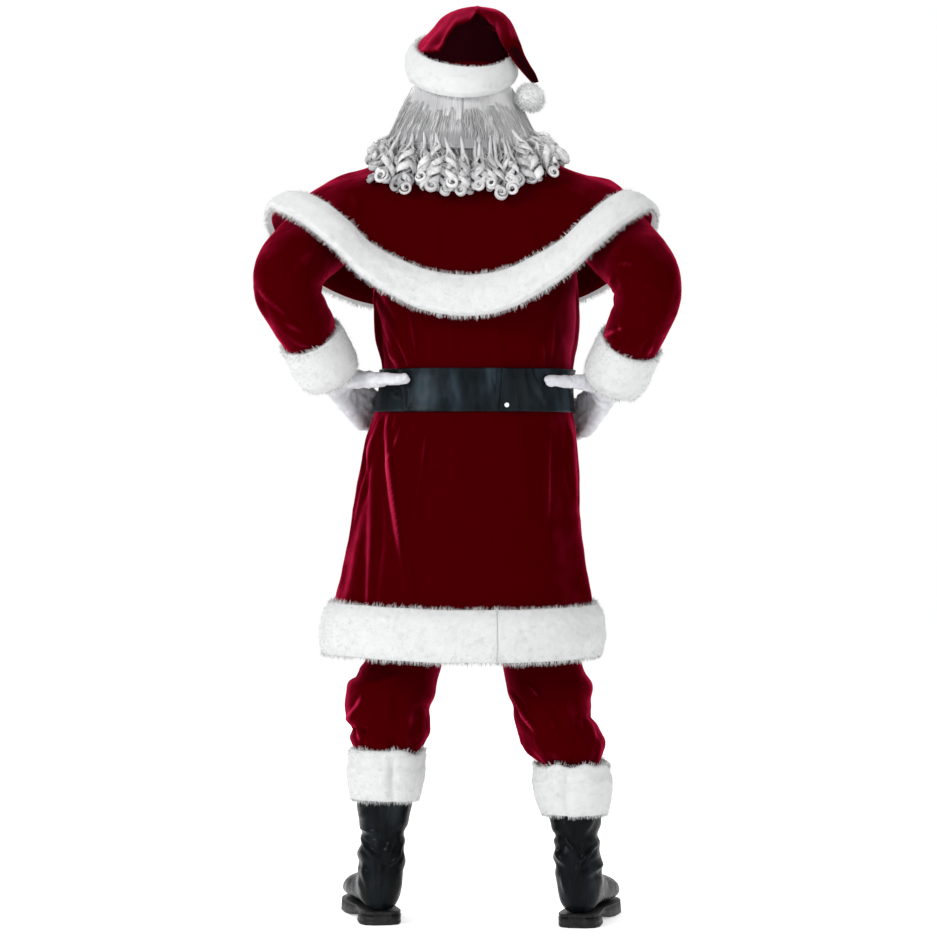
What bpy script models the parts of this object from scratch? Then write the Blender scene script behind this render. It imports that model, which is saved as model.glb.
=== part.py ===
"""A velvet santa suit in the pose in which it is worn, with nobody in it.

The suit is a set: hat, curled wig, capelet, coat, belt, trousers, gloves and fur-topped boots.
Every cloth piece is a thin wall round an empty hollow. Units are metres, +Z is up, the front of
the suit faces -Y and the wearer's left is +X. The origin is the centre of the coat's neck.
"""

import math

import bmesh
import bpy
import numpy as np
from mathutils import Vector
from mathutils.bvhtree import BVHTree

# ---------------------------------------------------------------- driving dimensions

FLOOR = -1.526  # what the boots stand on
CLOTH = 0.0024  # velvet with its backing
HIDE = 0.0026  # boot leather cloth
GLOVE_CLOTH = 0.0012
SEAM = 0.0003  # between two pieces at a seam
LAYER = 0.0008  # between a wall and what lies on it
RING = 32  # columns round the coat and the cape
STEP = 360 / RING
ROUNDNESS = 0.84  # exponent of the body rings: 1 is an ellipse, less is squarer

HEM, UNDERARM = -0.985, -0.170
SHOULDER_HALF, SHOULDER_DROP = 0.195, 0.045
NECK_HALF, NECK_BACK, NECK_FRONT, NECK_FRONT_DROP = 0.080, 0.062, 0.070, 0.045
ARMHOLE_HALF_DEPTH, ARMHOLE_CUT = 0.062, 0.018

HEM_FUR_HEIGHT, HEM_FUR_THICK, HEM_FUR_JOIN = 0.098, 0.026, 90 + STEP
CAPE_FUR_THICK = 0.026
CUFF_THICK, HAT_BAND_THICK, TOPPER_THICK = 0.0155, 0.020, 0.022

BELT_TOP, BELT_MIDDLE, BELT_BOTTOM = -0.424, -0.464, -0.510
BELT_THICK, BELT_LIFT = 0.0030, 0.0015
BELT_LAP = (90 + STEP, 90 + 2 * STEP)  # degrees round the waist where the two lengths lie on each other
BELT_RIVET_PLACE, BELT_RIVET_RADIUS = (0.27, 0.33), 0.0050  # shares of the lap's lower half, up and along
BUCKLE_HALF_WIDTH, BUCKLE_HALF_HEIGHT, BUCKLE_BAR, BUCKLE_THICK = 0.056, 0.056, 0.013, 0.0045
BUCKLE_LIFT, PRONG_RADIUS = 0.0013, 0.0030


def table(columns, *rows):
    """A table's columns by name, as arrays with a value for each row."""
    return dict(zip(columns.split(), np.array(rows, float).T))


# The inside of the coat's cloth, from hem to underarm: its half width, and its reach behind and before.
COAT = table(
    "height centre_x half_width back front",
    (-0.985, 0.008, 0.266, 0.196, 0.188),
    (-0.890, 0.005, 0.253, 0.186, 0.180),
    (-0.804, 0.002, 0.236, 0.176, 0.172),
    (-0.722, -0.001, 0.222, 0.167, 0.164),
    (-0.624, -0.009, 0.211, 0.158, 0.156),
    (-0.554, -0.013, 0.203, 0.151, 0.151),
    (-0.514, -0.015, 0.196, 0.145, 0.147),
    (-0.464, -0.020, 0.188, 0.139, 0.143),
    (-0.416, -0.023, 0.188, 0.139, 0.143),
    (-0.364, -0.021, 0.196, 0.143, 0.148),
    (-0.264, -0.020, 0.203, 0.147, 0.152),
    (-0.170, -0.015, 0.200, 0.143, 0.146),
)
# Soft vertical folds of the coat's cloth: where each starts and ends, how deep and how wide it is.
FOLDS = table(
    "top top_angle bottom bottom_angle depth width",
    (-0.515, 36, -0.960, 28, 0.010, 11),
    (-0.515, 50, -0.900, 56, 0.007, 9),
    (-0.515, 14, -0.930, 6, 0.008, 10),
    (-0.520, 158, -0.920, 166, 0.007, 10),
    (-0.515, -35, -0.960, -30, 0.009, 12),
    (-0.515, -140, -0.960, -150, 0.009, 12),
    (-0.180, 35, -0.415, 44, 0.006, 10),
)
COAT_PANELS = {"coat_back": (0, 180), "coat_front_right": (180, 270), "coat_front_left": (270, 360)}
NECK_PART = 0.0015  # the two fronts stand this much further apart at the neck
YOKE_STEPS = tuple(k / 8 for k in range(1, 9))
COAT_ROWS = (-0.985, -0.938, -0.890, -0.804, -0.722, -0.624, -0.554, -0.514, -0.464, -0.416,
             -0.364, -0.264, -0.170)

# The arms' joints: the corner points of each sleeve's centre line.
ARMS = {
    +1: {"elbow": (0.368, 0.212, -0.238), "wrist": (0.267, 0.060, -0.438)},
    -1: {"elbow": (-0.372, 0.212, -0.258), "wrist": (-0.290, 0.062, -0.452)},
}
SLEEVE = table(
    "along radius",
    (0.00, 0.073),
    (0.30, 0.072),
    (0.50, 0.069),
    (0.66, 0.060),
    (0.78, 0.056),
    (0.86, 0.0500),
    (1.00, 0.0495),
)
SLEEVE_ROWS = (0.0, 0.05, 0.12, 0.22, 0.33, 0.42, 0.50, 0.58, 0.70, 0.81, 0.86, 0.91, 0.955, 0.99)
CUFF_FUR_ROWS = 5  # the last rows, of which the sleeve's cloth leaves out the very last
SLEEVE_RING = 2 * len(YOKE_STEPS)
SEAM_COLUMN = {+1: 3, -1: 5}  # a sleeve's two seams stand this many columns off its ring's first

# The cape by azimuth (0 is the wearer's left, 90 the back): reach and height of three places on its way
# from the neck to its edge. Left and right differ a little, as the arms do.
CAPE = table(
    "azimuth shoulder_r shoulder_z arm_r arm_z edge_r edge_z",
    (-90, 0.122, -0.035, 0.168, -0.150, 0.184, -0.300),
    (-68, 0.130, -0.030, 0.178, -0.145, 0.198, -0.300),
    (-45, 0.150, -0.018, 0.218, -0.120, 0.245, -0.285),
    (-22, 0.168, -0.010, 0.262, -0.080, 0.325, -0.232),
    (0, 0.172, -0.008, 0.275, -0.060, 0.372, -0.150),
    (14, 0.170, -0.008, 0.272, -0.058, 0.385, -0.130),
    (28, 0.164, -0.012, 0.252, -0.070, 0.332, -0.160),
    (42, 0.152, -0.018, 0.222, -0.105, 0.268, -0.245),
    (58, 0.136, -0.026, 0.188, -0.135, 0.208, -0.298),
    (75, 0.124, -0.034, 0.168, -0.150, 0.182, -0.314),
    (90, 0.120, -0.036, 0.162, -0.155, 0.175, -0.318),
    (105, 0.124, -0.034, 0.168, -0.150, 0.182, -0.314),
    (122, 0.136, -0.026, 0.188, -0.135, 0.210, -0.294),
    (138, 0.152, -0.018, 0.222, -0.102, 0.268, -0.235),
    (152, 0.164, -0.010, 0.252, -0.062, 0.328, -0.150),
    (166, 0.170, -0.006, 0.270, -0.048, 0.366, -0.122),
    (180, 0.172, -0.006, 0.272, -0.052, 0.360, -0.145),
    (202, 0.168, -0.010, 0.260, -0.080, 0.318, -0.228),
    (225, 0.150, -0.018, 0.218, -0.120, 0.245, -0.285),
    (248, 0.130, -0.030, 0.178, -0.145, 0.198, -0.300),
    (270, 0.122, -0.035, 0.168, -0.150, 0.184, -0.300),
)
CAPE_NECK_HALF, CAPE_NECK_DEPTH, CAPE_NECK_HEIGHT = 0.094, 0.078, 0.022
CAPE_ROWS = (1.02, 1.0, 0.90, 0.80, 0.64, 0.48, 0.34, 0.20, 0.09, 0.0)  # share of the way from neck to edge
# The azimuths of its columns, closer together where it lies over the arms.
CAPE_COLUMNS = np.interp(range(RING + 1), (0, 7, 13, 19, 25, 32), (-89.7, 0, 50, 130, 180, 269.7))
CAPE_FUR_ROWS = 4  # how many of those rows the fur band covers, from the edge
CAPE_CLEAR, CAPE_REACH = 0.0050, 0.13  # off the coat and sleeves, and how far it gives way to them

# The hat: each ring's right and left end, seen from the front, its half depth, and how far back its middle
# lies. Past the top the rings narrow to the tail, which hangs over the crown's right and back.
HAT = table(
    "right_x right_z left_x left_z half_depth middle_y",
    (-0.0855, 0.170, 0.1025, 0.176, 0.1010, 0.000),
    (-0.0865, 0.193, 0.1020, 0.199, 0.1015, 0.000),
    (-0.0870, 0.214, 0.0990, 0.222, 0.1005, 0.000),
    (-0.0800, 0.230, 0.0870, 0.244, 0.0940, 0.000),
    (-0.0640, 0.243, 0.0660, 0.268, 0.0830, 0.000),
    (-0.0540, 0.252, 0.0330, 0.290, 0.0690, 0.002),
    (-0.0550, 0.261, -0.0160, 0.300, 0.0530, 0.008),
    (-0.0630, 0.261, -0.0600, 0.291, 0.0380, 0.020),
    (-0.0695, 0.248, -0.0850, 0.270, 0.0270, 0.034),
    (-0.0755, 0.228, -0.0985, 0.242, 0.0200, 0.044),
    (-0.0835, 0.208, -0.1070, 0.220, 0.0165, 0.050),
    (-0.0950, 0.190, -0.1155, 0.198, 0.0140, 0.052),
    (-0.1080, 0.173, -0.1250, 0.181, 0.0115, 0.051),
    (-0.1225, 0.157, -0.1365, 0.164, 0.0090, 0.049),
    (-0.1330, 0.1465, -0.1430, 0.150, 0.0055, 0.046),
)
HAT_RING, HAT_CLOTH, HAT_BAND_OVERHANG = 16, 0.0020, 0.22
HAT_TILT = math.radians(28)  # the band sits lower at the nape than at the brow
HAT_LEVEL = 0.262  # above this the rings stop tilting
POMPOM_CENTRE, POMPOM_RADIUS, POMPOM_CORE = (-0.1275, 0.046, 0.1170), 0.029, 0.021

# The wig's hair, from the crown of its cap down to the shoulders. Gap is half the opening at the face, in
# degrees, and tilt is how much of the hat's tilt the row has.
WIG = table(
    "height half_width back front gap tilt",
    (0.246, 0.030, 0.034, 0.034, 2, 1.0),
    (0.236, 0.056, 0.062, 0.060, 2, 1.0),
    (0.208, 0.080, 0.086, 0.084, 2, 1.0),
    (0.172, 0.0885, 0.0962, 0.0950, 8, 1.0),
    (0.142, 0.0925, 0.0985, 0.0960, 18, 0.85),
    (0.116, 0.1070, 0.1050, 0.0965, 28, 0.65),
    (0.090, 0.1200, 0.1130, 0.0980, 36, 0.45),
    (0.068, 0.1310, 0.1210, 0.1000, 42, 0.30),
    (0.050, 0.1410, 0.1290, 0.1010, 46, 0.20),
)
WIG_CENTRE, WIG_RING, WIG_CLOTH = 0.0085, 18, 0.0030
CURL_COUNT, CURL_STEPS, CURL_RADIUS, CURL_TWIST = 26, 5, 0.0122, 0.5
CURL_TIP, CURL_LIFT = 0.6, 0.0004  # a curl's end, as a share of its full thickness, and its lift off the cape
CURL_END_BACK, CURL_END_SIDE = 0.33, 0.28  # shares of the cape's length where the curls end
CURL_STRIP_THICK, CURL_STRIP_HIGH = 0.014, 0.010

# Each leg, from the ankle up: the outline of the cloth, and where its middle lies.
LEGS = {
    +1: table(
        "height centre_x centre_y half_width half_depth",
        (-1.275, 0.1615, 0.006, 0.0430, 0.0450),
        (-1.218, 0.1590, 0.006, 0.0475, 0.0490),
        (-1.203, 0.1580, 0.006, 0.0530, 0.0550),
        (-1.188, 0.1570, 0.006, 0.0600, 0.0620),
        (-1.170, 0.1555, 0.006, 0.0690, 0.0710),
        (-1.145, 0.1540, 0.006, 0.0755, 0.0785),
        (-1.112, 0.1550, 0.006, 0.0820, 0.0840),
        (-1.060, 0.1490, 0.004, 0.0860, 0.0880),
        (-1.004, 0.1240, 0.000, 0.0750, 0.0850),
        (-0.900, 0.1120, 0.000, 0.0800, 0.0930),
        (-0.800, 0.0940, 0.000, 0.0870, 0.1020),
        (-0.740, 0.0780, 0.000, 0.0870, 0.1080),
    ),
    -1: table(
        "height centre_x centre_y half_width half_depth",
        (-1.290, -0.2130, 0.044, 0.0425, 0.0450),
        (-1.216, -0.2095, 0.044, 0.0485, 0.0500),
        (-1.203, -0.2070, 0.044, 0.0570, 0.0590),
        (-1.190, -0.2010, 0.042, 0.0690, 0.0700),
        (-1.160, -0.1900, 0.038, 0.0800, 0.0810),
        (-1.100, -0.1710, 0.028, 0.0760, 0.0860),
        (-1.060, -0.1660, 0.020, 0.0820, 0.0860),
        (-1.010, -0.1530, 0.010, 0.0780, 0.0850),
        (-0.900, -0.1370, 0.004, 0.0810, 0.0930),
        (-0.800, -0.1180, 0.000, 0.0860, 0.1020),
        (-0.740, -0.1040, 0.000, 0.0870, 0.1080),
    ),
}
CROTCH_X, CROTCH_HEIGHT, WAIST_HEIGHT = -0.013, -0.740, -0.425
CROTCH_GAP = 0.005  # half the space between the two legs where they meet
PELVIS_HALF, PELVIS_BACK, PELVIS_FRONT = {+1: 0.1730, -1: 0.1910}, 0.1339, 0.1379
PELVIS_STEPS = (0.06, 0.16, 0.34, 0.62, 1.0)  # share of the rise, above the crotch
LEG_HALF_RING = 6

# A boot's leather from the top of its shaft to the toe, in its own frame: the heel faces +Y, the toe -Y,
# the ankle is over the origin. A ring tilts from level (0) in the shaft to upright (90) in the foot;
# down is its reach to the back and sole, up its reach to the shin and instep.
BOOT = table(
    "centre_y height tilt half_width down up",
    (0.000, 0.308, 0, 0.0540, 0.0570, 0.0560),
    (0.000, 0.276, 0, 0.0540, 0.0570, 0.0560),
    (0.000, 0.246, 0, 0.0540, 0.0560, 0.0550),
    (0.000, 0.205, 0, 0.0480, 0.0510, 0.0540),
    (0.000, 0.170, 0, 0.0395, 0.0440, 0.0520),
    (0.000, 0.144, 0, 0.0440, 0.0500, 0.0580),
    (0.000, 0.118, 0, 0.0430, 0.0490, 0.0570),
    (-0.004, 0.098, 20, 0.0425, 0.0540, 0.0600),
    (-0.014, 0.076, 46, 0.0415, 0.0680, 0.0620),
    (-0.046, 0.062, 74, 0.0410, 0.0310, 0.0560),
    (-0.086, 0.054, 90, 0.0440, 0.0230, 0.0460),
    (-0.130, 0.050, 90, 0.0490, 0.0200, 0.0360),
    (-0.172, 0.048, 90, 0.0500, 0.0190, 0.0290),
    (-0.204, 0.046, 90, 0.0450, 0.0180, 0.0240),
    (-0.227, 0.044, 90, 0.0330, 0.0150, 0.0180),
    (-0.238, 0.042, 90, 0.0170, 0.0110, 0.0110),
)
BOOT_RING = 12
SOLE = table(
    "along half_width bottom",
    (0.058, 0.018, 0.0185),
    (0.048, 0.034, 0.0185),
    (0.020, 0.041, 0.0185),
    (-0.028, 0.039, 0.0185),
    (-0.060, 0.038, 0.0140),
    (-0.095, 0.044, 0.0020),
    (-0.138, 0.051, 0.0000),
    (-0.176, 0.053, 0.0000),
    (-0.208, 0.047, 0.0020),
    (-0.233, 0.034, 0.0060),
    (-0.245, 0.015, 0.0100),
)
HEEL = table(
    "along half_width",
    (0.060, 0.018),
    (0.050, 0.035),
    (0.024, 0.042),
    (-0.018, 0.040),
)
HEEL_HEIGHT, SOLE_TOP, INSOLE = 0.0182, 0.0262, 0.0292
FEET = {
    +1: {"ankle": (0.168, 0.004), "toe_out": 9, "lean": -0.055},
    -1: {"ankle": (-0.221, 0.044), "toe_out": 11, "lean": 0.065},
}
SHAFT_ROWS, SHAFT_TOP = 7, 0.308
# The fur tops: their rows above the floor on each boot, and how much wider than the shaft each lies.
TOPPER_ROWS = {+1: (0.246, 0.272, 0.308, 0.344), -1: (0.222, 0.250, 0.290, 0.322)}
TOPPER_FLARE = (1.065, 1.065, 1.070, 1.36)

# Hands on the hips: each finger lies round the hip at its own height, and the thumb along the belt.
HANDS = {
    +1: {
        "wrist": (0.252, 0.040, -0.456),
        "knuckle_angle": -8,
        "knuckle_height": -0.500,
        "thumb_angles": (24, 38, 50),
        "thumb_height": -0.446,
    },
    -1: {
        "wrist": (-0.276, 0.044, -0.470),
        "knuckle_angle": 187,
        "knuckle_height": -0.515,
        "thumb_angles": (154, 142, 131),
        "thumb_height": -0.449,
    },
}
FINGER_SPACING, FINGER_RADIUS, FINGER_SWEEP = 0.0205, 0.0108, 26
FINGER_LENGTHS = (0.90, 1.0, 0.94, 0.76)
# The right glove's snap is straight in front of this place behind the wrist.
SNAP_FROM, SNAP_RADIUS, SNAP_LIFT = (-0.243, 0.30, -0.472), 0.0040, 0.0004


# ---------------------------------------------------------------- numbers and curves


def smooth_curve(at, knots, values):
    """The values at some places, on a smooth curve through the knots that never overshoots them."""
    at, knots, values = np.asarray(at, float), np.asarray(knots, float), np.asarray(values, float)
    steps = np.diff(knots)
    slopes = np.diff(values) / steps
    tangents = np.zeros(len(knots))
    tangents[0], tangents[-1] = slopes[0], slopes[-1]
    before, after = slopes[:-1], slopes[1:]
    same_way = before * after > 0
    tangents[1:-1][same_way] = 2 * before[same_way] * after[same_way] / (before + after)[same_way]
    i = np.clip(np.searchsorted(knots, at, side="right") - 1, 0, len(steps) - 1)
    t = (at - knots[i]) / steps[i]
    return (
        values[i] * (1 + 2 * t) * (1 - t) ** 2
        + values[i + 1] * t**2 * (3 - 2 * t)
        + steps[i] * (tangents[i] * t * (1 - t) ** 2 - tangents[i + 1] * t**2 * (1 - t))
    )


def look_up(rows, by, at):
    """Each other column of a table at these places along one of its columns."""
    return {name: smooth_curve(at, rows[by], rows[name]) for name in rows if name != by}


def power(value, exponent):
    """A power that keeps the value's sign."""
    return np.sign(value) * np.abs(value) ** exponent


def soft_step(t):
    t = np.clip(t, 0, 1)
    return t * t * (3 - 2 * t)


def unit(vectors):
    vectors = np.asarray(vectors, float)
    return vectors / np.linalg.norm(vectors, axis=-1, keepdims=True)


def slope_along(grid, axis, closed):
    """Central differences of a grid of points along its rows (0) or columns (1)."""
    if not closed:
        return np.gradient(grid, axis=axis)
    return np.roll(grid, -1, axis) - np.roll(grid, 1, axis)


def outward(grid, closed=False):
    """Unit normals of a grid whose rows go up and whose columns go round counter-clockwise."""
    return unit(np.cross(slope_along(grid, 1, closed), slope_along(grid, 0, False)))


def outer_face(grid, thickness, closed=False):
    """The outside of a wall whose inside is the grid."""
    return grid + outward(grid, closed) * thickness


def parted(grid, gap=SEAM):
    """A panel's grid with its first and last columns drawn in by half a seam's gap."""
    grid = grid.copy()
    for edge, inner in ((0, 1), (-1, -2)):
        grid[:, edge] += unit(grid[:, inner] - grid[:, edge]) * gap / 2
    return grid


def rounded_line(corners, cuts, samples=14):
    """Points along a line with each inner corner rounded off from a distance before it to one after."""
    corners = np.array(corners, float)
    points = [corners[0]]
    for k, cut in zip(range(1, len(corners) - 1), cuts):
        start = corners[k] + unit(corners[k - 1] - corners[k]) * cut
        end = corners[k] + unit(corners[k + 1] - corners[k]) * cut
        t = np.linspace(0, 1, samples)[:, None]
        points.extend(start * (1 - t) ** 2 + corners[k] * 2 * t * (1 - t) + end * t**2)
    return np.array(points + [corners[-1]])


def at_shares(line, shares):
    """Points and unit tangents at shares of a line's length."""
    along = np.concatenate([[0], np.cumsum(np.linalg.norm(np.diff(line, axis=0), axis=1))])
    along /= along[-1]
    step = 0.02

    def place(share):
        return np.stack([np.interp(share, along, line[:, k]) for k in range(3)], axis=-1)

    shares = np.asarray(shares, float)
    ahead, behind = np.minimum(shares + step, 1), np.maximum(shares - step, 0)
    return place(shares), unit(place(ahead) - place(behind))


# ---------------------------------------------------------------- objects


def clear_scene():
    for obj in list(bpy.data.objects):
        bpy.data.objects.remove(obj)


def make_material(name, colour, roughness, metallic=0.0):
    material = bpy.data.materials.new(name)
    material.use_nodes = True
    shader = material.node_tree.nodes["Principled BSDF"]
    shader.inputs["Base Color"].default_value = (*colour, 1)
    shader.inputs["Roughness"].default_value = roughness
    shader.inputs["Metallic"].default_value = metallic
    return material


def add_object(name, points, faces, material):
    mesh = bpy.data.meshes.new(name)
    mesh.from_pydata([tuple(p) for p in points], [], faces)
    mesh.validate()
    mesh.materials.append(material)
    mesh.shade_smooth()
    obj = bpy.data.objects.new(name, mesh)
    SUIT.objects.link(obj)
    return obj


def grid_faces(rows, columns, wrap_rows=False, wrap_columns=False):
    """Quads between the points of a grid, which are numbered row by row."""
    return [
        (
            r * columns + c,
            r * columns + (c + 1) % columns,
            (r + 1) % rows * columns + (c + 1) % columns,
            (r + 1) % rows * columns + c,
        )
        for r in range(rows if wrap_rows else rows - 1)
        for c in range(columns if wrap_columns else columns - 1)
    ]


def wall(name, grid, material, thickness=CLOTH, closed=False, end_cap=False):
    """A cloth wall: an open surface whose points are its inside, made solid outwards."""
    rows, columns = grid.shape[:2]
    faces = grid_faces(rows, columns, wrap_columns=closed)
    if end_cap:
        faces.append(tuple(range((rows - 1) * columns, rows * columns)))
    obj = add_object(name, grid.reshape(-1, 3), faces, material)
    solid = obj.modifiers.new("cloth", "SOLIDIFY")
    solid.thickness = thickness
    solid.offset = 1
    return obj


def wall_between(name, inside, outside, material):
    """A cloth wall between two grids, its inside and its outside."""
    rows, columns = inside.shape[:2]
    count = rows * columns
    quads = grid_faces(rows, columns)
    faces = [tuple(i + count for i in quad) for quad in quads] + [quad[::-1] for quad in quads]
    places = np.arange(count).reshape(rows, columns)
    sides = [places[0, :-1], places[:-1, -1], places[-1, :0:-1], places[:0:-1, 0]]
    edge = np.concatenate(sides).tolist()
    faces += [(a, b, b + count, a + count) for a, b in zip(edge, edge[1:] + edge[:1])]
    return add_object(name, np.concatenate([inside, outside]).reshape(-1, 3), faces, material)


def closed_loft(name, sections, material, wrap=False):
    """A solid through closed sections, (corner, station, 3), that meets itself or has flat ends."""
    corners, stations = sections.shape[:2]
    faces = grid_faces(corners, stations, wrap_rows=True, wrap_columns=wrap)
    if not wrap:
        faces.append(tuple(k * stations for k in range(corners)))
        faces.append(tuple(k * stations + stations - 1 for k in range(corners)))
    obj = add_object(name, sections.reshape(-1, 3), faces, material)
    face_outwards(obj.data)
    return obj


def face_outwards(mesh):
    edit = bmesh.new()
    edit.from_mesh(mesh)
    bmesh.ops.recalc_face_normals(edit, faces=edit.faces)
    edit.to_mesh(mesh)
    edit.free()


def fur_band(name, base, reach, swell, material, wrap=False, clearance=LAYER, directions=None):
    """A band of fur on a wall. Its inside is the wall's outer points, moved out by a hair's
    breadth, and its outside swells to the pile's reach: swell gives each row's share of it."""
    directions = outward(base, wrap) if directions is None else directions
    inner = base + directions * clearance
    outer = base + directions * (clearance + reach * np.array(swell)[:, None, None])
    return closed_loft(name, np.concatenate([inner, outer[::-1]]), material, wrap)


def tube_mesh(points, radii, ring=10):
    """Points and faces of a tapering tube with round ends, through points with a radius each."""
    points, radii = np.array(points, float), np.array(radii, float)
    tangents = unit(np.gradient(points, axis=0))
    caps = ((-0.95, 0.3), (-0.6, 0.8))
    centres = [points[0] + tangents[0] * radii[0] * back for back, _ in caps]
    sizes = [radii[0] * share for _, share in caps]
    centres += list(points)
    sizes += list(radii)
    centres += [points[-1] - tangents[-1] * radii[-1] * back for back, _ in reversed(caps)]
    sizes += [radii[-1] * share for _, share in reversed(caps)]
    directions = [tangents[0]] * 2 + list(tangents) + [tangents[-1]] * 2
    side = unit(np.cross(directions[0], (0.31, 0.17, 0.93)))
    rings = []
    for centre, size, direction in zip(centres, sizes, directions):
        side = unit(side - direction * side.dot(direction))
        other = np.cross(direction, side)
        turn = np.linspace(0, 2 * math.pi, ring, endpoint=False)[:, None]
        rings.append(centre + size * (np.cos(turn) * side + np.sin(turn) * other))
    count = len(rings)
    faces = grid_faces(count, ring, wrap_columns=True)
    faces.append(tuple(reversed(range(ring))))
    faces.append(tuple(range((count - 1) * ring, count * ring)))
    return np.concatenate(rings), faces


# ---------------------------------------------------------------- coat


def coat_folds(height, angles):
    """How far the folds move the coat's cloth out at a height, for angles round the body."""
    total = np.zeros_like(angles)
    for top, top_angle, bottom, bottom_angle, depth, width in zip(*FOLDS.values()):
        share = (top - height) / (top - bottom)
        if not 0 <= share <= 1.15:
            continue
        middle = top_angle + (bottom_angle - top_angle) * share
        away = (angles - middle + 180) % 360 - 180
        strength = soft_step(share / 0.12) * (1 - 0.7 * soft_step((share - 0.75) / 0.4))
        total += depth * strength * np.exp(-((away / width) ** 2))
        total -= 0.4 * depth * strength * np.exp(-(((np.abs(away) - 1.7 * width) / width) ** 2))
    return total


def coat_row(height, angles, folded=True):
    """A level row of the coat's inside below the underarm, at angles in degrees."""
    size = {name: float(value) for name, value in look_up(COAT, "height", height).items()}
    across, ahead = np.cos(np.radians(angles)), np.sin(np.radians(angles))
    reach = np.where(ahead > 0, size["back"], size["front"])
    swell = coat_folds(height, angles) if folded else 0
    x = size["centre_x"] + (size["half_width"] + swell) * power(across, ROUNDNESS)
    y = (reach + swell) * power(ahead, ROUNDNESS)
    return np.stack([x, y, np.full_like(x, height)], axis=-1)


def yoke_row(step, angles, face):
    """A row of the coat's back (+1) or front (-1) between the underarm (0) and the shoulder (1)."""
    base = coat_row(UNDERARM, angles)
    centre, half = float(COAT["centre_x"][-1]), float(COAT["half_width"][-1])
    share = (base[:, 0] - centre) / half
    bend = math.pi * step / 2
    sideways = half + (SHOULDER_HALF - half) * step - ARMHOLE_CUT * math.sin(math.pi * step)
    x = centre * (1 - step) + share * sideways
    in_neck = np.sqrt(np.clip(1 - (x / NECK_HALF) ** 2, 0, 1))
    neck_y = in_neck * (NECK_BACK if face > 0 else -NECK_FRONT)
    slope = SHOULDER_DROP / (SHOULDER_HALF - NECK_HALF)
    top = -slope * np.clip(np.abs(x) - NECK_HALF, 0, 1) - (NECK_FRONT_DROP * in_neck if face < 0 else 0)
    y = base[:, 1] * math.cos(bend) + neck_y * (1 - math.cos(bend))
    y = y + face * ARMHOLE_HALF_DEPTH * math.sin(math.pi * step) * np.abs(share) ** 6
    z = UNDERARM + (top - UNDERARM) * math.sin(bend)
    return np.stack([x, y, z], axis=-1)


def coat_grid(first, last):
    """The inside of the coat's panel between two angles, from hem to shoulder."""
    angles = side_of_ring(first, last)
    rows = [coat_row(height, angles) for height in COAT_ROWS]
    rows += [yoke_row(step, angles, -1 if first >= 180 else 1) for step in YOKE_STEPS]
    return np.array(rows)


def coat_base(heights, angles, closed=True):
    """The coat's outer points at some heights: what the belt and the hem's fur are laid on."""
    grid = np.array([coat_row(height, np.asarray(angles, float)) for height in heights])
    return outer_face(grid, CLOTH, closed)


def side_of_ring(first, last):
    """The angles of the ring's columns from one to another."""
    return np.arange(first, last + STEP / 2, STEP)


def build_coat():
    for name, (first, last) in COAT_PANELS.items():
        grid = parted(coat_grid(first, last))
        if first >= 180:
            grid[-1, :, 1] -= SEAM  # the shoulder seam's gap
        if name.startswith("coat_front"):
            centre = 0 if first == 270 else -1
            grid[-3:, centre, 0] += NECK_PART if first == 270 else -NECK_PART
        wall(name, grid, VELVET)
    hem_rows = (HEM - 0.004, -0.950, -0.915, HEM + HEM_FUR_HEIGHT)
    for name, angles in (
        ("hem_fur_left", side_of_ring(-90, HEM_FUR_JOIN)),
        ("hem_fur_right", side_of_ring(HEM_FUR_JOIN, 270)),
    ):
        base = coat_base(hem_rows, angles, False)
        directions = outward(base)
        base = parted(base, 2 * SEAM)
        fur_band(name, base, HEM_FUR_THICK, (0.45, 1.0, 0.95, 0.42), FUR, directions=directions)


# ---------------------------------------------------------------- sleeves and cuffs


def armhole_point(side, turn):
    """A point of an armhole: turn 0 is under the arm, 0.25 behind, 0.5 on the shoulder, 0.75 before."""
    behind = turn <= 0.5
    step = 2 * turn if behind else 2 * (1 - turn)
    angle = 0.0 if side > 0 else 180.0
    point = yoke_row(step, np.array([angle]), 1)[0]
    point[1] = (1 if behind else -1) * ARMHOLE_HALF_DEPTH * math.sin(math.pi * step)
    return point


def sleeve_rings(side):
    """Rings of a sleeve's inside, from its armhole to just past the wrist."""
    turns = np.arange(SLEEVE_RING) / SLEEVE_RING
    hole = np.array([armhole_point(side, turn) for turn in turns])
    start = hole.mean(axis=0)
    hole += unit((start - hole) * (0, 1, 1)) * (CLOTH + 4 * SEAM)
    shoulder = start + np.array([side * 0.056, 0.0, 0.0])
    joints = ARMS[side]
    line = rounded_line([start, shoulder, joints["elbow"], joints["wrist"]], (0.034, 0.105))
    centres, tangents = at_shares(line, SLEEVE_ROWS)
    sizes = smooth_curve(SLEEVE_ROWS, SLEEVE["along"], SLEEVE["radius"])
    back = np.array([0.0, 1.0, 0.0])
    turn = 2 * math.pi * turns[:, None]
    rings = []
    for share, centre, tangent, size in zip(SLEEVE_ROWS, centres, tangents, sizes):
        back = unit(back - tangent * back.dot(tangent))
        up = np.cross(back, tangent) * -side
        ring = centre + size * (np.sin(turn) * back - np.cos(turn) * up)
        freed = soft_step(share / 0.16)
        rings.append((hole + centre - start) * (1 - freed) + ring * freed)
    return np.array(rings)[:, :: int(side)]


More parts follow.
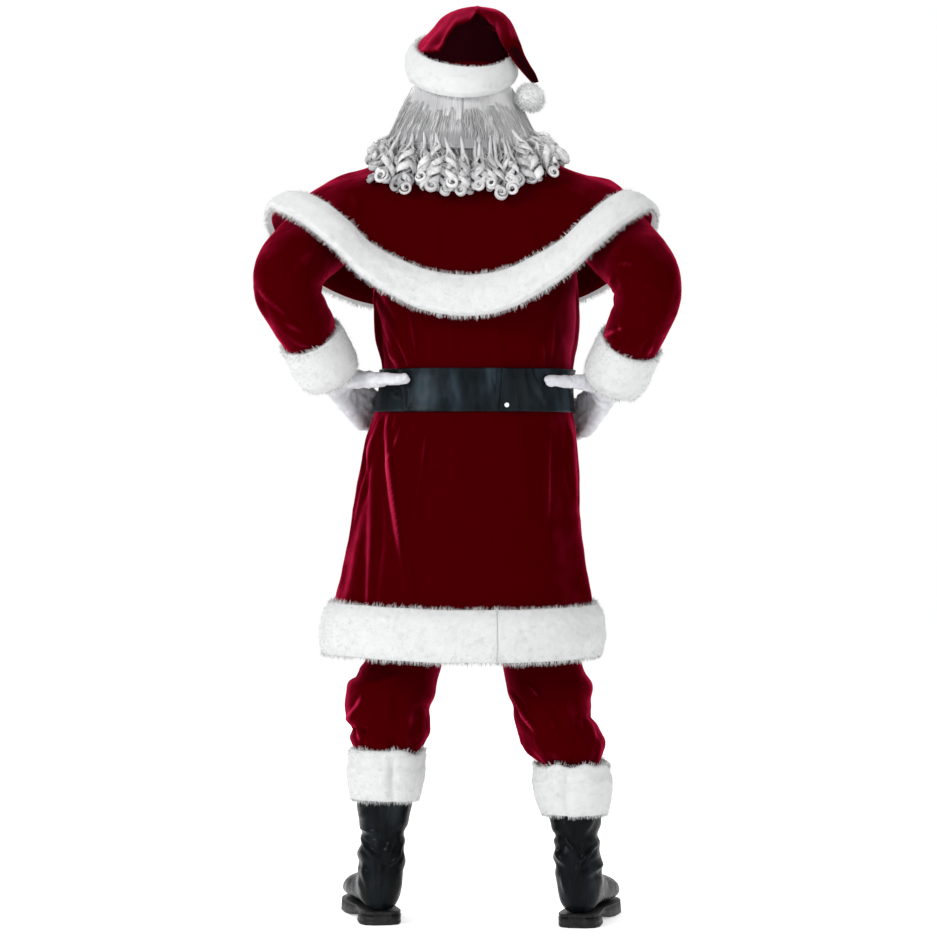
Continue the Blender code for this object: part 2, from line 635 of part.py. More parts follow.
def build_sleeves():
    for side, word in ((1, "left"), (-1, "right")):
        rings = sleeve_rings(side)
        outside = outer_face(rings, CLOTH, closed=True)
        columns = (np.arange(SLEEVE_RING + 1) - SEAM_COLUMN[side]) % SLEEVE_RING
        halves = columns[: SLEEVE_RING // 2 + 1], columns[SLEEVE_RING // 2 :]
        for place, half in zip(("back", "front")[:: int(side)], halves):
            faces = parted(rings[:-1, half]), parted(outside[:-1, half])
            wall_between(f"sleeve_{place}_{word}", *faces, VELVET)
        base = outside[-CUFF_FUR_ROWS:]
        fur_band(f"cuff_fur_{word}", base, CUFF_THICK, (0.5, 0.95, 1.0, 1.0, 0.55), FUR, wrap=True)


# ---------------------------------------------------------------- cape


def cape_point(azimuth, share):
    """A point of the cape's inside: share 0 is the neck and 1 the edge."""
    size = look_up(CAPE, "azimuth", azimuth)
    a = np.radians(azimuth)
    neck = 1 / np.hypot(np.cos(a) / CAPE_NECK_HALF, np.sin(a) / CAPE_NECK_DEPTH)
    reach = np.stack([neck, size["shoulder_r"], size["arm_r"], size["edge_r"]])
    level = np.stack(
        [np.full_like(neck, CAPE_NECK_HEIGHT), size["shoulder_z"], size["arm_z"], size["edge_z"]]
    )
    steps = np.hypot(np.diff(reach, axis=0), np.diff(level, axis=0))
    along = np.concatenate([np.zeros((1, len(neck))), np.cumsum(steps, axis=0)])
    radius, height = np.empty_like(neck), np.empty_like(neck)
    for k in range(len(neck)):
        at = share * along[-1, k]
        radius[k] = smooth_curve(at, along[:, k], reach[:, k])
        height[k] = smooth_curve(at, along[:, k], level[:, k])
    return np.stack([radius * np.cos(a), radius * np.sin(a), height], axis=-1)


def surface_tree(grid, closed=False):
    """A search tree of the outside of a wall whose inside is the grid."""
    points = outer_face(grid, CLOTH, closed).reshape(-1, 3)
    return BVHTree.FromPolygons(points.tolist(), grid_faces(*grid.shape[:2], wrap_columns=closed))


def with_middles(grid):
    """The grid with a point added halfway between each two along its rows and columns."""
    for axis in (0, 1):
        count = grid.shape[axis]
        ahead = np.take(grid, range(1, count), axis)
        middles = (np.take(grid, range(count - 1), axis) + ahead) / 2
        places = np.arange(1, count)
        grid = np.insert(grid, places, middles, axis)
    return grid


def lift_needed(points, directions, trees):
    """How far each point must move along its direction to lie clear over the trees' surfaces."""
    needed = np.zeros(points.shape[:2])
    for index in np.ndindex(needed.shape):
        away = Vector(directions[index]).normalized()
        start = Vector(points[index]) + away * CAPE_REACH
        for tree in trees:
            distance = tree.ray_cast(start, -away, CAPE_REACH + CAPE_CLEAR)[3]
            if distance is not None:
                needed[index] = max(needed[index], CAPE_REACH + CAPE_CLEAR - distance)
    return needed


def given_way(grid, trees):
    """The cape's points where the cloth under them lifts it: each is moved out of what it would
    cross, and its neighbours follow, so that the cape drapes over the arms."""
    directions = unit(outward(grid) * (0.35, 1, 1))
    finer = lift_needed(with_middles(grid), with_middles(directions), trees)
    framed = np.pad(finer, 1, mode="edge")
    near = [framed[r : r + finer.shape[0], c : c + finer.shape[1]] for r in range(3) for c in range(3)]
    needed = np.max(near, axis=0)[::2, ::2]
    moved = needed
    for _ in range(6):
        beside = (np.roll(moved, 1, 1) + np.roll(moved, -1, 1)) / 2
        above = np.concatenate([moved[1:], moved[-1:]])
        below = np.concatenate([moved[:1], moved[:-1]])
        moved = np.maximum(needed, moved * 0.3 + beside * 0.4 + (above + below) * 0.15)
    return grid + directions * moved[..., None]


def build_cape():
    trees = [surface_tree(coat_grid(*angles)) for angles in COAT_PANELS.values()]
    trees += [surface_tree(sleeve_rings(side), closed=True) for side in (1, -1)]
    grid = given_way(np.array([cape_point(CAPE_COLUMNS, share) for share in CAPE_ROWS]), trees)
    wall("cape", grid[1:], VELVET)
    base = outer_face(grid, CLOTH)[:CAPE_FUR_ROWS]
    fur_band("cape_fur", base, CAPE_FUR_THICK, (0.45, 0.9, 1.0, 0.45), FUR)
    return outer_face(grid, CLOTH)


# ---------------------------------------------------------------- hat


def hat_rings():
    """The hat's inside, ring by ring from the brim to the tip of the tail."""
    turn = np.linspace(0, 2 * math.pi, HAT_RING, endpoint=False)[:, None]
    rings = []
    for right_x, right_z, left_x, left_z, depth, middle_y in zip(*HAT.values()):
        right, left = np.array([right_x, 0, right_z]), np.array([left_x, 0, left_z])
        centre, across = (left + right) / 2, (left - right) / 2
        ring = centre + np.cos(turn) * across + np.sin(turn) * np.array([0, depth, 0])
        tilting = soft_step((HAT_LEVEL + 0.03 - ring[:, 2]) / 0.09) * float(left_x > -0.03)
        ring[:, 2] -= math.tan(HAT_TILT) * ring[:, 1] * tilting
        rings.append(ring + np.array([0, middle_y, 0]))
    return np.array(rings)


def build_hat():
    rings = hat_rings()
    wall("hat_crown", rings, VELVET, HAT_CLOTH, closed=True, end_cap=True)
    below = rings[0] + (rings[0] - rings[2]) * HAT_BAND_OVERHANG
    base = outer_face(np.array([below, *rings[:3]]), HAT_CLOTH, closed=True)
    fur_band("hat_fur_band", base, HAT_BAND_THICK, (0.55, 1.0, 1.0, 0.5), FUR, wrap=True)
    build_pompom()


def build_pompom():
    """A round core with a short tapering lock drawn out of each of its faces."""
    edit = bmesh.new()
    bmesh.ops.create_icosphere(edit, subdivisions=2, radius=POMPOM_CORE)
    locks = bmesh.ops.extrude_discrete_faces(edit, faces=edit.faces)["faces"]
    for face in locks:
        middle = face.calc_center_median()
        for corner in face.verts:
            corner.co = middle + (corner.co - middle) * 0.45
            corner.co += middle.normalized() * (POMPOM_RADIUS - POMPOM_CORE)
    bmesh.ops.translate(edit, verts=edit.verts, vec=POMPOM_CENTRE)
    mesh = bpy.data.meshes.new("hat_pompom")
    edit.to_mesh(mesh)
    edit.free()
    mesh.materials.append(FUR)
    SUIT.objects.link(bpy.data.objects.new("hat_pompom", mesh))


# ---------------------------------------------------------------- wig


def over_cape(cape_outside, azimuth, share, lift):
    """A point over the cape's outside, lifted off it."""
    column = np.interp(azimuth, CAPE_COLUMNS, range(RING + 1))
    row = np.interp(share, CAPE_ROWS[::-1], range(len(CAPE_ROWS))[::-1])
    points = cape_outside + outward(cape_outside) * lift
    low, left = int(row), int(column)
    down, across = row - low, column - left
    ahead = points[low, left] * (1 - across) + points[low, left + 1] * across
    above = points[low + 1, left] * (1 - across) + points[low + 1, left + 1] * across
    return Vector(ahead * (1 - down) + above * down)


def hair_row(height, half_width, back, front, tilt, azimuths):
    """A row of the hair's inside, tilted as the hat is or less."""
    a = np.radians(azimuths)
    x = WIG_CENTRE + half_width * np.cos(a)
    y = np.where(np.sin(a) > 0, back, front) * np.sin(a)
    return np.stack([x, y, height - math.tan(HAT_TILT) * tilt * y], axis=-1)


def build_wig(cape_outside):
    rows = [
        hair_row(*sizes, tilt, np.linspace(-90 + gap, 270 - gap, WIG_RING + 1))
        for *sizes, gap, tilt in zip(*WIG.values())
    ]
    wall("wig_hair", np.array(rows[::-1]), HAIR, WIG_CLOTH)
    build_curls(cape_outside)


def build_curls(cape_outside):
    """Ringlets drawn down out of a narrow strip that lies along the hair's lower edge."""
    cells = 2 * CURL_COUNT + 1
    *sizes, gap, tilt = (column[-1] for column in WIG.values())
    azimuths = np.linspace(-90 + gap, 270 - gap, cells + 1)
    line = hair_row(*sizes, tilt, azimuths)
    aside = unit(np.gradient(line, axis=0))[:, [1, 0, 2]] * (1, -1, 0)
    up = np.array([0, 0, 1.0])
    corners = [
        line + aside * CURL_STRIP_THICK * across - up * (2 * SEAM + CURL_STRIP_HIGH * down)
        for across, down in ((0.6, 1), (0.6, 0), (-0.4, 0), (-0.4, 1))
    ]
    strip = closed_loft("wig_curls", np.array(corners), HAIR)
    edit = bmesh.new()
    edit.from_mesh(strip.data)
    stations = cells + 1
    for lock in range(CURL_COUNT):
        cell = 2 * lock + 1
        below = {cell, cell + 1, 3 * stations + cell, 3 * stations + cell + 1}
        root = next(face for face in edit.faces if {corner.index for corner in face.verts} == below)
        draw_ringlet(edit, root, cape_outside, float(azimuths[cell : cell + 2].mean()), lock)
    edit.to_mesh(strip.data)
    edit.free()
    face_outwards(strip.data)


def draw_ringlet(edit, face, cape_outside, azimuth, lock):
    """Draws a four-sided lock out of a face, down over the cape, swelling and twisting as it goes."""
    start = face.calc_center_median()
    end = CURL_END_BACK + (CURL_END_SIDE - CURL_END_BACK) * abs(math.cos(math.radians(azimuth)))
    end += 0.03 * math.sin(2.3 * lock)
    middle = over_cape(cape_outside, azimuth, end * 0.62, CURL_RADIUS + 0.016)
    sway = 1.5 * math.sin(1.7 * lock)
    tip = over_cape(cape_outside, azimuth + sway, end, CURL_RADIUS * CURL_TIP + CURL_LIFT)
    down = (middle - start).normalized()
    across = down.cross(Vector((0, 0, 1))).normalized()
    aside = down.cross(across)
    angles = [
        math.atan2((corner.co - start).dot(aside), (corner.co - start).dot(across)) for corner in face.verts
    ]
    for step in range(1, CURL_STEPS + 1):
        t = step / CURL_STEPS
        centre = start * (1 - t) ** 2 + middle * 2 * t * (1 - t) + tip * t**2
        down = ((middle - start) * (1 - t) + (tip - middle) * t).normalized()
        across = (across - down * across.dot(down)).normalized()
        aside = down.cross(across)
        size = CURL_RADIUS * (0.55 + 0.45 * t) * (0.92 + 0.08 * math.cos(2.2 * step + lock))
        size *= CURL_TIP if step == CURL_STEPS else 1.0
        face = bmesh.ops.extrude_discrete_faces(edit, faces=[face])["faces"][0]
        for corner, angle in zip(face.verts, angles):
            turn = angle + CURL_TWIST * step
            corner.co = centre + (across * math.cos(turn) + aside * math.sin(turn)) * size


# ---------------------------------------------------------------- belt and buckle


def belt_rows(angles, lift):
    """Three rows of the belt's inside round the waist, lifted off the coat."""
    grid = coat_base((BELT_BOTTOM, BELT_MIDDLE, BELT_TOP), angles, False)
    return grid + outward(grid) * np.asarray(lift)[..., None]


def build_belt():
    """Two lengths that lap at the back, and a buckle over the middle of the front."""
    wall("belt_left", parted(belt_rows(side_of_ring(-90, BELT_LAP[1]), BELT_LIFT)), BLACK_HIDE, BELT_THICK)
    angles = np.concatenate([[BELT_LAP[0]], side_of_ring(BELT_LAP[1], 270)])
    lift = np.full(len(angles), BELT_LIFT)
    lift[:2] += BELT_THICK + LAYER
    lift[2] += BELT_THICK / 2
    wall("belt_right", parted(belt_rows(angles, lift)), BLACK_HIDE, BELT_THICK)
    lapped = BELT_LIFT + 2 * BELT_THICK + LAYER + SEAM
    rows = belt_rows(np.array(BELT_LAP), lapped)
    up, along = BELT_RIVET_PLACE
    lower, upper = rows[:2, 0] * (1 - along) + rows[:2, 1] * along
    place = lower * (1 - up) + upper * up
    add_stud("belt_rivet", place, outward(rows)[0].mean(axis=0), BELT_RIVET_RADIUS, CHROME)
    build_buckle()


def add_stud(name, place, normal, radius, material):
    """A low round stud that stands on a place along its normal."""
    bpy.ops.mesh.primitive_cylinder_add(vertices=16, radius=radius, depth=radius / 2)
    stud = bpy.context.object
    stud.name = stud.data.name = name
    for collection in list(stud.users_collection):
        collection.objects.unlink(stud)
    SUIT.objects.link(stud)
    stud.location = Vector(place) + Vector(normal) * (radius / 4)
    stud.rotation_euler = Vector(normal).to_track_quat("Z", "Y").to_euler()
    stud.data.materials.append(material)
    rim = stud.modifiers.new("rim", "BEVEL")
    rim.width, rim.segments, rim.limit_method = radius / 5, 1, "ANGLE"


def belt_front(x, z, lift):
    """A point over the belt's front, at a place across and a height."""
    rows = belt_rows(side_of_ring(-90 - 4 * STEP, -90 + 4 * STEP), BELT_LIFT + BELT_THICK + lift)
    reach = [np.interp(x, row[:, 0], row[:, 1]) for row in rows]
    return (x, float(np.interp(z, rows[:, 0, 2], reach)), z)


def build_buckle():
    middle = float(coat_row(BELT_MIDDLE, np.array([270.0]))[0, 0])
    level = (BELT_TOP + BELT_BOTTOM) / 2
    half_w, half_h = BUCKLE_HALF_WIDTH, BUCKLE_HALF_HEIGHT
    across = np.linspace(-half_w, half_w, 7)
    corners = [(x, -half_h) for x in across] + [(half_w, 0)]
    corners += [(x, half_h) for x in across[::-1]] + [(-half_w, 0)]
    stations = []
    for x, z in corners:
        inner_x = x - math.copysign(BUCKLE_BAR, x) if abs(x) == half_w else x
        inner_z = z - math.copysign(BUCKLE_BAR, z) if abs(z) == half_h else z
        low, high = BUCKLE_LIFT, BUCKLE_LIFT + BUCKLE_THICK
        section = ((x, z, low), (x, z, high), (inner_x, inner_z, high), (inner_x, inner_z, low))
        stations.append([belt_front(middle + px, level + pz, lift) for px, pz, lift in section])
    closed_loft("belt_buckle", np.array(stations).transpose(1, 0, 2), BRASS, wrap=True)
    reach = (half_w - BUCKLE_BAR) * 0.95
    line = [belt_front(middle + x, level, LAYER + PRONG_RADIUS) for x in np.linspace(-reach, reach, 6)]
    add_rod("belt_prong", line, PRONG_RADIUS, BRASS)


def add_rod(name, line, radius, material):
    """A round rod along a line, as a curve with filled ends."""
    curve = bpy.data.curves.new(name, "CURVE")
    curve.dimensions = "3D"
    curve.bevel_depth, curve.bevel_resolution, curve.use_fill_caps = radius, 1, True
    spline = curve.splines.new("POLY")
    spline.points.add(len(line) - 1)
    for point, place in zip(spline.points, line):
        point.co = (*place, 1)
    curve.materials.append(material)
    SUIT.objects.link(bpy.data.objects.new(name, curve))


# ---------------------------------------------------------------- trousers


def leg_row(side, face, height):
    """Half a leg's ring from the side seam to the inside seam, behind (+1) or before (-1)."""
    size = {name: float(value) for name, value in look_up(LEGS[side], "height", height).items()}
    turn = np.linspace(0, math.pi, LEG_HALF_RING + 1)
    x = size["centre_x"] + side * size["half_width"] * power(np.cos(turn), 0.92)
    y = size["centre_y"] + face * size["half_depth"] * np.abs(np.sin(turn)) ** 0.92
    return np.stack([x, y, np.full_like(x, height)], axis=-1)


def pelvis_row(side, face, rise):
    """A panel's row above the crotch, from the side seam to the centre seam: rise 1 is the waist."""
    height = CROTCH_HEIGHT + (WAIST_HEIGHT - CROTCH_HEIGHT) * rise
    turn = np.linspace(0, math.pi / 2, LEG_HALF_RING + 1)
    depth = PELVIS_BACK if face > 0 else PELVIS_FRONT
    x = CROTCH_X + side * PELVIS_HALF[side] * np.abs(np.cos(turn)) ** ROUNDNESS
    y = face * depth * np.abs(np.sin(turn)) ** ROUNDNESS
    waist = np.stack([x, y, np.full_like(x, height)], axis=-1)
    leg = leg_row(side, face, CROTCH_HEIGHT)
    leg[:, 2] = height
    formed = min(1.0, rise / 0.34)
    formed = math.sqrt(1 - (1 - formed) ** 2)
    row = leg * (1 - formed) + waist * formed
    row[-1, 0] = CROTCH_X + side * CROTCH_GAP * (1 - formed)
    return row


def build_trousers():
    for side, word in ((1, "left"), (-1, "right")):
        heights = LEGS[side]["height"]
        for face, place in ((1, "back"), (-1, "front")):
            rows = [leg_row(side, face, height) for height in heights]
            for row in rows:
                row[:, 0] = CROTCH_X + side * np.maximum(CROTCH_GAP, side * (row[:, 0] - CROTCH_X))
            rows += [pelvis_row(side, face, rise) for rise in PELVIS_STEPS]
            grid = np.array(rows)
            grid = grid if side * face > 0 else grid[:, ::-1]
            wall(f"trousers_{place}_{word}", parted(grid, SEAM), VELVET)


# ---------------------------------------------------------------- boots


def to_boot_place(side, points):
    """Boot points from the boot's own frame to where that boot stands."""
    points = np.array(points, float)
    foot = FEET[side]
    points[..., 0] += foot["lean"] * (points[..., 2] - 0.14)
    turn = math.radians(foot["toe_out"]) * side
    x = points[..., 0] * math.cos(turn) - points[..., 1] * math.sin(turn)
    y = points[..., 0] * math.sin(turn) + points[..., 1] * math.cos(turn)
    return np.stack([x + foot["ankle"][0], y + foot["ankle"][1], points[..., 2] + FLOOR], axis=-1)


def boot_ring(centre_y, height, tilt, half_width, down, up):
    """One ring of a boot's inside: turn 0 is its +X side and a quarter turn its back or sole."""
    turn = np.linspace(0, 2 * math.pi, BOOT_RING, endpoint=False)
    across, along = np.cos(turn), np.sin(turn)
    reach = np.where(along > 0, down, up) * power(along, 0.9)
    slope = math.radians(tilt)
    x = half_width * power(across, 0.9)
    y = centre_y + reach * math.cos(slope)
    z = height - reach * math.sin(slope)
    z = np.maximum(z, INSOLE if tilt else 0)
    return np.stack([x, y, z], axis=-1)


def boot_shaft_ring(height):
    """A level ring of the shaft at a height above the floor."""
    shaft = {name: BOOT[name][:SHAFT_ROWS][::-1] for name in BOOT}
    size = look_up(shaft, "height", height)
    return boot_ring(0.0, height, 0, *(float(size[name]) for name in ("half_width", "down", "up")))


def build_boots():
    for side, word in ((1, "left"), (-1, "right")):
        rings = np.array([boot_ring(*row) for row in zip(*BOOT.values())])[:, ::-1]
        upper = wall(f"boot_{word}", to_boot_place(side, rings), BLACK_HIDE, HIDE, closed=True, end_cap=True)
        upper.data.polygons[-1].use_smooth = False
        build_sole(side, word)
        build_topper(side, word)


def build_sole(side, word):
    sole = [
        [(-w, y, low), (w, y, low), (w, y, SOLE_TOP), (-w, y, SOLE_TOP)] for y, w, low in zip(*SOLE.values())
    ]
    closed_loft(f"boot_sole_{word}", to_boot_place(side, sole).transpose(1, 0, 2), RUBBER)
    heel = [
        [(-w, y, 0), (w, y, 0), (w, y, HEEL_HEIGHT), (-w, y, HEEL_HEIGHT)] for y, w in zip(*HEEL.values())
    ]
    closed_loft(f"boot_heel_{word}", to_boot_place(side, heel).transpose(1, 0, 2), RUBBER)


def build_topper(side, word):
    rings = []
    for height, flare in zip(TOPPER_ROWS[side], TOPPER_FLARE):
        ring = boot_shaft_ring(min(height, SHAFT_TOP))
        ring[:, :2] *= flare
        ring[:, 2] = height
        rings.append(ring)
    base = to_boot_place(side, np.array(rings))
    fur_band(f"boot_fur_{word}", base, TOPPER_THICK, (0.5, 0.8, 1.0, 0.42), FUR, wrap=True, clearance=0)


# ---------------------------------------------------------------- gloves


def on_hip(angle, height, lift):
    """A point over the coat and belt, at an angle round the body and a height."""
    around = np.array([angle - 1.0, angle, angle + 1.0])
    row = coat_row(height, around, folded=False)
    normal = unit(np.cross(row[2] - row[0], (0, 0, 1.0)))
    return row[1] + normal * lift


def glove_tubes(side):
    """The lines and radii of a gloved hand: cuff, palm, four fingers and a thumb."""
    hand, arm = HANDS[side], ARMS[side]
    wrist, elbow = np.array(hand["wrist"]), np.array(arm["elbow"])
    sleeve_end = np.array(arm["wrist"])
    start = sleeve_end + unit(elbow - sleeve_end) * 0.030
    tubes = [((start, sleeve_end, wrist), (0.036, 0.034, 0.030))]
    for k, length in enumerate(FINGER_LENGTHS):
        height = hand["knuckle_height"] + (1.5 - k) * FINGER_SPACING
        turn = [hand["knuckle_angle"] - side * FINGER_SWEEP * length * share for share in (0, 0.5, 1.0)]
        knuckle, middle, tip = (
            on_hip(angle, height - drop, lift)
            for angle, drop, lift in zip(turn, (0, 0.006, 0.014), (0.0270, 0.0215, 0.0195))
        )
        spread = (1.5 - k) * 0.012 * np.array([0, 0, 1.0])
        tubes.append(((wrist + spread, knuckle), (0.019, 0.0150)))
        tubes.append(((knuckle, middle, tip), (0.0130, FINGER_RADIUS, FINGER_RADIUS * 0.9)))
    base, joint, tip = (
        on_hip(angle, hand["thumb_height"], lift)
        for angle, lift in zip(hand["thumb_angles"], (0.0260, 0.0225, 0.0205))
    )
    tubes.append(((wrist + np.array([0, 0.004, 0.014]), base), (0.022, 0.0150)))
    tubes.append(((base, joint, tip), (0.0145, 0.0125, 0.0112)))
    return tubes, start, unit(sleeve_end - elbow)


def build_glove(side, word):
    """The hand's tubes fused into one skin, cut open at the wrist and given the cloth's thickness."""
    tubes, start, direction = glove_tubes(side)
    points, faces, count = [], [], 0
    for line, radii in tubes:
        tube_points, tube_faces = tube_mesh(line, radii, ring=12)
        points.extend(tube_points)
        faces.extend(tuple(i + count for i in face) for face in tube_faces)
        count += len(tube_points)
    rough = add_object("rough_glove", points, faces, GLOVE)
    fuse = rough.modifiers.new("fuse", "REMESH")
    fuse.mode = "VOXEL"
    fuse.voxel_size = 0.0042
    ease = rough.modifiers.new("ease", "SMOOTH")
    ease.factor, ease.iterations = 0.5, 4
    thin = rough.modifiers.new("thin", "DECIMATE")
    thin.ratio = 0.030
    bpy.context.view_layer.update()
    skin = bpy.data.meshes.new_from_object(rough.evaluated_get(bpy.context.evaluated_depsgraph_get()))
    bpy.data.objects.remove(rough)
    edit = bmesh.new()
    edit.from_mesh(skin)
    bmesh.ops.bisect_plane(
        edit,
        geom=edit.verts[:] + edit.edges[:] + edit.faces[:],
        plane_co=Vector(start + direction * 0.004),
        plane_no=Vector(-direction),
        clear_outer=True,
    )
    bmesh.ops.dissolve_degenerate(edit, edges=edit.edges, dist=0.0005)
    edit.to_mesh(skin)
    edit.free()
    skin.name = f"glove_{word}"
    glove = bpy.data.objects.new(skin.name, skin)
    SUIT.objects.link(glove)
    solid = glove.modifiers.new("cloth", "SOLIDIFY")
    solid.thickness = GLOVE_CLOTH
    solid.offset = -1
    return BVHTree.FromPolygons([v.co for v in skin.vertices], [p.vertices for p in skin.polygons])


def build_gloves():
    build_glove(1, "left")
    skin = build_glove(-1, "right")
    place, normal, _, _ = skin.ray_cast(Vector(SNAP_FROM), Vector((0, -1, 0)))
    add_stud("glove_snap", place + normal * SNAP_LIFT, normal, SNAP_RADIUS, CHROME)


# ---------------------------------------------------------------- the suit

clear_scene()
SUIT = bpy.data.collections.new("santa_suit")
bpy.context.scene.collection.children.link(SUIT)
VELVET = make_material("velvet", (0.17, 0.002, 0.012), 0.75)
FUR = make_material("white_fur", (0.86, 0.87, 0.86), 0.9)
HAIR = make_material("wig_hair", (0.62, 0.62, 0.63), 0.5)
BLACK_HIDE = make_material("black_leathercloth", (0.012, 0.013, 0.014), 0.35)
RUBBER = make_material("black_rubber", (0.010, 0.010, 0.011), 0.6)
BRASS = make_material("buckle_metal", (0.72, 0.52, 0.20), 0.3, metallic=1.0)
CHROME = make_material("rivet_metal", (0.70, 0.70, 0.72), 0.25, metallic=1.0)
GLOVE = make_material("white_glove_cloth", (0.80, 0.80, 0.84), 0.55)

build_coat()
build_sleeves()
build_wig(build_cape())
build_hat()
build_belt()
build_trousers()
build_boots()
build_gloves()
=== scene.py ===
"""Looks of the velvet santa suit: cloth, fur, hair and leathercloth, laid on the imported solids' forms.

Everything is in metres in the frame of the CAD part. The sections of each piece are the ones that the
solids were made from; here they are drawn finer, with their creases, and given their pile and hair.
"""

import math

import bmesh
import bpy
import numpy as np
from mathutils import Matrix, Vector
from mathutils.bvhtree import BVHTree


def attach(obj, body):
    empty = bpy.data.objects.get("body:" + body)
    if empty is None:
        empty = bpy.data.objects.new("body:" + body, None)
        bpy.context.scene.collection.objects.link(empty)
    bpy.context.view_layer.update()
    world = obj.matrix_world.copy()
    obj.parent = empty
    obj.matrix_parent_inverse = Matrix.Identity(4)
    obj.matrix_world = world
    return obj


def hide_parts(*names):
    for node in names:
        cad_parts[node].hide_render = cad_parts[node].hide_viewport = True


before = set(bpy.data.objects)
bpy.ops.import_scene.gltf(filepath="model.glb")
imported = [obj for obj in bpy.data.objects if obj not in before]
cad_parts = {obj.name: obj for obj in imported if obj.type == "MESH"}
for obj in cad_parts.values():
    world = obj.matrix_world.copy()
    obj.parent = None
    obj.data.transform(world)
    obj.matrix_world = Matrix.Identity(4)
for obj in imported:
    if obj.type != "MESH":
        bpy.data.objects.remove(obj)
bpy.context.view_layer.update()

# ---------------------------------------------------------------- driving dimensions

FLOOR = -1.526  # what the boots stand on
CLOTH = 0.0024  # velvet with its backing
HIDE = 0.0026  # boot leather cloth
GLOVE_CLOTH = 0.0012
SEAM = 0.0003  # between two pieces at a seam
LAYER = 0.0008  # between a wall and what lies on it
RING = 32  # columns round the coat and the cape
STEP = 360 / RING
ROUNDNESS = 0.84  # exponent of the body rings: 1 is an ellipse, less is squarer

HEM, UNDERARM = -0.985, -0.170
SHOULDER_HALF, SHOULDER_DROP = 0.195, 0.045
NECK_HALF, NECK_BACK, NECK_FRONT, NECK_FRONT_DROP = 0.080, 0.062, 0.070, 0.045
ARMHOLE_HALF_DEPTH, ARMHOLE_CUT = 0.062, 0.018

HEM_FUR_HEIGHT, HEM_FUR_THICK, HEM_FUR_JOIN = 0.098, 0.026, 90 + STEP
CAPE_FUR_THICK = 0.026
CUFF_THICK, HAT_BAND_THICK, TOPPER_THICK = 0.0155, 0.020, 0.022

BELT_TOP, BELT_MIDDLE, BELT_BOTTOM = -0.424, -0.464, -0.510
BELT_THICK, BELT_LIFT = 0.0030, 0.0015
BELT_LAP = (90 + STEP, 90 + 2 * STEP)  # degrees round the waist where the two lengths lie on each other

SIDES = ((1, "left"), (-1, "right"))  # the wearer's, who faces -Y


def table(columns, *rows):
    """A table's columns by name, as arrays with a value for each row."""
    return dict(zip(columns.split(), np.array(rows, float).T))


# The inside of the coat's cloth, from hem to underarm: its half width, and its reach behind and before.
COAT = table(
    "height centre_x half_width back front",
    (-0.985, 0.008, 0.266, 0.196, 0.188),
    (-0.890, 0.005, 0.253, 0.186, 0.180),
    (-0.804, 0.002, 0.236, 0.176, 0.172),
    (-0.722, -0.001, 0.222, 0.167, 0.164),
    (-0.624, -0.009, 0.211, 0.158, 0.156),
    (-0.554, -0.013, 0.203, 0.151, 0.151),
    (-0.514, -0.015, 0.196, 0.145, 0.147),
    (-0.464, -0.020, 0.188, 0.139, 0.143),
    (-0.416, -0.023, 0.188, 0.139, 0.143),
    (-0.364, -0.021, 0.196, 0.143, 0.148),
    (-0.264, -0.020, 0.203, 0.147, 0.152),
    (-0.170, -0.015, 0.200, 0.143, 0.146),
)
# Soft vertical folds of the coat's cloth: where each starts and ends, how deep and how wide it is.
FOLDS = table(
    "top top_angle bottom bottom_angle depth width",
    (-0.515, 36, -0.960, 28, 0.010, 11),
    (-0.515, 50, -0.900, 56, 0.007, 9),
    (-0.515, 14, -0.930, 6, 0.008, 10),
    (-0.520, 158, -0.920, 166, 0.007, 10),
    (-0.515, -35, -0.960, -30, 0.009, 12),
    (-0.515, -140, -0.960, -150, 0.009, 12),
    (-0.180, 35, -0.415, 44, 0.006, 10),
)
COAT_PANELS = {"coat_back": (0, 180), "coat_front_right": (180, 270), "coat_front_left": (270, 360)}
YOKE_STEPS = tuple(k / 8 for k in range(1, 9))
COAT_ROWS = (-0.985, -0.938, -0.890, -0.804, -0.722, -0.624, -0.554, -0.514, -0.464, -0.416,
             -0.364, -0.264, -0.170)

# The arms' joints: the corner points of each sleeve's centre line.
ARMS = {
    +1: {"elbow": (0.368, 0.212, -0.238), "wrist": (0.267, 0.060, -0.438)},
    -1: {"elbow": (-0.372, 0.212, -0.258), "wrist": (-0.290, 0.062, -0.452)},
}
SLEEVE = table(
    "along radius",
    (0.00, 0.073),
    (0.30, 0.072),
    (0.50, 0.069),
    (0.66, 0.060),
    (0.78, 0.056),
    (0.86, 0.0500),
    (1.00, 0.0495),
)
SLEEVE_ROWS = (0.0, 0.05, 0.12, 0.22, 0.33, 0.42, 0.50, 0.58, 0.70, 0.81, 0.86, 0.91, 0.955, 0.99)
CUFF_FUR_ROWS = 5  # the last rows, of which the sleeve's cloth leaves out the very last
SLEEVE_RING = 2 * len(YOKE_STEPS)
SHOULDER_OUT, SLEEVE_CUTS = 0.056, (0.034, 0.105)  # the shoulder's corner, and how it and the elbow round off
SLEEVE_FREED = 0.16  # the share of its length where a sleeve has left the armhole's shape

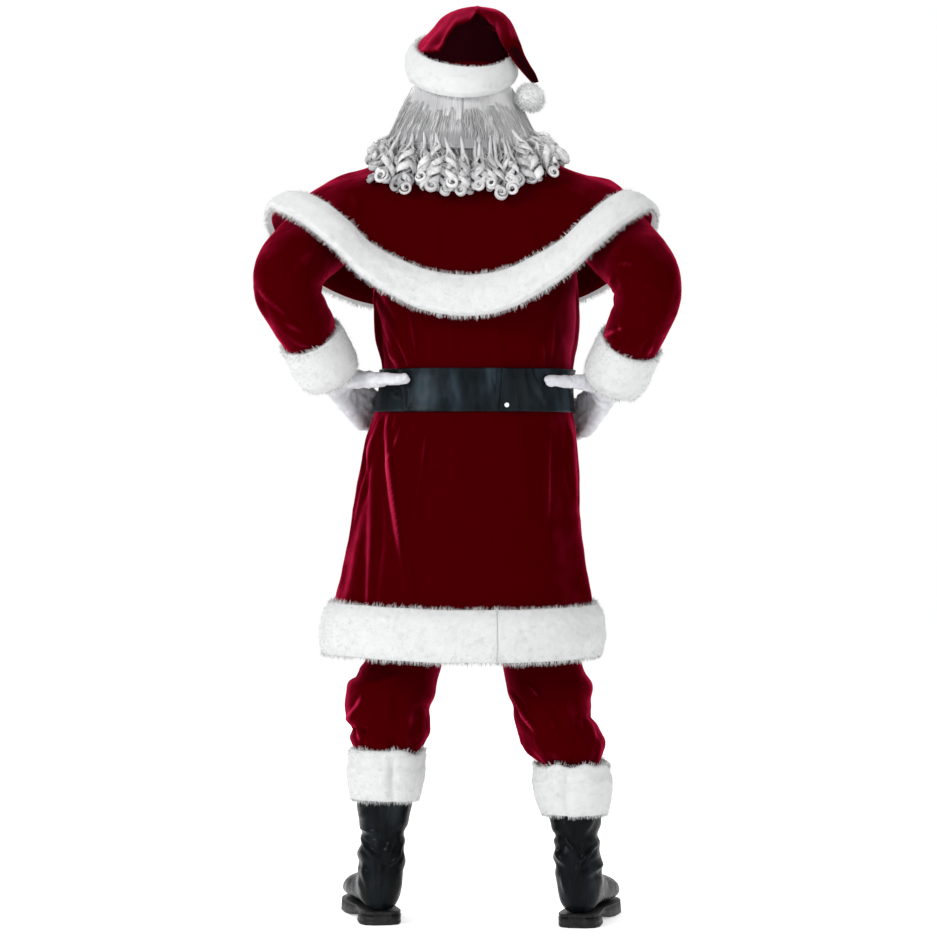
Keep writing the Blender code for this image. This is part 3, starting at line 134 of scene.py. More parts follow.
# The cape by azimuth (0 is the wearer's left, 90 the back): reach and height of three places on its way
# from the neck to its edge. Left and right differ a little, as the arms do.
CAPE = table(
    "azimuth shoulder_r shoulder_z arm_r arm_z edge_r edge_z",
    (-90, 0.122, -0.035, 0.168, -0.150, 0.184, -0.300),
    (-68, 0.130, -0.030, 0.178, -0.145, 0.198, -0.300),
    (-45, 0.150, -0.018, 0.218, -0.120, 0.245, -0.285),
    (-22, 0.168, -0.010, 0.262, -0.080, 0.325, -0.232),
    (0, 0.172, -0.008, 0.275, -0.060, 0.372, -0.150),
    (14, 0.170, -0.008, 0.272, -0.058, 0.385, -0.130),
    (28, 0.164, -0.012, 0.252, -0.070, 0.332, -0.160),
    (42, 0.152, -0.018, 0.222, -0.105, 0.268, -0.245),
    (58, 0.136, -0.026, 0.188, -0.135, 0.208, -0.298),
    (75, 0.124, -0.034, 0.168, -0.150, 0.182, -0.314),
    (90, 0.120, -0.036, 0.162, -0.155, 0.175, -0.318),
    (105, 0.124, -0.034, 0.168, -0.150, 0.182, -0.314),
    (122, 0.136, -0.026, 0.188, -0.135, 0.210, -0.294),
    (138, 0.152, -0.018, 0.222, -0.102, 0.268, -0.235),
    (152, 0.164, -0.010, 0.252, -0.062, 0.328, -0.150),
    (166, 0.170, -0.006, 0.270, -0.048, 0.366, -0.122),
    (180, 0.172, -0.006, 0.272, -0.052, 0.360, -0.145),
    (202, 0.168, -0.010, 0.260, -0.080, 0.318, -0.228),
    (225, 0.150, -0.018, 0.218, -0.120, 0.245, -0.285),
    (248, 0.130, -0.030, 0.178, -0.145, 0.198, -0.300),
    (270, 0.122, -0.035, 0.168, -0.150, 0.184, -0.300),
)
CAPE_NECK_HALF, CAPE_NECK_DEPTH, CAPE_NECK_HEIGHT = 0.094, 0.078, 0.022
CAPE_ROWS = (1.02, 1.0, 0.90, 0.80, 0.64, 0.48, 0.34, 0.20, 0.09, 0.0)  # share of the way from neck to edge
# The azimuths of its columns, closer together where it lies over the arms.
CAPE_COLUMNS = np.interp(range(RING + 1), (0, 7, 13, 19, 25, 32), (-89.7, 0, 50, 130, 180, 269.7))
CAPE_FUR_ROWS = 4  # how many of those rows the fur band covers, from the edge
CAPE_CLEAR, CAPE_REACH = 0.0050, 0.13  # off the coat and sleeves, and how far it gives way to them

# The hat: each ring's right and left end, seen from the front, its half depth, and how far back its middle
# lies. Past the top the rings narrow to the tail, which hangs over the crown's right and back.
HAT = table(
    "right_x right_z left_x left_z half_depth middle_y",
    (-0.0855, 0.170, 0.1025, 0.176, 0.1010, 0.000),
    (-0.0865, 0.193, 0.1020, 0.199, 0.1015, 0.000),
    (-0.0870, 0.214, 0.0950, 0.222, 0.1005, 0.000),
    (-0.0810, 0.234, 0.0780, 0.244, 0.0940, 0.000),
    (-0.0680, 0.249, 0.0570, 0.268, 0.0830, 0.000),
    (-0.0570, 0.256, 0.0290, 0.290, 0.0690, 0.002),
    (-0.0540, 0.260, -0.0160, 0.300, 0.0530, 0.008),
    (-0.0590, 0.257, -0.0600, 0.291, 0.0380, 0.020),
    (-0.0650, 0.244, -0.0850, 0.270, 0.0270, 0.034),
    (-0.0730, 0.226, -0.0985, 0.242, 0.0200, 0.044),
    (-0.0835, 0.208, -0.1070, 0.220, 0.0165, 0.050),
    (-0.0950, 0.190, -0.1155, 0.198, 0.0140, 0.052),
    (-0.1080, 0.173, -0.1250, 0.181, 0.0115, 0.051),
    (-0.1225, 0.157, -0.1365, 0.164, 0.0090, 0.049),
    (-0.1330, 0.1465, -0.1430, 0.150, 0.0055, 0.046),
)
HAT_CLOTH = 0.0020
HAT_BAND_OVERHANG = 0.22  # how far its fur hangs below the brim, in steps of two rings
HAT_TILT = math.radians(28)  # the band sits lower at the nape than at the brow
HAT_LEVEL = 0.262  # above this the rings stop tilting
POMPOM_CENTRE, POMPOM_RADIUS = (-0.1275, 0.046, 0.1170), 0.029

# The wig's hair, from the crown of its cap down to the shoulders. Gap is half the opening at the face, in
# degrees, and tilt is how much of the hat's tilt the row has.
WIG = table(
    "height half_width back front gap tilt",
    (0.246, 0.030, 0.034, 0.034, 2, 1.0),
    (0.236, 0.056, 0.062, 0.060, 2, 1.0),
    (0.208, 0.080, 0.086, 0.084, 2, 1.0),
    (0.172, 0.0885, 0.0962, 0.0950, 8, 1.0),
    (0.142, 0.0925, 0.0985, 0.0960, 18, 0.85),
    (0.116, 0.1070, 0.1050, 0.0965, 28, 0.65),
    (0.090, 0.1200, 0.1130, 0.0980, 36, 0.45),
    (0.068, 0.1310, 0.1210, 0.1000, 42, 0.30),
    (0.050, 0.1410, 0.1290, 0.1010, 46, 0.20),
    (0.012, 0.1560, 0.1430, 0.1030, 50, 0.10),
)
WIG_CENTRE, WIG_CLOTH = 0.0085, 0.0030

# Each leg, from the ankle up: the outline of the cloth, and where its middle lies.
LEGS = {
    +1: table(
        "height centre_x centre_y half_width half_depth",
        (-1.275, 0.1615, 0.006, 0.0430, 0.0450),
        (-1.218, 0.1590, 0.006, 0.0475, 0.0490),
        (-1.203, 0.1580, 0.006, 0.0530, 0.0550),
        (-1.188, 0.1570, 0.006, 0.0600, 0.0620),
        (-1.170, 0.1555, 0.006, 0.0690, 0.0710),
        (-1.145, 0.1540, 0.006, 0.0755, 0.0785),
        (-1.112, 0.1550, 0.006, 0.0820, 0.0840),
        (-1.060, 0.1490, 0.004, 0.0860, 0.0880),
        (-1.004, 0.1240, 0.000, 0.0750, 0.0850),
        (-0.900, 0.1120, 0.000, 0.0800, 0.0930),
        (-0.800, 0.0940, 0.000, 0.0870, 0.1020),
        (-0.740, 0.0780, 0.000, 0.0870, 0.1080),
    ),
    -1: table(
        "height centre_x centre_y half_width half_depth",
        (-1.290, -0.2130, 0.044, 0.0425, 0.0450),
        (-1.216, -0.2095, 0.044, 0.0485, 0.0500),
        (-1.203, -0.2070, 0.044, 0.0570, 0.0590),
        (-1.190, -0.2010, 0.042, 0.0690, 0.0700),
        (-1.160, -0.1900, 0.038, 0.0800, 0.0810),
        (-1.100, -0.1710, 0.028, 0.0760, 0.0860),
        (-1.060, -0.1660, 0.020, 0.0820, 0.0860),
        (-1.010, -0.1530, 0.010, 0.0780, 0.0850),
        (-0.900, -0.1370, 0.004, 0.0810, 0.0930),
        (-0.800, -0.1180, 0.000, 0.0860, 0.1020),
        (-0.740, -0.1040, 0.000, 0.0870, 0.1080),
    ),
}
CROTCH_X, CROTCH_HEIGHT, WAIST_HEIGHT = -0.013, -0.740, -0.425
CROTCH_GAP = 0.005  # half the space between the two legs where they meet
PELVIS_HALF, PELVIS_BACK, PELVIS_FRONT = {+1: 0.1730, -1: 0.1910}, 0.1339, 0.1379

# A boot's leather from the top of its shaft to the toe, in its own frame: the heel faces +Y, the toe -Y,
# the ankle is over the origin. A ring tilts from level (0) in the shaft to upright (90) in the foot;
# down is its reach to the back and sole, up its reach to the shin and instep.
BOOT = table(
    "centre_y height tilt half_width down up",
    (0.000, 0.308, 0, 0.0540, 0.0570, 0.0560),
    (0.000, 0.276, 0, 0.0540, 0.0570, 0.0560),
    (0.000, 0.246, 0, 0.0540, 0.0560, 0.0550),
    (0.000, 0.205, 0, 0.0480, 0.0510, 0.0540),
    (0.000, 0.170, 0, 0.0395, 0.0440, 0.0520),
    (0.000, 0.144, 0, 0.0440, 0.0500, 0.0580),
    (0.000, 0.118, 0, 0.0430, 0.0490, 0.0570),
    (-0.004, 0.098, 20, 0.0425, 0.0540, 0.0600),
    (-0.014, 0.076, 46, 0.0415, 0.0680, 0.0620),
    (-0.046, 0.062, 74, 0.0410, 0.0310, 0.0560),
    (-0.086, 0.054, 90, 0.0440, 0.0230, 0.0460),
    (-0.130, 0.050, 90, 0.0490, 0.0200, 0.0360),
    (-0.172, 0.048, 90, 0.0500, 0.0190, 0.0290),
    (-0.204, 0.046, 90, 0.0450, 0.0180, 0.0240),
    (-0.227, 0.044, 90, 0.0330, 0.0150, 0.0180),
    (-0.238, 0.042, 90, 0.0170, 0.0110, 0.0110),
)
SOLE = table(
    "along half_width bottom",
    (0.058, 0.018, 0.0185),
    (0.048, 0.034, 0.0185),
    (0.020, 0.041, 0.0185),
    (-0.028, 0.039, 0.0185),
    (-0.060, 0.038, 0.0140),
    (-0.095, 0.044, 0.0020),
    (-0.138, 0.051, 0.0000),
    (-0.176, 0.053, 0.0000),
    (-0.208, 0.047, 0.0020),
    (-0.233, 0.034, 0.0060),
    (-0.245, 0.015, 0.0100),
)
HEEL = table(
    "along half_width",
    (0.060, 0.018),
    (0.050, 0.035),
    (0.024, 0.042),
    (-0.018, 0.040),
)
HEEL_HEIGHT, SOLE_TOP, INSOLE = 0.0182, 0.0262, 0.0292
FEET = {
    +1: {"ankle": (0.168, 0.004), "toe_out": 9, "lean": -0.055},
    -1: {"ankle": (-0.221, 0.044), "toe_out": 11, "lean": 0.065},
}
SHAFT_ROWS, SHAFT_TOP = 7, 0.308
LEAN_HEIGHT = 0.14  # a boot leans about this height
# The fur tops: their rows above the floor on each boot, and how much wider than the shaft each lies.
TOPPER_ROWS = {+1: (0.246, 0.272, 0.308, 0.344), -1: (0.222, 0.250, 0.290, 0.322)}
TOPPER_FLARE = (1.065, 1.065, 1.070, 1.30)  # its rim rounds in a little from the solid's 1.36

# Hands on the hips: each finger lies round the hip at its own height, and the thumb along the belt.
HANDS = {
    +1: {
        "wrist": (0.252, 0.040, -0.456),
        "knuckle_angle": -8,
        "knuckle_height": -0.500,
        "thumb_angles": (24, 38, 50),
        "thumb_height": -0.446,
    },
    -1: {
        "wrist": (-0.276, 0.044, -0.470),
        "knuckle_angle": 187,
        "knuckle_height": -0.515,
        "thumb_angles": (154, 142, 131),
        "thumb_height": -0.449,
    },
}
FINGER_SPACING, FINGER_RADIUS, FINGER_SWEEP = 0.0205, 0.0108, 26
FINGER_LENGTHS = (0.90, 1.0, 0.94, 0.76)


# ---------------------------------------------------------------- numbers and curves


def smooth_curve(at, knots, values):
    """The values at some places, on a smooth curve through the knots that never overshoots them."""
    at, knots, values = np.asarray(at, float), np.asarray(knots, float), np.asarray(values, float)
    steps = np.diff(knots)
    slopes = np.diff(values) / steps
    tangents = np.zeros(len(knots))
    tangents[0], tangents[-1] = slopes[0], slopes[-1]
    before, after = slopes[:-1], slopes[1:]
    same_way = before * after > 0
    tangents[1:-1][same_way] = 2 * before[same_way] * after[same_way] / (before + after)[same_way]
    i = np.clip(np.searchsorted(knots, at, side="right") - 1, 0, len(steps) - 1)
    t = (at - knots[i]) / steps[i]
    return (
        values[i] * (1 + 2 * t) * (1 - t) ** 2
        + values[i + 1] * t**2 * (3 - 2 * t)
        + steps[i] * (tangents[i] * t * (1 - t) ** 2 - tangents[i + 1] * t**2 * (1 - t))
    )


def look_up(rows, by, at):
    """Each other column of a table at these places along one of its columns, which rises or falls."""
    if rows[by][0] > rows[by][-1]:
        rows = {name: values[::-1] for name, values in rows.items()}
    return {name: smooth_curve(at, rows[by], rows[name]) for name in rows if name != by}


def power(value, exponent):
    """A power that keeps the value's sign."""
    return np.sign(value) * np.abs(value) ** exponent


def spun(turn, side, other):
    """Unit vectors round an axis, from one side of it (0) towards the other (a quarter turn)."""
    return np.cos(turn)[:, None] * side + np.sin(turn)[:, None] * other


def soft_step(t):
    t = np.clip(t, 0, 1)
    return t * t * (3 - 2 * t)


def bell(away, reach):
    """1 in the middle, falling off softly over a reach to either side."""
    return np.exp(-((away / reach) ** 2))


def unit(vectors):
    vectors = np.asarray(vectors, float)
    return vectors / np.linalg.norm(vectors, axis=-1, keepdims=True)


def slope_along(grid, axis, closed):
    """Central differences of a grid of points along its rows (0) or columns (1)."""
    if not closed:
        return np.gradient(grid, axis=axis)
    return np.roll(grid, -1, axis) - np.roll(grid, 1, axis)


def outward(grid, closed=False):
    """Unit normals of a grid whose rows go up and whose columns go round counter-clockwise."""
    return unit(np.cross(slope_along(grid, 1, closed), slope_along(grid, 0, False)))


def outer_face(grid, thickness, closed=False):
    """The outside of a wall whose inside is the grid."""
    return grid + outward(grid, closed) * thickness


def parted(grid):
    """A panel's grid with its first and last columns drawn in by half a seam's gap."""
    grid = grid.copy()
    for edge, inner in ((0, 1), (-1, -2)):
        grid[:, edge] += unit(grid[:, inner] - grid[:, edge]) * SEAM / 2
    return grid


def rounded_line(corners, cuts):
    """Points along a line with each inner corner rounded off from a distance before it to one after."""
    corners = np.array(corners, float)
    points = [corners[0]]
    for k, cut in zip(range(1, len(corners) - 1), cuts):
        start = corners[k] + unit(corners[k - 1] - corners[k]) * cut
        end = corners[k] + unit(corners[k + 1] - corners[k]) * cut
        t = np.linspace(0, 1, 14)[:, None]
        points.extend(start * (1 - t) ** 2 + corners[k] * 2 * t * (1 - t) + end * t**2)
    return np.array(points + [corners[-1]])


def at_shares(line, shares):
    """Points and unit tangents at shares of a line's length."""
    along = np.concatenate([[0], np.cumsum(np.linalg.norm(np.diff(line, axis=0), axis=1))])
    along /= along[-1]
    step = 0.02

    def place(share):
        return np.stack([np.interp(share, along, line[:, k]) for k in range(3)], axis=-1)

    shares = np.asarray(shares, float)
    ahead, behind = np.minimum(shares + step, 1), np.maximum(shares - step, 0)
    return place(shares), unit(place(ahead) - place(behind))


def finer_along(grid, axis, count):
    """The grid with this many points along an axis, on smooth curves through the ones it has, which
    never overshoot them."""
    points = np.moveaxis(np.asarray(grid, float), axis, 0)
    at = np.linspace(0, len(points) - 1, count)
    steps = np.diff(points, axis=0)
    tangents = np.empty_like(points)
    tangents[0], tangents[-1] = steps[0], steps[-1]
    before, after = steps[:-1], steps[1:]
    total = np.where(before * after > 0, before + after, 1)
    tangents[1:-1] = np.where(before * after > 0, 2 * before * after / total, 0)
    i = np.clip(at.astype(int), 0, len(points) - 2)
    t = (at - i).reshape(-1, *[1] * (points.ndim - 1))
    fine = (
        points[i] * (1 + 2 * t) * (1 - t) ** 2
        + points[i + 1] * t**2 * (3 - 2 * t)
        + tangents[i] * t * (1 - t) ** 2
        - tangents[i + 1] * t**2 * (1 - t)
    )
    return np.moveaxis(fine, 0, axis)


def finer(grid, rows, columns):
    return finer_along(finer_along(grid, 1, columns), 0, rows)


def noise(points, size, seed=0):
    """Smooth noise from about -1 to 1, with features of this size in metres."""
    scaled = np.asarray(points, float) / size
    cell = np.floor(scaled).astype(np.int64)
    t = scaled - cell
    t = t * t * (3 - 2 * t)
    total = np.zeros(scaled.shape[:-1])
    for corner in np.ndindex(2, 2, 2):
        key = ((cell + corner) * (73856093, 19349663, 83492791)).sum(axis=-1) + seed * 7919
        key = (key ^ (key >> 13)) * 1274126177 & 0x7FFFFFFF
        value = (key ^ (key >> 16)) % 65536 / 32768.0 - 1
        total += value * np.prod(np.where(corner, t, 1 - t), axis=-1)
    return total


def creases(*rows):
    """Marks on cloth. Each runs from (u0, v0) to (u1, v1) and has a depth, which is below nought for a
    furrow, a width, and how far it bows sideways, which a straight one leaves out."""
    return table("u0 v0 u1 v1 depth width bow", *((*row, 0)[:7] for row in rows))


DROOP = 0.020  # how much lower than its solids the suit hangs at the points of the shoulders
DROOP_MIDDLE, DROOP_FROM, DROOP_WIDE = -0.004, 0.10, 0.15  # it starts this far aside and grows over a width
DROOP_LOWEST, DROOP_HIGH = -0.37, 0.24  # and it starts at this height and grows over another


def drooped(points):
    """The places a little lower towards the points of the shoulders, and no lower at the neck and belt."""
    points = np.array(points, float)
    aside = soft_step((np.abs(points[:, 0] - DROOP_MIDDLE) - DROOP_FROM) / DROOP_WIDE)
    points[:, 2] -= DROOP * aside * soft_step((points[:, 2] - DROOP_LOWEST) / DROOP_HIGH)
    return points


def mesh_of(name, points, quads, triangles=()):
    """A mesh from arrays of points and of corner numbers."""
    points = drooped(points)
    quads = np.asarray(quads, np.int32).reshape(-1, 4)
    triangles = np.asarray(triangles, np.int32).reshape(-1, 3)
    starts = np.arange(len(quads)) * 4
    starts = np.concatenate([starts, len(quads) * 4 + np.arange(len(triangles)) * 3])
    corners = np.concatenate([quads.ravel(), triangles.ravel()])
    mesh = bpy.data.meshes.new(name)
    mesh.vertices.add(len(points))
    mesh.vertices.foreach_set("co", np.asarray(points, np.float32).ravel())
    mesh.loops.add(len(corners))
    mesh.loops.foreach_set("vertex_index", corners.astype(np.int32))
    mesh.polygons.add(len(starts))
    mesh.polygons.foreach_set("loop_start", starts.astype(np.int32))
    mesh.update(calc_edges=True)
    mesh.validate()
    return mesh


def add_piece(name, mesh, material, stands_for=(), smooth=True):
    """A piece of the suit: it rides on the one body, gets its finish, and hides the solids it stands for."""
    mesh.materials.append(material)
    if smooth:
        mesh.shade_smooth()
    piece = bpy.data.objects.new(name, mesh)
    bpy.context.scene.collection.objects.link(piece)
    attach(piece, "root")
    if stands_for:
        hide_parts(*stands_for)
    return piece


def quads_of(rows, columns, wrap_rows=False, wrap_columns=False):
    """Quads between the points of a grid, which are numbered row by row."""
    r = np.arange(rows if wrap_rows else rows - 1)[:, None]
    c = np.arange(columns if wrap_columns else columns - 1)[None]
    up, on = (r + 1) % rows, (c + 1) % columns
    corners = [r * columns + c, r * columns + on, up * columns + on, up * columns + c]
    return np.stack(corners, -1).reshape(-1, 4)


def set_values(mesh, **kept):
    """Keeps numbers for each point of the mesh, for its material to read."""
    for name, values in kept.items():
        data = mesh.attributes.new(name, "FLOAT", "POINT").data
        data.foreach_set("value", np.asarray(values, np.float32).ravel())


COARSER = 4  # a wall's inside has one point to four of its outside's
DEEPER, NARROWER, LONGER = 1.4, 0.85, 1.35  # how much more than its table every crease is drawn
DIP, DIP_PLACE = 0.35, 1.8  # the dip beside a ridge: its share of the height, and its place in widths
TURNED_AWAY = 0.35  # how far a place may turn from facing before a crease fades there


def relief(grid, marks, facing, closed=False):
    """How far soft ridges lift a grid along its normals, or sink it where the depth is negative. Each
    mark runs from one place to another as seen along facing: u is the level axis there and v the
    height. Beside its ridge the cloth dips a little, and bow bends the ridge sideways."""
    normals = outward(grid, closed)
    facing = np.array(facing, float)
    u, v = grid @ np.abs(np.cross(facing, (0, 0, 1.0))), grid[..., 2]
    toward = soft_step((normals @ facing) / TURNED_AWAY)
    total = np.zeros(u.shape)
    for u0, v0, u1, v1, depth, width, bow in zip(*marks.values()):
        du, dv = u1 - u0, v1 - v0
        length = math.hypot(du, dv)
        t = ((u - u0) * du + (v - v0) * dv) / length**2
        aside = ((u - u0) * dv - (v - v0) * du) / length - bow * 4 * t * (1 - t)
        run = np.clip((t - 0.5) / LONGER + 0.5, 0, 1)
        strength = np.sin(math.pi * run) ** 1.3
        aside = aside / (NARROWER * width * (0.55 + 0.45 * strength))
        ridge = np.exp(-(aside**2)) - DIP * np.exp(-((np.abs(aside) - DIP_PLACE) ** 2))
        total += DEEPER * depth * strength * ridge
    return total * toward


def uneven(grid, *layers, seed=0):
    """Slow undulations of cloth that isn't pressed: each layer has a size and a height."""
    return sum(height * noise(grid, size, seed + k) for k, (size, height) in enumerate(layers))


SHARP_FOLD = 2.4  # a fold's bend times its height, where its painted highlight, or in a furrow its painted shade, is full


def crest_of(grid, heights, closed=False):
    """How sharply each place stands up between its neighbours, from -1 in a furrow to 1 on a fold."""
    bend = np.zeros(heights.shape)
    for axis in (0, 1):
        before, after = np.roll(heights, 2, axis), np.roll(heights, -2, axis)
        apart = np.linalg.norm(np.roll(grid, -2, axis) - np.roll(grid, 2, axis), axis=-1) / 2
        share = (2 * heights - before - after) / np.maximum(apart, 1e-4) ** 2
        if axis == 0 or not closed:
            np.moveaxis(share, axis, 0)[[0, 1, -2, -1]] = 0
        bend += share
    return np.clip(bend * np.abs(heights) / SHARP_FOLD, -1, 1)


SEAM_DEPTH, SEAM_REACH = 0.0011, 0.0035


def seam_dip(grid):
    """How the seams along a panel's first and last columns draw its cloth in."""
    edges = grid[:, :1], grid[:, -1:]
    return sum(-SEAM_DEPTH * bell(np.linalg.norm(grid - edge, axis=-1), SEAM_REACH) for edge in edges)


def shell(name, base, heights, thickness, material, stands_for=(), closed=False, cap=False, nap=0):
    """A closed wall whose inside is the base and whose outside is lifted by its thickness and these
    heights. Where they sink below the base, its inside gives way."""
    normals = outward(base, closed)
    rows, columns = base.shape[:2]
    outer = base + normals * (thickness + heights)[..., None]
    sunk = np.minimum(heights, 0)
    for axis in (0, 1):
        sunk = np.minimum.reduce([np.roll(sunk, k, axis) for k in range(-COARSER, COARSER + 1)])
    inner = (base + normals * sunk[..., None])[::COARSER, ::COARSER]
    count = rows * columns
    fine = np.arange(count).reshape(rows, columns)
    coarse = count + np.arange(inner.shape[0] * inner.shape[1]).reshape(inner.shape[:2])
    quads = np.concatenate(
        [
            quads_of(rows, columns, wrap_columns=closed),
            count + quads_of(*inner.shape[:2], wrap_columns=closed)[:, ::-1],
        ]
    )
    loops = []
    for edge in (fine, coarse):
        if closed:
            ring = np.concatenate([edge, edge[:, :1]], axis=1)
            loops.append([ring[0], ring[-1, ::-1]][: 1 if cap else 2])
        else:
            around = [edge[0, :-1], edge[:-1, -1], edge[-1, :0:-1], edge[:0:-1, 0], edge[:1, 0]]
            loops.append([np.concatenate(around)])
    triangles = [rim for pair in zip(*loops) for rim in rim_faces(*pair)]
    mesh = mesh_of(name, np.concatenate([outer.reshape(-1, 3), inner.reshape(-1, 3)]), quads, triangles)
    if cap:
        close_ends(mesh, fine[-1], coarse[-1, ::-1])
    # Velvet keeps painted highlights on its folds and painted shade in its furrows, from their bend, plus the
    # painted light and tone passed as nap.
    if material is VELVET:
        values = np.zeros(len(mesh.vertices))
        values[:count] = (crest_of(base, heights, closed) + nap).ravel()
        set_values(mesh, crest=values)
    return add_piece(name, mesh, material, stands_for)


def rim_faces(fine, coarse):
    """Triangles between a fine edge and the coarse one that runs beside it."""
    faces = []
    for k, (a, b) in enumerate(zip(coarse, coarse[1:])):
        edge = fine[k * COARSER : (k + 1) * COARSER + 1]
        half = len(edge) // 2
        faces += [(a, q, p) for p, q in zip(edge[:half], edge[1 : half + 1])]
        faces.append((a, b, edge[half]))
        faces += [(b, q, p) for p, q in zip(edge[half:], edge[half + 1 :])]
    return faces


def close_ends(mesh, *rings):
    """Flat faces over rings of the mesh's points."""
    edit = bmesh.new()
    edit.from_mesh(mesh)
    edit.verts.ensure_lookup_table()
    for ring in rings:
        edit.faces.new([edit.verts[int(i)] for i in ring])
    edit.to_mesh(mesh)
    edit.free()


FOLD_DIP, FOLD_DIP_PLACE = 0.4, 1.7  # beside a fold of the coat, as beside a ridge
FOLD_START, FOLD_END = 0.12, 1.15  # shares of its length over which it rises, and where it has died out


def coat_folds(height, angles):
    """How far the folds move the coat's cloth out at a height, for angles round the body."""
    total = np.zeros_like(angles)
    for top, top_angle, bottom, bottom_angle, depth, width in zip(*FOLDS.values()):
        share = (top - height) / (top - bottom)
        if not 0 <= share <= FOLD_END:
            continue
        middle = top_angle + (bottom_angle - top_angle) * share
        away = (angles - middle + 180) % 360 - 180
        strength = soft_step(share / FOLD_START) * (1 - 0.7 * soft_step((share - 0.75) / 0.4))
        total += depth * strength * bell(away, width)
        total -= FOLD_DIP * depth * strength * bell(np.abs(away) - FOLD_DIP_PLACE * width, width)
    return total


def coat_row(height, angles, folded=True):
    """A level row of the coat's inside below the underarm, at angles in degrees."""
    size = {name: float(value) for name, value in look_up(COAT, "height", height).items()}
    across, ahead = np.cos(np.radians(angles)), np.sin(np.radians(angles))
    reach = np.where(ahead > 0, size["back"], size["front"])
    swell = coat_folds(height, angles) if folded else 0
    x = size["centre_x"] + (size["half_width"] + swell) * power(across, ROUNDNESS)
    y = (reach + swell) * power(ahead, ROUNDNESS)
    return np.stack([x, y, np.full_like(x, height)], axis=-1)


def yoke_row(step, angles, face):
    """A row of the coat's back (+1) or front (-1) between the underarm (0) and the shoulder (1)."""
    base = coat_row(UNDERARM, angles)
    centre, half = float(COAT["centre_x"][-1]), float(COAT["half_width"][-1])
    share = (base[:, 0] - centre) / half
    bend = math.pi * step / 2
    sideways = half + (SHOULDER_HALF - half) * step - ARMHOLE_CUT * math.sin(math.pi * step)
    x = centre * (1 - step) + share * sideways
    in_neck = np.sqrt(np.clip(1 - (x / NECK_HALF) ** 2, 0, 1))
    neck_y = in_neck * (NECK_BACK if face > 0 else -NECK_FRONT)
    slope = SHOULDER_DROP / (SHOULDER_HALF - NECK_HALF)
    top = -slope * np.clip(np.abs(x) - NECK_HALF, 0, 1) - (NECK_FRONT_DROP * in_neck if face < 0 else 0)
    y = base[:, 1] * math.cos(bend) + neck_y * (1 - math.cos(bend))
    y = y + face * ARMHOLE_HALF_DEPTH * math.sin(math.pi * step) * np.abs(share) ** 6
    z = UNDERARM + (top - UNDERARM) * math.sin(bend)
    return np.stack([x, y, z], axis=-1)


def armhole_point(side, turn):
    """A point of an armhole: turn 0 is under the arm, 0.25 behind, 0.5 on the shoulder, 0.75 before."""
    behind = turn <= 0.5
    step = 2 * turn if behind else 2 * (1 - turn)
    angle = 0.0 if side > 0 else 180.0
    point = yoke_row(step, np.array([angle]), 1)[0]
    point[1] = (1 if behind else -1) * ARMHOLE_HALF_DEPTH * math.sin(math.pi * step)
    return point


def cape_point(azimuth, share):
    """A point of the cape's inside: share 0 is the neck and 1 the edge."""
    size = look_up(CAPE, "azimuth", azimuth)
    a = np.radians(azimuth)
    neck = 1 / np.hypot(np.cos(a) / CAPE_NECK_HALF, np.sin(a) / CAPE_NECK_DEPTH)
    reach = np.stack([neck, size["shoulder_r"], size["arm_r"], size["edge_r"]])
    level = np.stack(
        [np.full_like(neck, CAPE_NECK_HEIGHT), size["shoulder_z"], size["arm_z"], size["edge_z"]]
    )
    steps = np.hypot(np.diff(reach, axis=0), np.diff(level, axis=0))
    along = np.concatenate([np.zeros((1, len(neck))), np.cumsum(steps, axis=0)])
    radius, height = np.empty_like(neck), np.empty_like(neck)
    for k in range(len(neck)):
        at = share * along[-1, k]
        radius[k] = smooth_curve(at, along[:, k], reach[:, k])
        height[k] = smooth_curve(at, along[:, k], level[:, k])
    return np.stack([radius * np.cos(a), radius * np.sin(a), height], axis=-1)


def surface_tree(grid, closed=False):
    """A search tree of the outside of a wall whose inside is the grid."""
    points = outer_face(grid, CLOTH, closed).reshape(-1, 3)
    return BVHTree.FromPolygons(points.tolist(), quads_of(*grid.shape[:2], wrap_columns=closed).tolist())


def with_middles(grid):
    """The grid with a point added halfway between each two along its rows and columns."""
    for axis in (0, 1):
        count = grid.shape[axis]
        ahead = np.take(grid, range(1, count), axis)
        middles = (np.take(grid, range(count - 1), axis) + ahead) / 2
        places = np.arange(1, count)
        grid = np.insert(grid, places, middles, axis)
    return grid


def lift_needed(points, directions, trees):
    """How far each point must move along its direction to lie clear over the trees' surfaces."""
    needed = np.zeros(points.shape[:2])
    for index in np.ndindex(needed.shape):
        away = Vector(directions[index]).normalized()
        start = Vector(points[index]) + away * CAPE_REACH
        for tree in trees:
            distance = tree.ray_cast(start, -away, CAPE_REACH + CAPE_CLEAR)[3]
            if distance is not None:
                needed[index] = max(needed[index], CAPE_REACH + CAPE_CLEAR - distance)
    return needed


def given_way(grid, trees):
    """The cape's points where the cloth under them lifts it: each is moved out of what it would
    cross, and its neighbours follow, so that the cape drapes over the arms."""
    directions = unit(outward(grid) * (0.35, 1, 1))
    finer = lift_needed(with_middles(grid), with_middles(directions), trees)
    framed = np.pad(finer, 1, mode="edge")
    near = [framed[r : r + finer.shape[0], c : c + finer.shape[1]] for r in range(3) for c in range(3)]
    needed = np.max(near, axis=0)[::2, ::2]
    moved = needed
    for _ in range(6):
        beside = (np.roll(moved, 1, 1) + np.roll(moved, -1, 1)) / 2
        above = np.concatenate([moved[1:], moved[-1:]])
        below = np.concatenate([moved[:1], moved[:-1]])
        moved = np.maximum(needed, moved * 0.3 + beside * 0.4 + (above + below) * 0.15)
    return grid + directions * moved[..., None]


def hair_row(height, half_width, back, front, tilt, azimuths):
    """A row of the hair's inside, tilted as the hat is or less."""
    a = np.radians(azimuths)
    x = WIG_CENTRE + half_width * np.cos(a)
    y = np.where(np.sin(a) > 0, back, front) * np.sin(a)
    return np.stack([x, y, height - math.tan(HAT_TILT) * tilt * y], axis=-1)


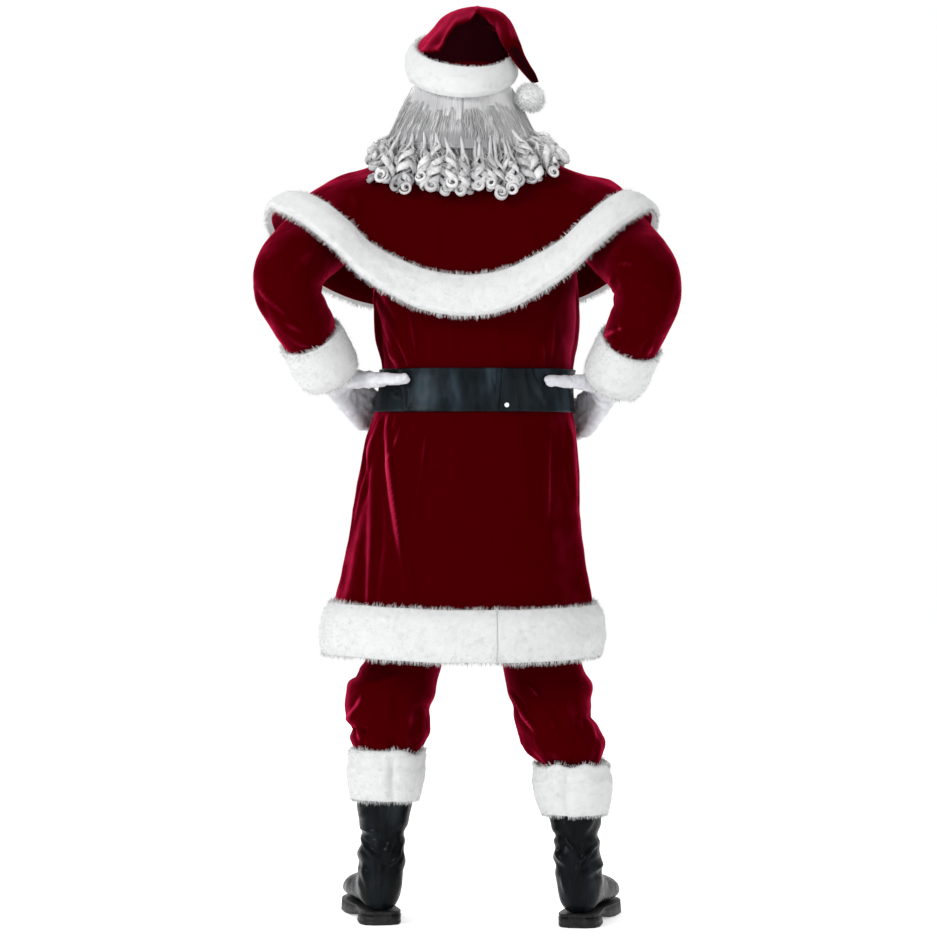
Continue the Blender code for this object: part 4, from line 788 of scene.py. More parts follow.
def leg_row(side, face, height, columns):
    """Half a leg's ring from the side seam to the inside seam, behind (+1) or before (-1)."""
    size = {name: float(value) for name, value in look_up(LEGS[side], "height", height).items()}
    turn = np.linspace(0, math.pi, columns)
    x = size["centre_x"] + side * size["half_width"] * power(np.cos(turn), 0.92)
    y = size["centre_y"] + face * size["half_depth"] * np.abs(np.sin(turn)) ** 0.92
    return np.stack([x, y, np.full_like(x, height)], axis=-1)


def pelvis_row(side, face, rise, columns):
    """A panel's row above the crotch, from the side seam to the centre seam: rise 1 is the waist."""
    height = CROTCH_HEIGHT + (WAIST_HEIGHT - CROTCH_HEIGHT) * rise
    turn = np.linspace(0, math.pi / 2, columns)
    depth = PELVIS_BACK if face > 0 else PELVIS_FRONT
    x = CROTCH_X + side * PELVIS_HALF[side] * np.abs(np.cos(turn)) ** ROUNDNESS
    y = face * depth * np.abs(np.sin(turn)) ** ROUNDNESS
    waist = np.stack([x, y, np.full_like(x, height)], axis=-1)
    leg = leg_row(side, face, CROTCH_HEIGHT, columns)
    leg[:, 2] = height
    formed = min(1.0, rise / 0.34)
    formed = math.sqrt(1 - (1 - formed) ** 2)
    row = leg * (1 - formed) + waist * formed
    row[-1, 0] = CROTCH_X + side * CROTCH_GAP * (1 - formed)
    return row


def to_boot_place(side, points):
    """Boot points from the boot's own frame to where that boot stands."""
    points = np.array(points, float)
    foot = FEET[side]
    points[..., 0] += foot["lean"] * (points[..., 2] - LEAN_HEIGHT)
    turn = math.radians(foot["toe_out"]) * side
    x = points[..., 0] * math.cos(turn) - points[..., 1] * math.sin(turn)
    y = points[..., 0] * math.sin(turn) + points[..., 1] * math.cos(turn)
    return np.stack([x + foot["ankle"][0], y + foot["ankle"][1], points[..., 2] + FLOOR], axis=-1)


def boot_ring(centre_y, height, tilt, half_width, down, up, columns):
    """One ring of a boot's inside: turn 0 is its +X side and a quarter turn its back or sole."""
    turn = np.linspace(0, 2 * math.pi, columns, endpoint=False)
    across, along = np.cos(turn), np.sin(turn)
    reach = np.where(along > 0, down, up) * power(along, 0.9)
    slope = math.radians(tilt)
    x = half_width * power(across, 0.9)
    y = centre_y + reach * math.cos(slope)
    z = height - reach * math.sin(slope)
    z = np.maximum(z, INSOLE if tilt else 0)
    return np.stack([x, y, z], axis=-1)


def boot_shaft_ring(height, columns):
    """A level ring of the shaft at a height above the floor."""
    size = look_up({name: values[:SHAFT_ROWS] for name, values in BOOT.items()}, "height", height)
    return boot_ring(0.0, height, 0, *(float(size[name]) for name in ("half_width", "down", "up")), columns)


def on_hip(angle, height, lift):
    """A point over the coat and belt, at an angle round the body and a height."""
    around = np.array([angle - 1.0, angle, angle + 1.0])
    row = coat_row(height, around, folded=False)
    normal = unit(np.cross(row[2] - row[0], (0, 0, 1.0)))
    return row[1] + normal * lift


def glove_tubes(side):
    """The lines and radii of a gloved hand: cuff, palm, four fingers and a thumb."""
    hand, arm = HANDS[side], ARMS[side]
    wrist, elbow = np.array(hand["wrist"]), np.array(arm["elbow"])
    sleeve_end = np.array(arm["wrist"])
    start = sleeve_end + unit(elbow - sleeve_end) * 0.030
    tubes = [((start, sleeve_end, wrist), (0.036, 0.034, 0.030))]
    for k, length in enumerate(FINGER_LENGTHS):
        height = hand["knuckle_height"] + (1.5 - k) * FINGER_SPACING
        turn = [hand["knuckle_angle"] - side * FINGER_SWEEP * length * share for share in (0, 0.5, 1.0)]
        knuckle, middle, tip = (
            on_hip(angle, height - drop, lift)
            for angle, drop, lift in zip(turn, FINGER_DROPS, FINGER_LIFTS)
        )
        spread = (1.5 - k) * 0.012 * np.array([0, 0, 1.0])
        tubes.append(((wrist + spread, knuckle), (0.019, 0.0150)))
        tubes.append(((knuckle, middle, tip), (0.0130, FINGER_RADIUS, FINGER_RADIUS * 0.9)))
    base, joint, tip = (
        on_hip(angle, hand["thumb_height"], lift)
        for angle, lift in zip(hand["thumb_angles"], THUMB_LIFTS)
    )
    tubes.append(((wrist + np.array([0, 0.004, 0.014]), base), (0.022, 0.0150)))
    tubes.append(((base, joint, tip), (0.0145, 0.0125, 0.0112)))
    return tubes, start, unit(sleeve_end - elbow)


def tube_mesh(points, radii, ring):
    """Points and faces of a tapering tube with round ends, through points with a radius each."""
    points, radii = np.array(points, float), np.array(radii, float)
    tangents = unit(np.gradient(points, axis=0))
    caps = ((-0.95, 0.3), (-0.6, 0.8))
    centres = [points[0] + tangents[0] * radii[0] * back for back, _ in caps]
    sizes = [radii[0] * share for _, share in caps]
    centres += list(points)
    sizes += list(radii)
    centres += [points[-1] - tangents[-1] * radii[-1] * back for back, _ in reversed(caps)]
    sizes += [radii[-1] * share for _, share in reversed(caps)]
    directions = [tangents[0]] * 2 + list(tangents) + [tangents[-1]] * 2
    side = unit(np.cross(directions[0], (0.31, 0.17, 0.93)))
    rings = []
    for centre, size, direction in zip(centres, sizes, directions):
        side = unit(side - direction * side.dot(direction))
        other = np.cross(direction, side)
        turn = np.linspace(0, 2 * math.pi, ring, endpoint=False)[:, None]
        rings.append(centre + size * (np.cos(turn) * side + np.sin(turn) * other))
    count = len(rings)
    faces = quads_of(count, ring, wrap_columns=True).tolist()
    faces.append(tuple(reversed(range(ring))))
    faces.append(tuple(range((count - 1) * ring, count * ring)))
    return np.concatenate(rings), faces


def coat_grid(first, last, columns, heights, steps):
    """The inside of the coat's panel between two angles, from hem to shoulder."""
    angles = np.linspace(first, last, columns)
    rows = [coat_row(height, angles) for height in heights]
    rows += [yoke_row(step, angles, -1 if first >= 180 else 1) for step in steps]
    return np.array(rows)


def coarse_coat(first, last):
    """The panel's grid as the solids have it."""
    return coat_grid(first, last, round((last - first) / STEP) + 1, COAT_ROWS, YOKE_STEPS)


def coat_base(heights, angles):
    """The coat's outer points at some heights: what the belt and the hem's fur are laid on."""
    grid = np.array([coat_row(height, np.asarray(angles, float)) for height in heights])
    return outer_face(grid, CLOTH)


def sleeve_rings(side, shares=SLEEVE_ROWS, columns=SLEEVE_RING):
    """Rings of a sleeve's inside, from its armhole to just past the wrist."""
    turns = np.arange(columns) / columns
    hole = np.array([armhole_point(side, turn) for turn in turns])
    start = hole.mean(axis=0)
    hole += unit((start - hole) * (0, 1, 1)) * (CLOTH + 4 * SEAM)
    shoulder = start + np.array([side * SHOULDER_OUT, 0.0, 0.0])
    joints = ARMS[side]
    line = rounded_line([start, shoulder, joints["elbow"], joints["wrist"]], SLEEVE_CUTS)
    centres, tangents = at_shares(line, shares)
    sizes = smooth_curve(shares, SLEEVE["along"], SLEEVE["radius"])
    back = np.array([0.0, 1.0, 0.0])
    turn = 2 * math.pi * turns[:, None]
    rings = []
    for share, centre, tangent, size in zip(shares, centres, tangents, sizes):
        back = unit(back - tangent * back.dot(tangent))
        up = np.cross(back, tangent) * -side
        ring = centre + size * (np.sin(turn) * back - np.cos(turn) * up)
        freed = soft_step(share / SLEEVE_FREED)
        rings.append((hole + centre - start) * (1 - freed) + ring * freed)
    return np.array(rings)[:, :: int(side)]


def cape_grid():
    """The cape's inside as the solids have it, from its edge up to the neck."""
    trees = [surface_tree(coarse_coat(*angles)) for angles in COAT_PANELS.values()]
    trees += [surface_tree(sleeve_rings(side), closed=True) for side in (1, -1)]
    return given_way(np.array([cape_point(CAPE_COLUMNS, share) for share in CAPE_ROWS]), trees)


def hat_rings(columns):
    """The hat's inside, ring by ring from the brim to the tip of the tail."""
    turn = np.linspace(0, 2 * math.pi, columns, endpoint=False)[:, None]
    rings = []
    for right_x, right_z, left_x, left_z, depth, middle_y in zip(*HAT.values()):
        right, left = np.array([right_x, 0, right_z]), np.array([left_x, 0, left_z])
        centre, across = (left + right) / 2, (left - right) / 2
        ring = centre + np.cos(turn) * across + np.sin(turn) * np.array([0, depth, 0])
        tilting = soft_step((HAT_LEVEL + 0.03 - ring[:, 2]) / 0.09) * float(left_x > -0.03)
        ring[:, 2] -= math.tan(HAT_TILT) * ring[:, 1] * tilting
        rings.append(ring + np.array([0, middle_y, 0]))
    return np.array(rings)


# ---------------------------------------------------------------- finishes


def new_material(name, colour, roughness, **sockets):
    """A material and its shader, with the numbers that are the same all over it."""
    material = bpy.data.materials.new(name)
    material.use_nodes = True
    shader = material.node_tree.nodes["Principled BSDF"]
    shader.inputs["Base Color"].default_value = (*colour, 1)
    shader.inputs["Roughness"].default_value = roughness
    for socket, value in sockets.items():
        shader.inputs[socket.replace("_", " ")].default_value = value
    return material, shader


def node(material, kind, inputs, **settings):
    """A shader node, whose inputs are numbers or the outputs of other nodes."""
    made = material.node_tree.nodes.new("ShaderNode" + kind)
    for name, value in settings.items():
        setattr(made, name, value)
    for name, value in inputs.items():
        if isinstance(value, bpy.types.NodeSocket):
            material.node_tree.links.new(value, made.inputs[name])
        else:
            made.inputs[name].default_value = value
    return made


def place_on(material):
    """Where a point is on its object."""
    return node(material, "TexCoord", {}).outputs["Object"]


def kept_on(material, name):
    """A number that the mesh keeps for each of its points."""
    return node(material, "Attribute", {}, attribute_name=name).outputs["Fac"]


def times_plus(material, value, times, plus):
    made = node(material, "Math", {0: value, 1: times, 2: plus}, operation="MULTIPLY_ADD")
    return made.outputs["Value"]


def noise_of(material, size, detail=2, stretch=(1, 1, 1)):
    """A noise over the object with features of this size in metres, from 0 to 1."""
    scaled = node(material, "Mapping", {"Vector": place_on(material), "Scale": stretch}).outputs["Vector"]
    return node(material, "TexNoise", {"Vector": scaled, "Scale": 1 / size, "Detail": detail}).outputs["Fac"]


def ramp(material, value, *stops):
    """Colours or greys at places from 0 to 1."""
    made = node(material, "ValToRGB", {"Fac": value})
    elements = made.color_ramp.elements
    while len(elements) < len(stops):
        elements.new(0.5)
    for element, (place, colour) in zip(elements, stops):
        element.position = place
        element.color = (*colour, 1) if isinstance(colour, tuple) else (colour, colour, colour, 1)
    return made.outputs["Color"]


def feed(material, shader, socket, value):
    material.node_tree.links.new(value, shader.inputs[socket])


def roughen(material, shader, *layers):
    """Bumps laid over each other: each is a value from 0 to 1, and its height in metres."""
    normal = None
    for value, height in layers:
        inputs = {"Height": value, "Distance": height, "Strength": 1.0}
        if normal:
            inputs["Normal"] = normal
        normal = node(material, "Bump", inputs).outputs["Normal"]
    feed(material, shader, "Normal", normal)


def velvet_material():
    """Deep red velvet: dark where it faces the eye. Its colour is painted crimson where it is seen at a
    glancing angle, a painted sheen fed by a Layer Weight, and painted highlights and painted shade follow its
    folds."""
    material, shader = new_material(
        "velvet",
        VELVET_DEEP,
        0.85,
        Specular_IOR_Level=0.0,
        Sheen_Weight=0.65,
        Sheen_Roughness=0.26,
        Sheen_Tint=(*VELVET_SHEEN, 1),
    )
    brushed = noise_of(material, 0.055, 4)
    # Painted sheen: the colour turns crimson where the surface is seen at a glancing angle.
    painted_sheen_angle = node(material, "LayerWeight", {"Blend": 0.32}).outputs["Facing"]
    # Painted highlights on folds and painted shade in furrows, with each piece's painted light and tone.
    crest = kept_on(material, "crest")
    parted = times_plus(material, crest, 0.42, 0.25)
    lifted = times_plus(material, painted_sheen_angle, brushed, parted)
    # From painted shade through the velvet's own deep red to painted sheen and a painted glint.
    colour = ramp(
        material,
        lifted,
        (0.0, VELVET_PAINTED_SHADE),
        (0.22, VELVET_DEEP),
        (0.34, VELVET_DEEP),
        (0.46, VELVET_PAINTED_SHEEN_SOFT),
        (0.70, VELVET_PAINTED_SHEEN),
        (1.0, VELVET_PAINTED_GLINT),
    )
    feed(material, shader, "Base Color", colour)
    nap = noise_of(material, 0.0011, 2)
    patches = noise_of(material, 0.014, 3)
    roughen(material, shader, (patches, 0.0011), (nap, 0.0005))
    return material


def fur_material():
    """White plush: each strand is painted a little greyer towards its root, painted shade down in the pile,
    and no two are quite the same white.
    """
    material, shader = new_material("white_fur", (0.9, 0.9, 0.9), 0.85, Specular_IOR_Level=0.15)
    along = kept_on(material, "along")
    shade = kept_on(material, "shade")
    lit = times_plus(material, shade, 0.45, along)
    colour = ramp(material, lit, *FUR_SHADES)
    feed(material, shader, "Base Color", colour)
    roughen(material, shader, (noise_of(material, 0.003, 3), 0.0012))
    return material


def hair_material():
    """White-grey hair: streaks that run along its locks, on a tone that each point keeps: random, with
    painted highlights, painted shade and painted light in it.
    """
    material, shader = new_material("wig_hair", (0.6, 0.6, 0.6), 0.42, Specular_IOR_Level=0.5)
    across = kept_on(material, "across")
    shade = kept_on(material, "shade")
    inputs = {"W": across, "Scale": 15.0, "Detail": 4.0}
    strands = node(material, "TexNoise", inputs, noise_dimensions="1D").outputs["Fac"]
    lit = times_plus(material, shade, 0.5, strands)
    colour = ramp(material, lit, (0.22, HAIR_DARK), (0.55, HAIR_MIDDLE), (0.90, HAIR_LIGHT))
    feed(material, shader, "Base Color", colour)
    roughen(material, shader, (strands, 0.0010))
    return material


def leathercloth_material(name, colour, roughness, coat, grain, gloss):
    """Black leathercloth with a fine grain, worn a little duller in patches, and with paler streaks painted
    into its colour: painted sheen and highlights.
    """
    material, shader = new_material(
        name, colour, roughness, Coat_Weight=coat, Coat_Roughness=0.22, Specular_IOR_Level=gloss
    )
    worn = ramp(material, noise_of(material, 0.03, 4), (0.35, roughness), (0.7, roughness + 0.16))
    feed(material, shader, "Roughness", worn)
    # Painted sheen and highlights: streaks of paler colour over the black.
    painted_sheen_tone, painted_highlight_tone = (tuple(times * part for part in colour) for times in (2.6, 11.0))
    streaks = noise_of(material, 0.05, 3, (1, 1, 0.3))
    painted_sheen_streaks = ramp(material, streaks, (0.38, colour), (0.52, painted_sheen_tone), (0.72, painted_highlight_tone))
    feed(material, shader, "Base Color", painted_sheen_streaks)
    cells = node(material, "TexVoronoi", {"Vector": place_on(material), "Scale": 1 / grain})
    roughen(material, shader, (noise_of(material, 0.009, 3), 0.0006), (cells.outputs["Distance"], 0.00018))
    return material


def glove_material():
    """White satin with a faint twill, and dusty patches where it has been handled."""
    material, shader = new_material(
        "glove_cloth",
        (0.62, 0.63, 0.67),
        0.42,
        Sheen_Weight=0.15,
        Sheen_Roughness=0.4,
        Specular_IOR_Level=0.45,
    )
    colour = ramp(
        material, noise_of(material, 0.022, 3), (0.3, (0.50, 0.51, 0.55)), (0.65, (0.66, 0.67, 0.71))
    )
    feed(material, shader, "Base Color", colour)
    inputs = {"Vector": place_on(material), "Scale": 420.0, "Distortion": 0.6}
    twill = node(material, "TexWave", inputs, bands_direction="DIAGONAL").outputs["Fac"]
    roughen(material, shader, (noise_of(material, 0.007, 2), 0.0008), (twill, 0.00012))
    return material


def rubber_material():
    material, shader = new_material("boot_rubber", (0.006, 0.006, 0.007), 0.5, Specular_IOR_Level=0.2)
    scuffed = ramp(
        material, noise_of(material, 0.012, 5), (0.42, (0.004, 0.004, 0.005)), (0.72, (0.018, 0.018, 0.018))
    )
    feed(material, shader, "Base Color", scuffed)
    roughen(material, shader, (noise_of(material, 0.0022, 3), 0.0004))
    return material


def metal_material(name, colour, roughness):
    """Plated metal with fine scratches."""
    material, shader = new_material(name, colour, roughness, Metallic=1.0)
    hairline = noise_of(material, 0.0016, 4, (1, 1, 0.08))
    feed(material, shader, "Roughness", ramp(material, hairline, (0.3, roughness), (0.8, roughness + 0.18)))
    roughen(material, shader, (hairline, 0.00005))
    return material


# The velvet's own deep red, with painted shade, two painted sheen tones and a painted glint.
VELVET_PAINTED_SHADE, VELVET_DEEP = (0.010, 0.0008, 0.0020), (0.046, 0.0, 0.0008)
VELVET_PAINTED_SHEEN_SOFT, VELVET_PAINTED_SHEEN = (0.090, 0.0008, 0.006), (0.33, 0.010, 0.042)
VELVET_PAINTED_GLINT = (0.60, 0.050, 0.115)
VELVET_SHEEN = (0.90, 0.015, 0.075)
# Fur colours from a dark strand, through painted shade at the roots and in the pile, to the white of the
# tips.
FUR_SHADES = (
    (0.0, (0.07, 0.07, 0.08)),
    (0.12, (0.42, 0.43, 0.44)),
    (0.45, (0.62, 0.63, 0.63)),
    (1.0, (0.71, 0.72, 0.72)),
)
HAIR_DARK, HAIR_MIDDLE, HAIR_LIGHT = (0.27, 0.27, 0.28), (0.53, 0.53, 0.54), (0.80, 0.80, 0.80)

VELVET, FUR, HAIR = velvet_material(), fur_material(), hair_material()
BELT_HIDE = leathercloth_material("belt_leathercloth", (0.0026, 0.0040, 0.0052), 0.28, 0.02, 0.0011, 0.06)
BOOT_HIDE = leathercloth_material("boot_leathercloth", (0.0013, 0.0018, 0.0022), 0.22, 0.03, 0.0014, 0.05)
GLOVE, RUBBER = glove_material(), rubber_material()
BRASS = metal_material("buckle_metal", (0.78, 0.56, 0.24), 0.24)
CHROME = metal_material("rivet_metal", (0.72, 0.72, 0.74), 0.2)


# ---------------------------------------------------------------- velvet

BEHIND, BEFORE, LEFT, RIGHT = (0, 1, 0), (0, -1, 0), (1, 0, 0), (-1, 0, 0)
# Creases of the coat, as seen from behind: across is to the wearer's left, and v is the height.
COAT_CREASES = creases(
    (0.156, -0.500, 0.124, -0.815, 0.0062, 0.0075, -0.0040),
    (0.146, -0.500, 0.116, -0.840, 0.0030, 0.024, -0.006),
    (0.180, -0.600, 0.189, -0.915, 0.0065, 0.0100),
    (0.160, -0.510, 0.216, -0.722, 0.0040, 0.0055, -0.002),
    (0.172, -0.500, 0.184, -0.640, 0.0045, 0.014),
    (0.124, -0.536, 0.146, -0.600, 0.0026, 0.0045),
    (0.146, -0.508, 0.152, -0.540, 0.0026, 0.0045),
    (0.076, -0.520, 0.092, -0.662, 0.0032, 0.0050, 0.0035),
    (0.090, -0.640, 0.099, -0.740, 0.0028, 0.0070),
    (-0.161, -0.560, -0.157, -0.730, 0.0024, 0.0055),
    (-0.205, -0.560, -0.214, -0.670, 0.0045, 0.0075),
    (0.116, -0.800, 0.104, -0.880, 0.0022, 0.014),
    (-0.096, -0.520, -0.118, -0.700, 0.0022, 0.020, 0.004),
    (0.020, -0.530, 0.012, -0.680, 0.0018, 0.022),
    (0.181, -0.270, 0.128, -0.424, 0.0050, 0.0075, 0.003),
    (0.172, -0.285, 0.106, -0.430, 0.0034, 0.0050, 0.002),
    (0.160, -0.360, 0.124, -0.428, 0.0045, 0.0060),
    (0.118, -0.270, 0.093, -0.425, 0.0026, 0.0045, 0.002),
    (0.150, -0.385, 0.131, -0.427, 0.0028, 0.0045),
    (-0.206, -0.285, -0.208, -0.375, 0.0045, 0.012),
    (-0.148, -0.370, -0.150, -0.424, 0.0022, 0.0050),
    (-0.169, -0.330, -0.164, -0.405, 0.0026, 0.0060),
    (-0.060, -0.340, -0.066, -0.420, 0.0016, 0.010),
    (0.030, -0.340, 0.024, -0.418, 0.0016, 0.012),
)
# The same kinds of crease where the photograph doesn't reach: before and on either flank.
COAT_FRONT_CREASES = creases(
    (0.060, -0.520, 0.082, -0.800, 0.0060, 0.014, 0.006),
    (-0.075, -0.520, -0.098, -0.760, 0.0055, 0.013, -0.006),
    (0.130, -0.530, 0.160, -0.860, 0.0060, 0.018),
    (-0.150, -0.540, -0.176, -0.850, 0.0060, 0.018),
    (0.028, -0.515, 0.034, -0.610, 0.0030, 0.007),
    (-0.030, -0.515, -0.042, -0.600, 0.0030, 0.007),
    (0.170, -0.520, 0.186, -0.640, 0.0035, 0.007),
    (-0.178, -0.520, -0.196, -0.640, 0.0035, 0.007),
    (0.120, -0.330, 0.080, -0.420, 0.0050, 0.009),
    (-0.130, -0.330, -0.092, -0.420, 0.0050, 0.009),
    (0.060, -0.350, 0.046, -0.420, 0.0030, 0.006),
    (-0.066, -0.350, -0.052, -0.420, 0.0030, 0.006),
    (0.170, -0.300, 0.150, -0.415, 0.0045, 0.010),
    (-0.186, -0.300, -0.168, -0.415, 0.0045, 0.010),
)
COAT_FLANK_CREASES = creases(
    (0.030, -0.515, 0.040, -0.740, 0.0036, 0.014, 0.005),
    (-0.040, -0.515, -0.064, -0.820, 0.0060, 0.016, -0.005),
    (0.070, -0.530, 0.078, -0.640, 0.0020, 0.008),
    (-0.002, -0.520, -0.006, -0.640, 0.0030, 0.007),
    (0.040, -0.270, 0.030, -0.420, 0.0050, 0.010),
    (-0.040, -0.290, -0.028, -0.420, 0.0045, 0.009),
    (0.005, -0.330, 0.004, -0.420, 0.0030, 0.006),
)
# Each sleeve's creases, as seen from behind.
SLEEVE_CREASES = {
    +1: creases(
        (0.408, -0.258, 0.342, -0.325, 0.0036, 0.0066, 0.002),
        (0.414, -0.252, 0.385, -0.330, 0.0034, 0.0066, -0.002),
        (0.337, -0.368, 0.300, -0.384, 0.0022, 0.006),
        (0.300, -0.185, 0.330, -0.225, 0.0040, 0.012),
        (0.352, -0.330, 0.318, -0.352, 0.0030, 0.007),
    ),
    -1: creases(
        (-0.300, -0.213, -0.333, -0.216, 0.0040, 0.006),
        (-0.285, -0.240, -0.281, -0.270, 0.0040, 0.007),
        (-0.268, -0.366, -0.303, -0.347, 0.0038, 0.006),
        (-0.301, -0.340, -0.305, -0.356, 0.0030, 0.005),
        (-0.351, -0.399, -0.361, -0.374, 0.0035, 0.006),
        (-0.344, -0.250, -0.376, -0.272, 0.0040, 0.010),
        (-0.318, -0.300, -0.350, -0.318, 0.0035, 0.010),
    ),
}
CAPE_CREASES = creases(
    (0.219, -0.075, 0.211, -0.130, 0.0035, 0.010),
    (0.266, -0.080, 0.250, -0.108, 0.0040, 0.007),
    (0.153, -0.158, 0.137, -0.158, 0.0022, 0.005),
    (-0.225, -0.075, -0.214, -0.140, 0.0030, 0.012),
    (-0.120, -0.120, -0.130, -0.210, 0.0025, 0.016),
    (0.060, -0.140, 0.066, -0.225, 0.0025, 0.016),
)
CAPE_FRONT_CREASES = creases(
    (0.080, -0.100, 0.100, -0.220, 0.0040, 0.014),
    (-0.085, -0.100, -0.110, -0.220, 0.0040, 0.014),
    (0.150, -0.080, 0.185, -0.180, 0.0040, 0.016),
    (-0.160, -0.080, -0.190, -0.180, 0.0040, 0.016),
)
SOFT = ((0.075, 0.0014), (0.028, 0.0008), (0.011, 0.0003))  # how velvet that has been worn undulates
BELT_PINCH, BELT_PINCH_REACH = 0.0012, 0.016  # puckers that the belt presses into the coat
BELT_PINCH_WIDE, BELT_PINCH_FINE, BELT_PINCH_LONG = 0.014, 0.006, 0.12  # their widths, and width over length
YOKE_SMOOTH = UNDERARM + 0.10  # above this the coat has no creases, under the cape
# A painted highlight along the waist's right edge, behind: its x, width, height and half its length.
PAINTED_EDGE_HIGHLIGHT, PAINTED_EDGE_HIGHLIGHT_STRENGTH = (-0.207, 0.016, -0.350, 0.085), 0.62


def belt_puckers(grid):
    """Small upright puckers just above and below the belt."""
    level = grid[..., 2]
    past = np.maximum(level - BELT_TOP, BELT_BOTTOM - level) - 0.006
    near = soft_step(1 + past / 0.012) * bell(np.maximum(past, 0), BELT_PINCH_REACH)
    squeezed = grid * (1, 1, BELT_PINCH_LONG)
    puckers = noise(squeezed, BELT_PINCH_WIDE, 5) + 0.6 * noise(squeezed, BELT_PINCH_FINE, 6)
    return BELT_PINCH * near * puckers


def coat_pieces():
    heights = np.linspace(HEM, UNDERARM, 117)
    steps = np.arange(1, 17) / 16
    for name, (first, last) in COAT_PANELS.items():
        columns = 181 if name == "coat_back" else 97
        grid = parted(coat_grid(first, last, columns, heights, steps))
        if first >= 180:
            grid[-1, :, 1] -= SEAM  # the shoulder seam's gap
        lifted = (
            relief(grid, COAT_CREASES, BEHIND)
            + relief(grid, COAT_FRONT_CREASES, BEFORE)
            + relief(grid, COAT_FLANK_CREASES, LEFT)
            + relief(grid, COAT_FLANK_CREASES, RIGHT)
            + uneven(grid, *SOFT)
            + belt_puckers(grid)
        )
        under_belt = (grid[..., 2] < BELT_TOP) & (grid[..., 2] > BELT_BOTTOM)
        lifted = np.where(under_belt, np.minimum(lifted, BELT_LIFT * 0.6), lifted)
        lifted *= soft_step((YOKE_SMOOTH - grid[..., 2]) / 0.12)
        lifted += seam_dip(grid)
        # The painted highlight along the waist's right edge, behind, passed on as nap.
        aside = (grid[..., 0] - PAINTED_EDGE_HIGHLIGHT[0]) / PAINTED_EDGE_HIGHLIGHT[1]
        level = (grid[..., 2] - PAINTED_EDGE_HIGHLIGHT[2]) / PAINTED_EDGE_HIGHLIGHT[3]
        nap = PAINTED_EDGE_HIGHLIGHT_STRENGTH * np.exp(-(aside**2) - level**4) * (grid[..., 1] > 0)
        shell(f"{name}_velvet", grid, lifted, CLOTH, VELVET, (name,), nap=nap)


CROOK_AIM = (0.20, 0.0, -0.03)  # what the elbow's inner side faces, for the left arm
CROOK_FOLD, CROOK_SPACING = 0.0042, 0.075  # their depth, and their spacing as a share of the sleeve
CROOK_PLACE, CROOK_REACH = 0.56, 0.13  # shares of the sleeve's length


def crook_folds(side, grid, shares):
    """The folds that a bent elbow squeezes out of a sleeve on its inner side."""
    joints = ARMS[side]
    elbow = np.array(joints["elbow"])
    inward = unit(np.array(CROOK_AIM) * (side, 1, 1) - elbow)
    centre = grid.mean(axis=1, keepdims=True)
    facing = np.clip(unit(grid - centre) @ inward, 0, 1) ** 1.5
    near = bell(shares - CROOK_PLACE, CROOK_REACH)[:, None]
    wave = np.sin(2 * math.pi * (shares[:, None] / CROOK_SPACING + 0.5 * noise(grid, 0.05, 11)))
    return CROOK_FOLD * facing * near * wave


SLEEVE_GATHER, SLEEVE_GATHER_SIZE = 0.0022, 0.012  # small upright gathers above the cuff
SLEEVE_GATHER_FROM, SLEEVE_SMOOTH_TO = 0.74, 0.06  # shares of its length: above the latter it is smooth


def sleeve_pieces():
    shares = np.linspace(0, SLEEVE_ROWS[-2], 117)
    for side, word in SIDES:
        grid = sleeve_rings(side, shares, 120)
        gathers = SLEEVE_GATHER * noise(grid * (1, 1, 0.35), SLEEVE_GATHER_SIZE, 33)
        lifted = (
            relief(grid, SLEEVE_CREASES[side], BEHIND, closed=True)
            + crook_folds(side, grid, shares)
            + uneven(grid, *SOFT, seed=20)
            + gathers * soft_step((shares - SLEEVE_GATHER_FROM) / 0.1)[:, None]
        )
        lifted *= soft_step((shares - SLEEVE_SMOOTH_TO) / 0.16)[:, None]
        panels = (f"sleeve_back_{word}", f"sleeve_front_{word}")
        shell(f"sleeve_{word}_velvet", grid, lifted, CLOTH, VELVET, panels, closed=True)


CAPE_DEEPEST = -0.0012  # no furrow may reach what the cape lies on


def cape_piece(cape):
    grid = finer(cape[1:], 73, 217)
    lifted = (
        relief(grid, CAPE_CREASES, BEHIND)
        + relief(grid, CAPE_FRONT_CREASES, BEFORE)
        + uneven(grid, *SOFT, seed=40)
    )
    shell("cape_velvet", grid, np.maximum(lifted, CAPE_DEEPEST), CLOTH, VELVET, ("cape",))


HAT_CREASES = creases(
    (0.062, 0.262, 0.040, 0.285, 0.0030, 0.008),
    (0.050, 0.245, 0.082, 0.205, 0.0030, 0.008),
    (-0.010, 0.292, -0.055, 0.283, 0.0030, 0.006),
    (-0.080, 0.262, -0.100, 0.205, 0.0030, 0.006),
    (-0.100, 0.215, -0.126, 0.168, 0.0022, 0.005),
)
# The edge of the fold that hangs over the crown's back, and the hollow under it.
HAT_FOLD = table(
    "x z",
    (-0.075, 0.236),
    (-0.060, 0.258),
    (-0.040, 0.272),
    (-0.0215, 0.284),
    (-0.0075, 0.266),
    (0.0200, 0.257),
    (0.0360, 0.236),
    (0.0500, 0.205),
)
# Where the flap's edge hangs over the shaded hollow.
HAT_FLAP_EDGE = table(
    "z x",
    (0.160, -0.095),
    (0.196, -0.078),
    (0.228, -0.0651),
    (0.244, -0.0568),
    (0.262, -0.045),
)
HAT_HOLLOW, HAT_FOLD_LIFT, HAT_BRIM = 0.014, 0.0035, 0.165
HAT_CROWN_ROWS, HAT_FLAP_ROWS = 6.8, 7.4  # the rows of HAT where the crown and the flap's shade end
# How its colour is raised or lowered: painted shade under the fold, paler over the crown, darker at the tail.
HAT_CROWN_TONE, HAT_PAINTED_SHADE_UNDER_FOLD, HAT_TAIL_TONE = 0.36, -1.70, -0.68


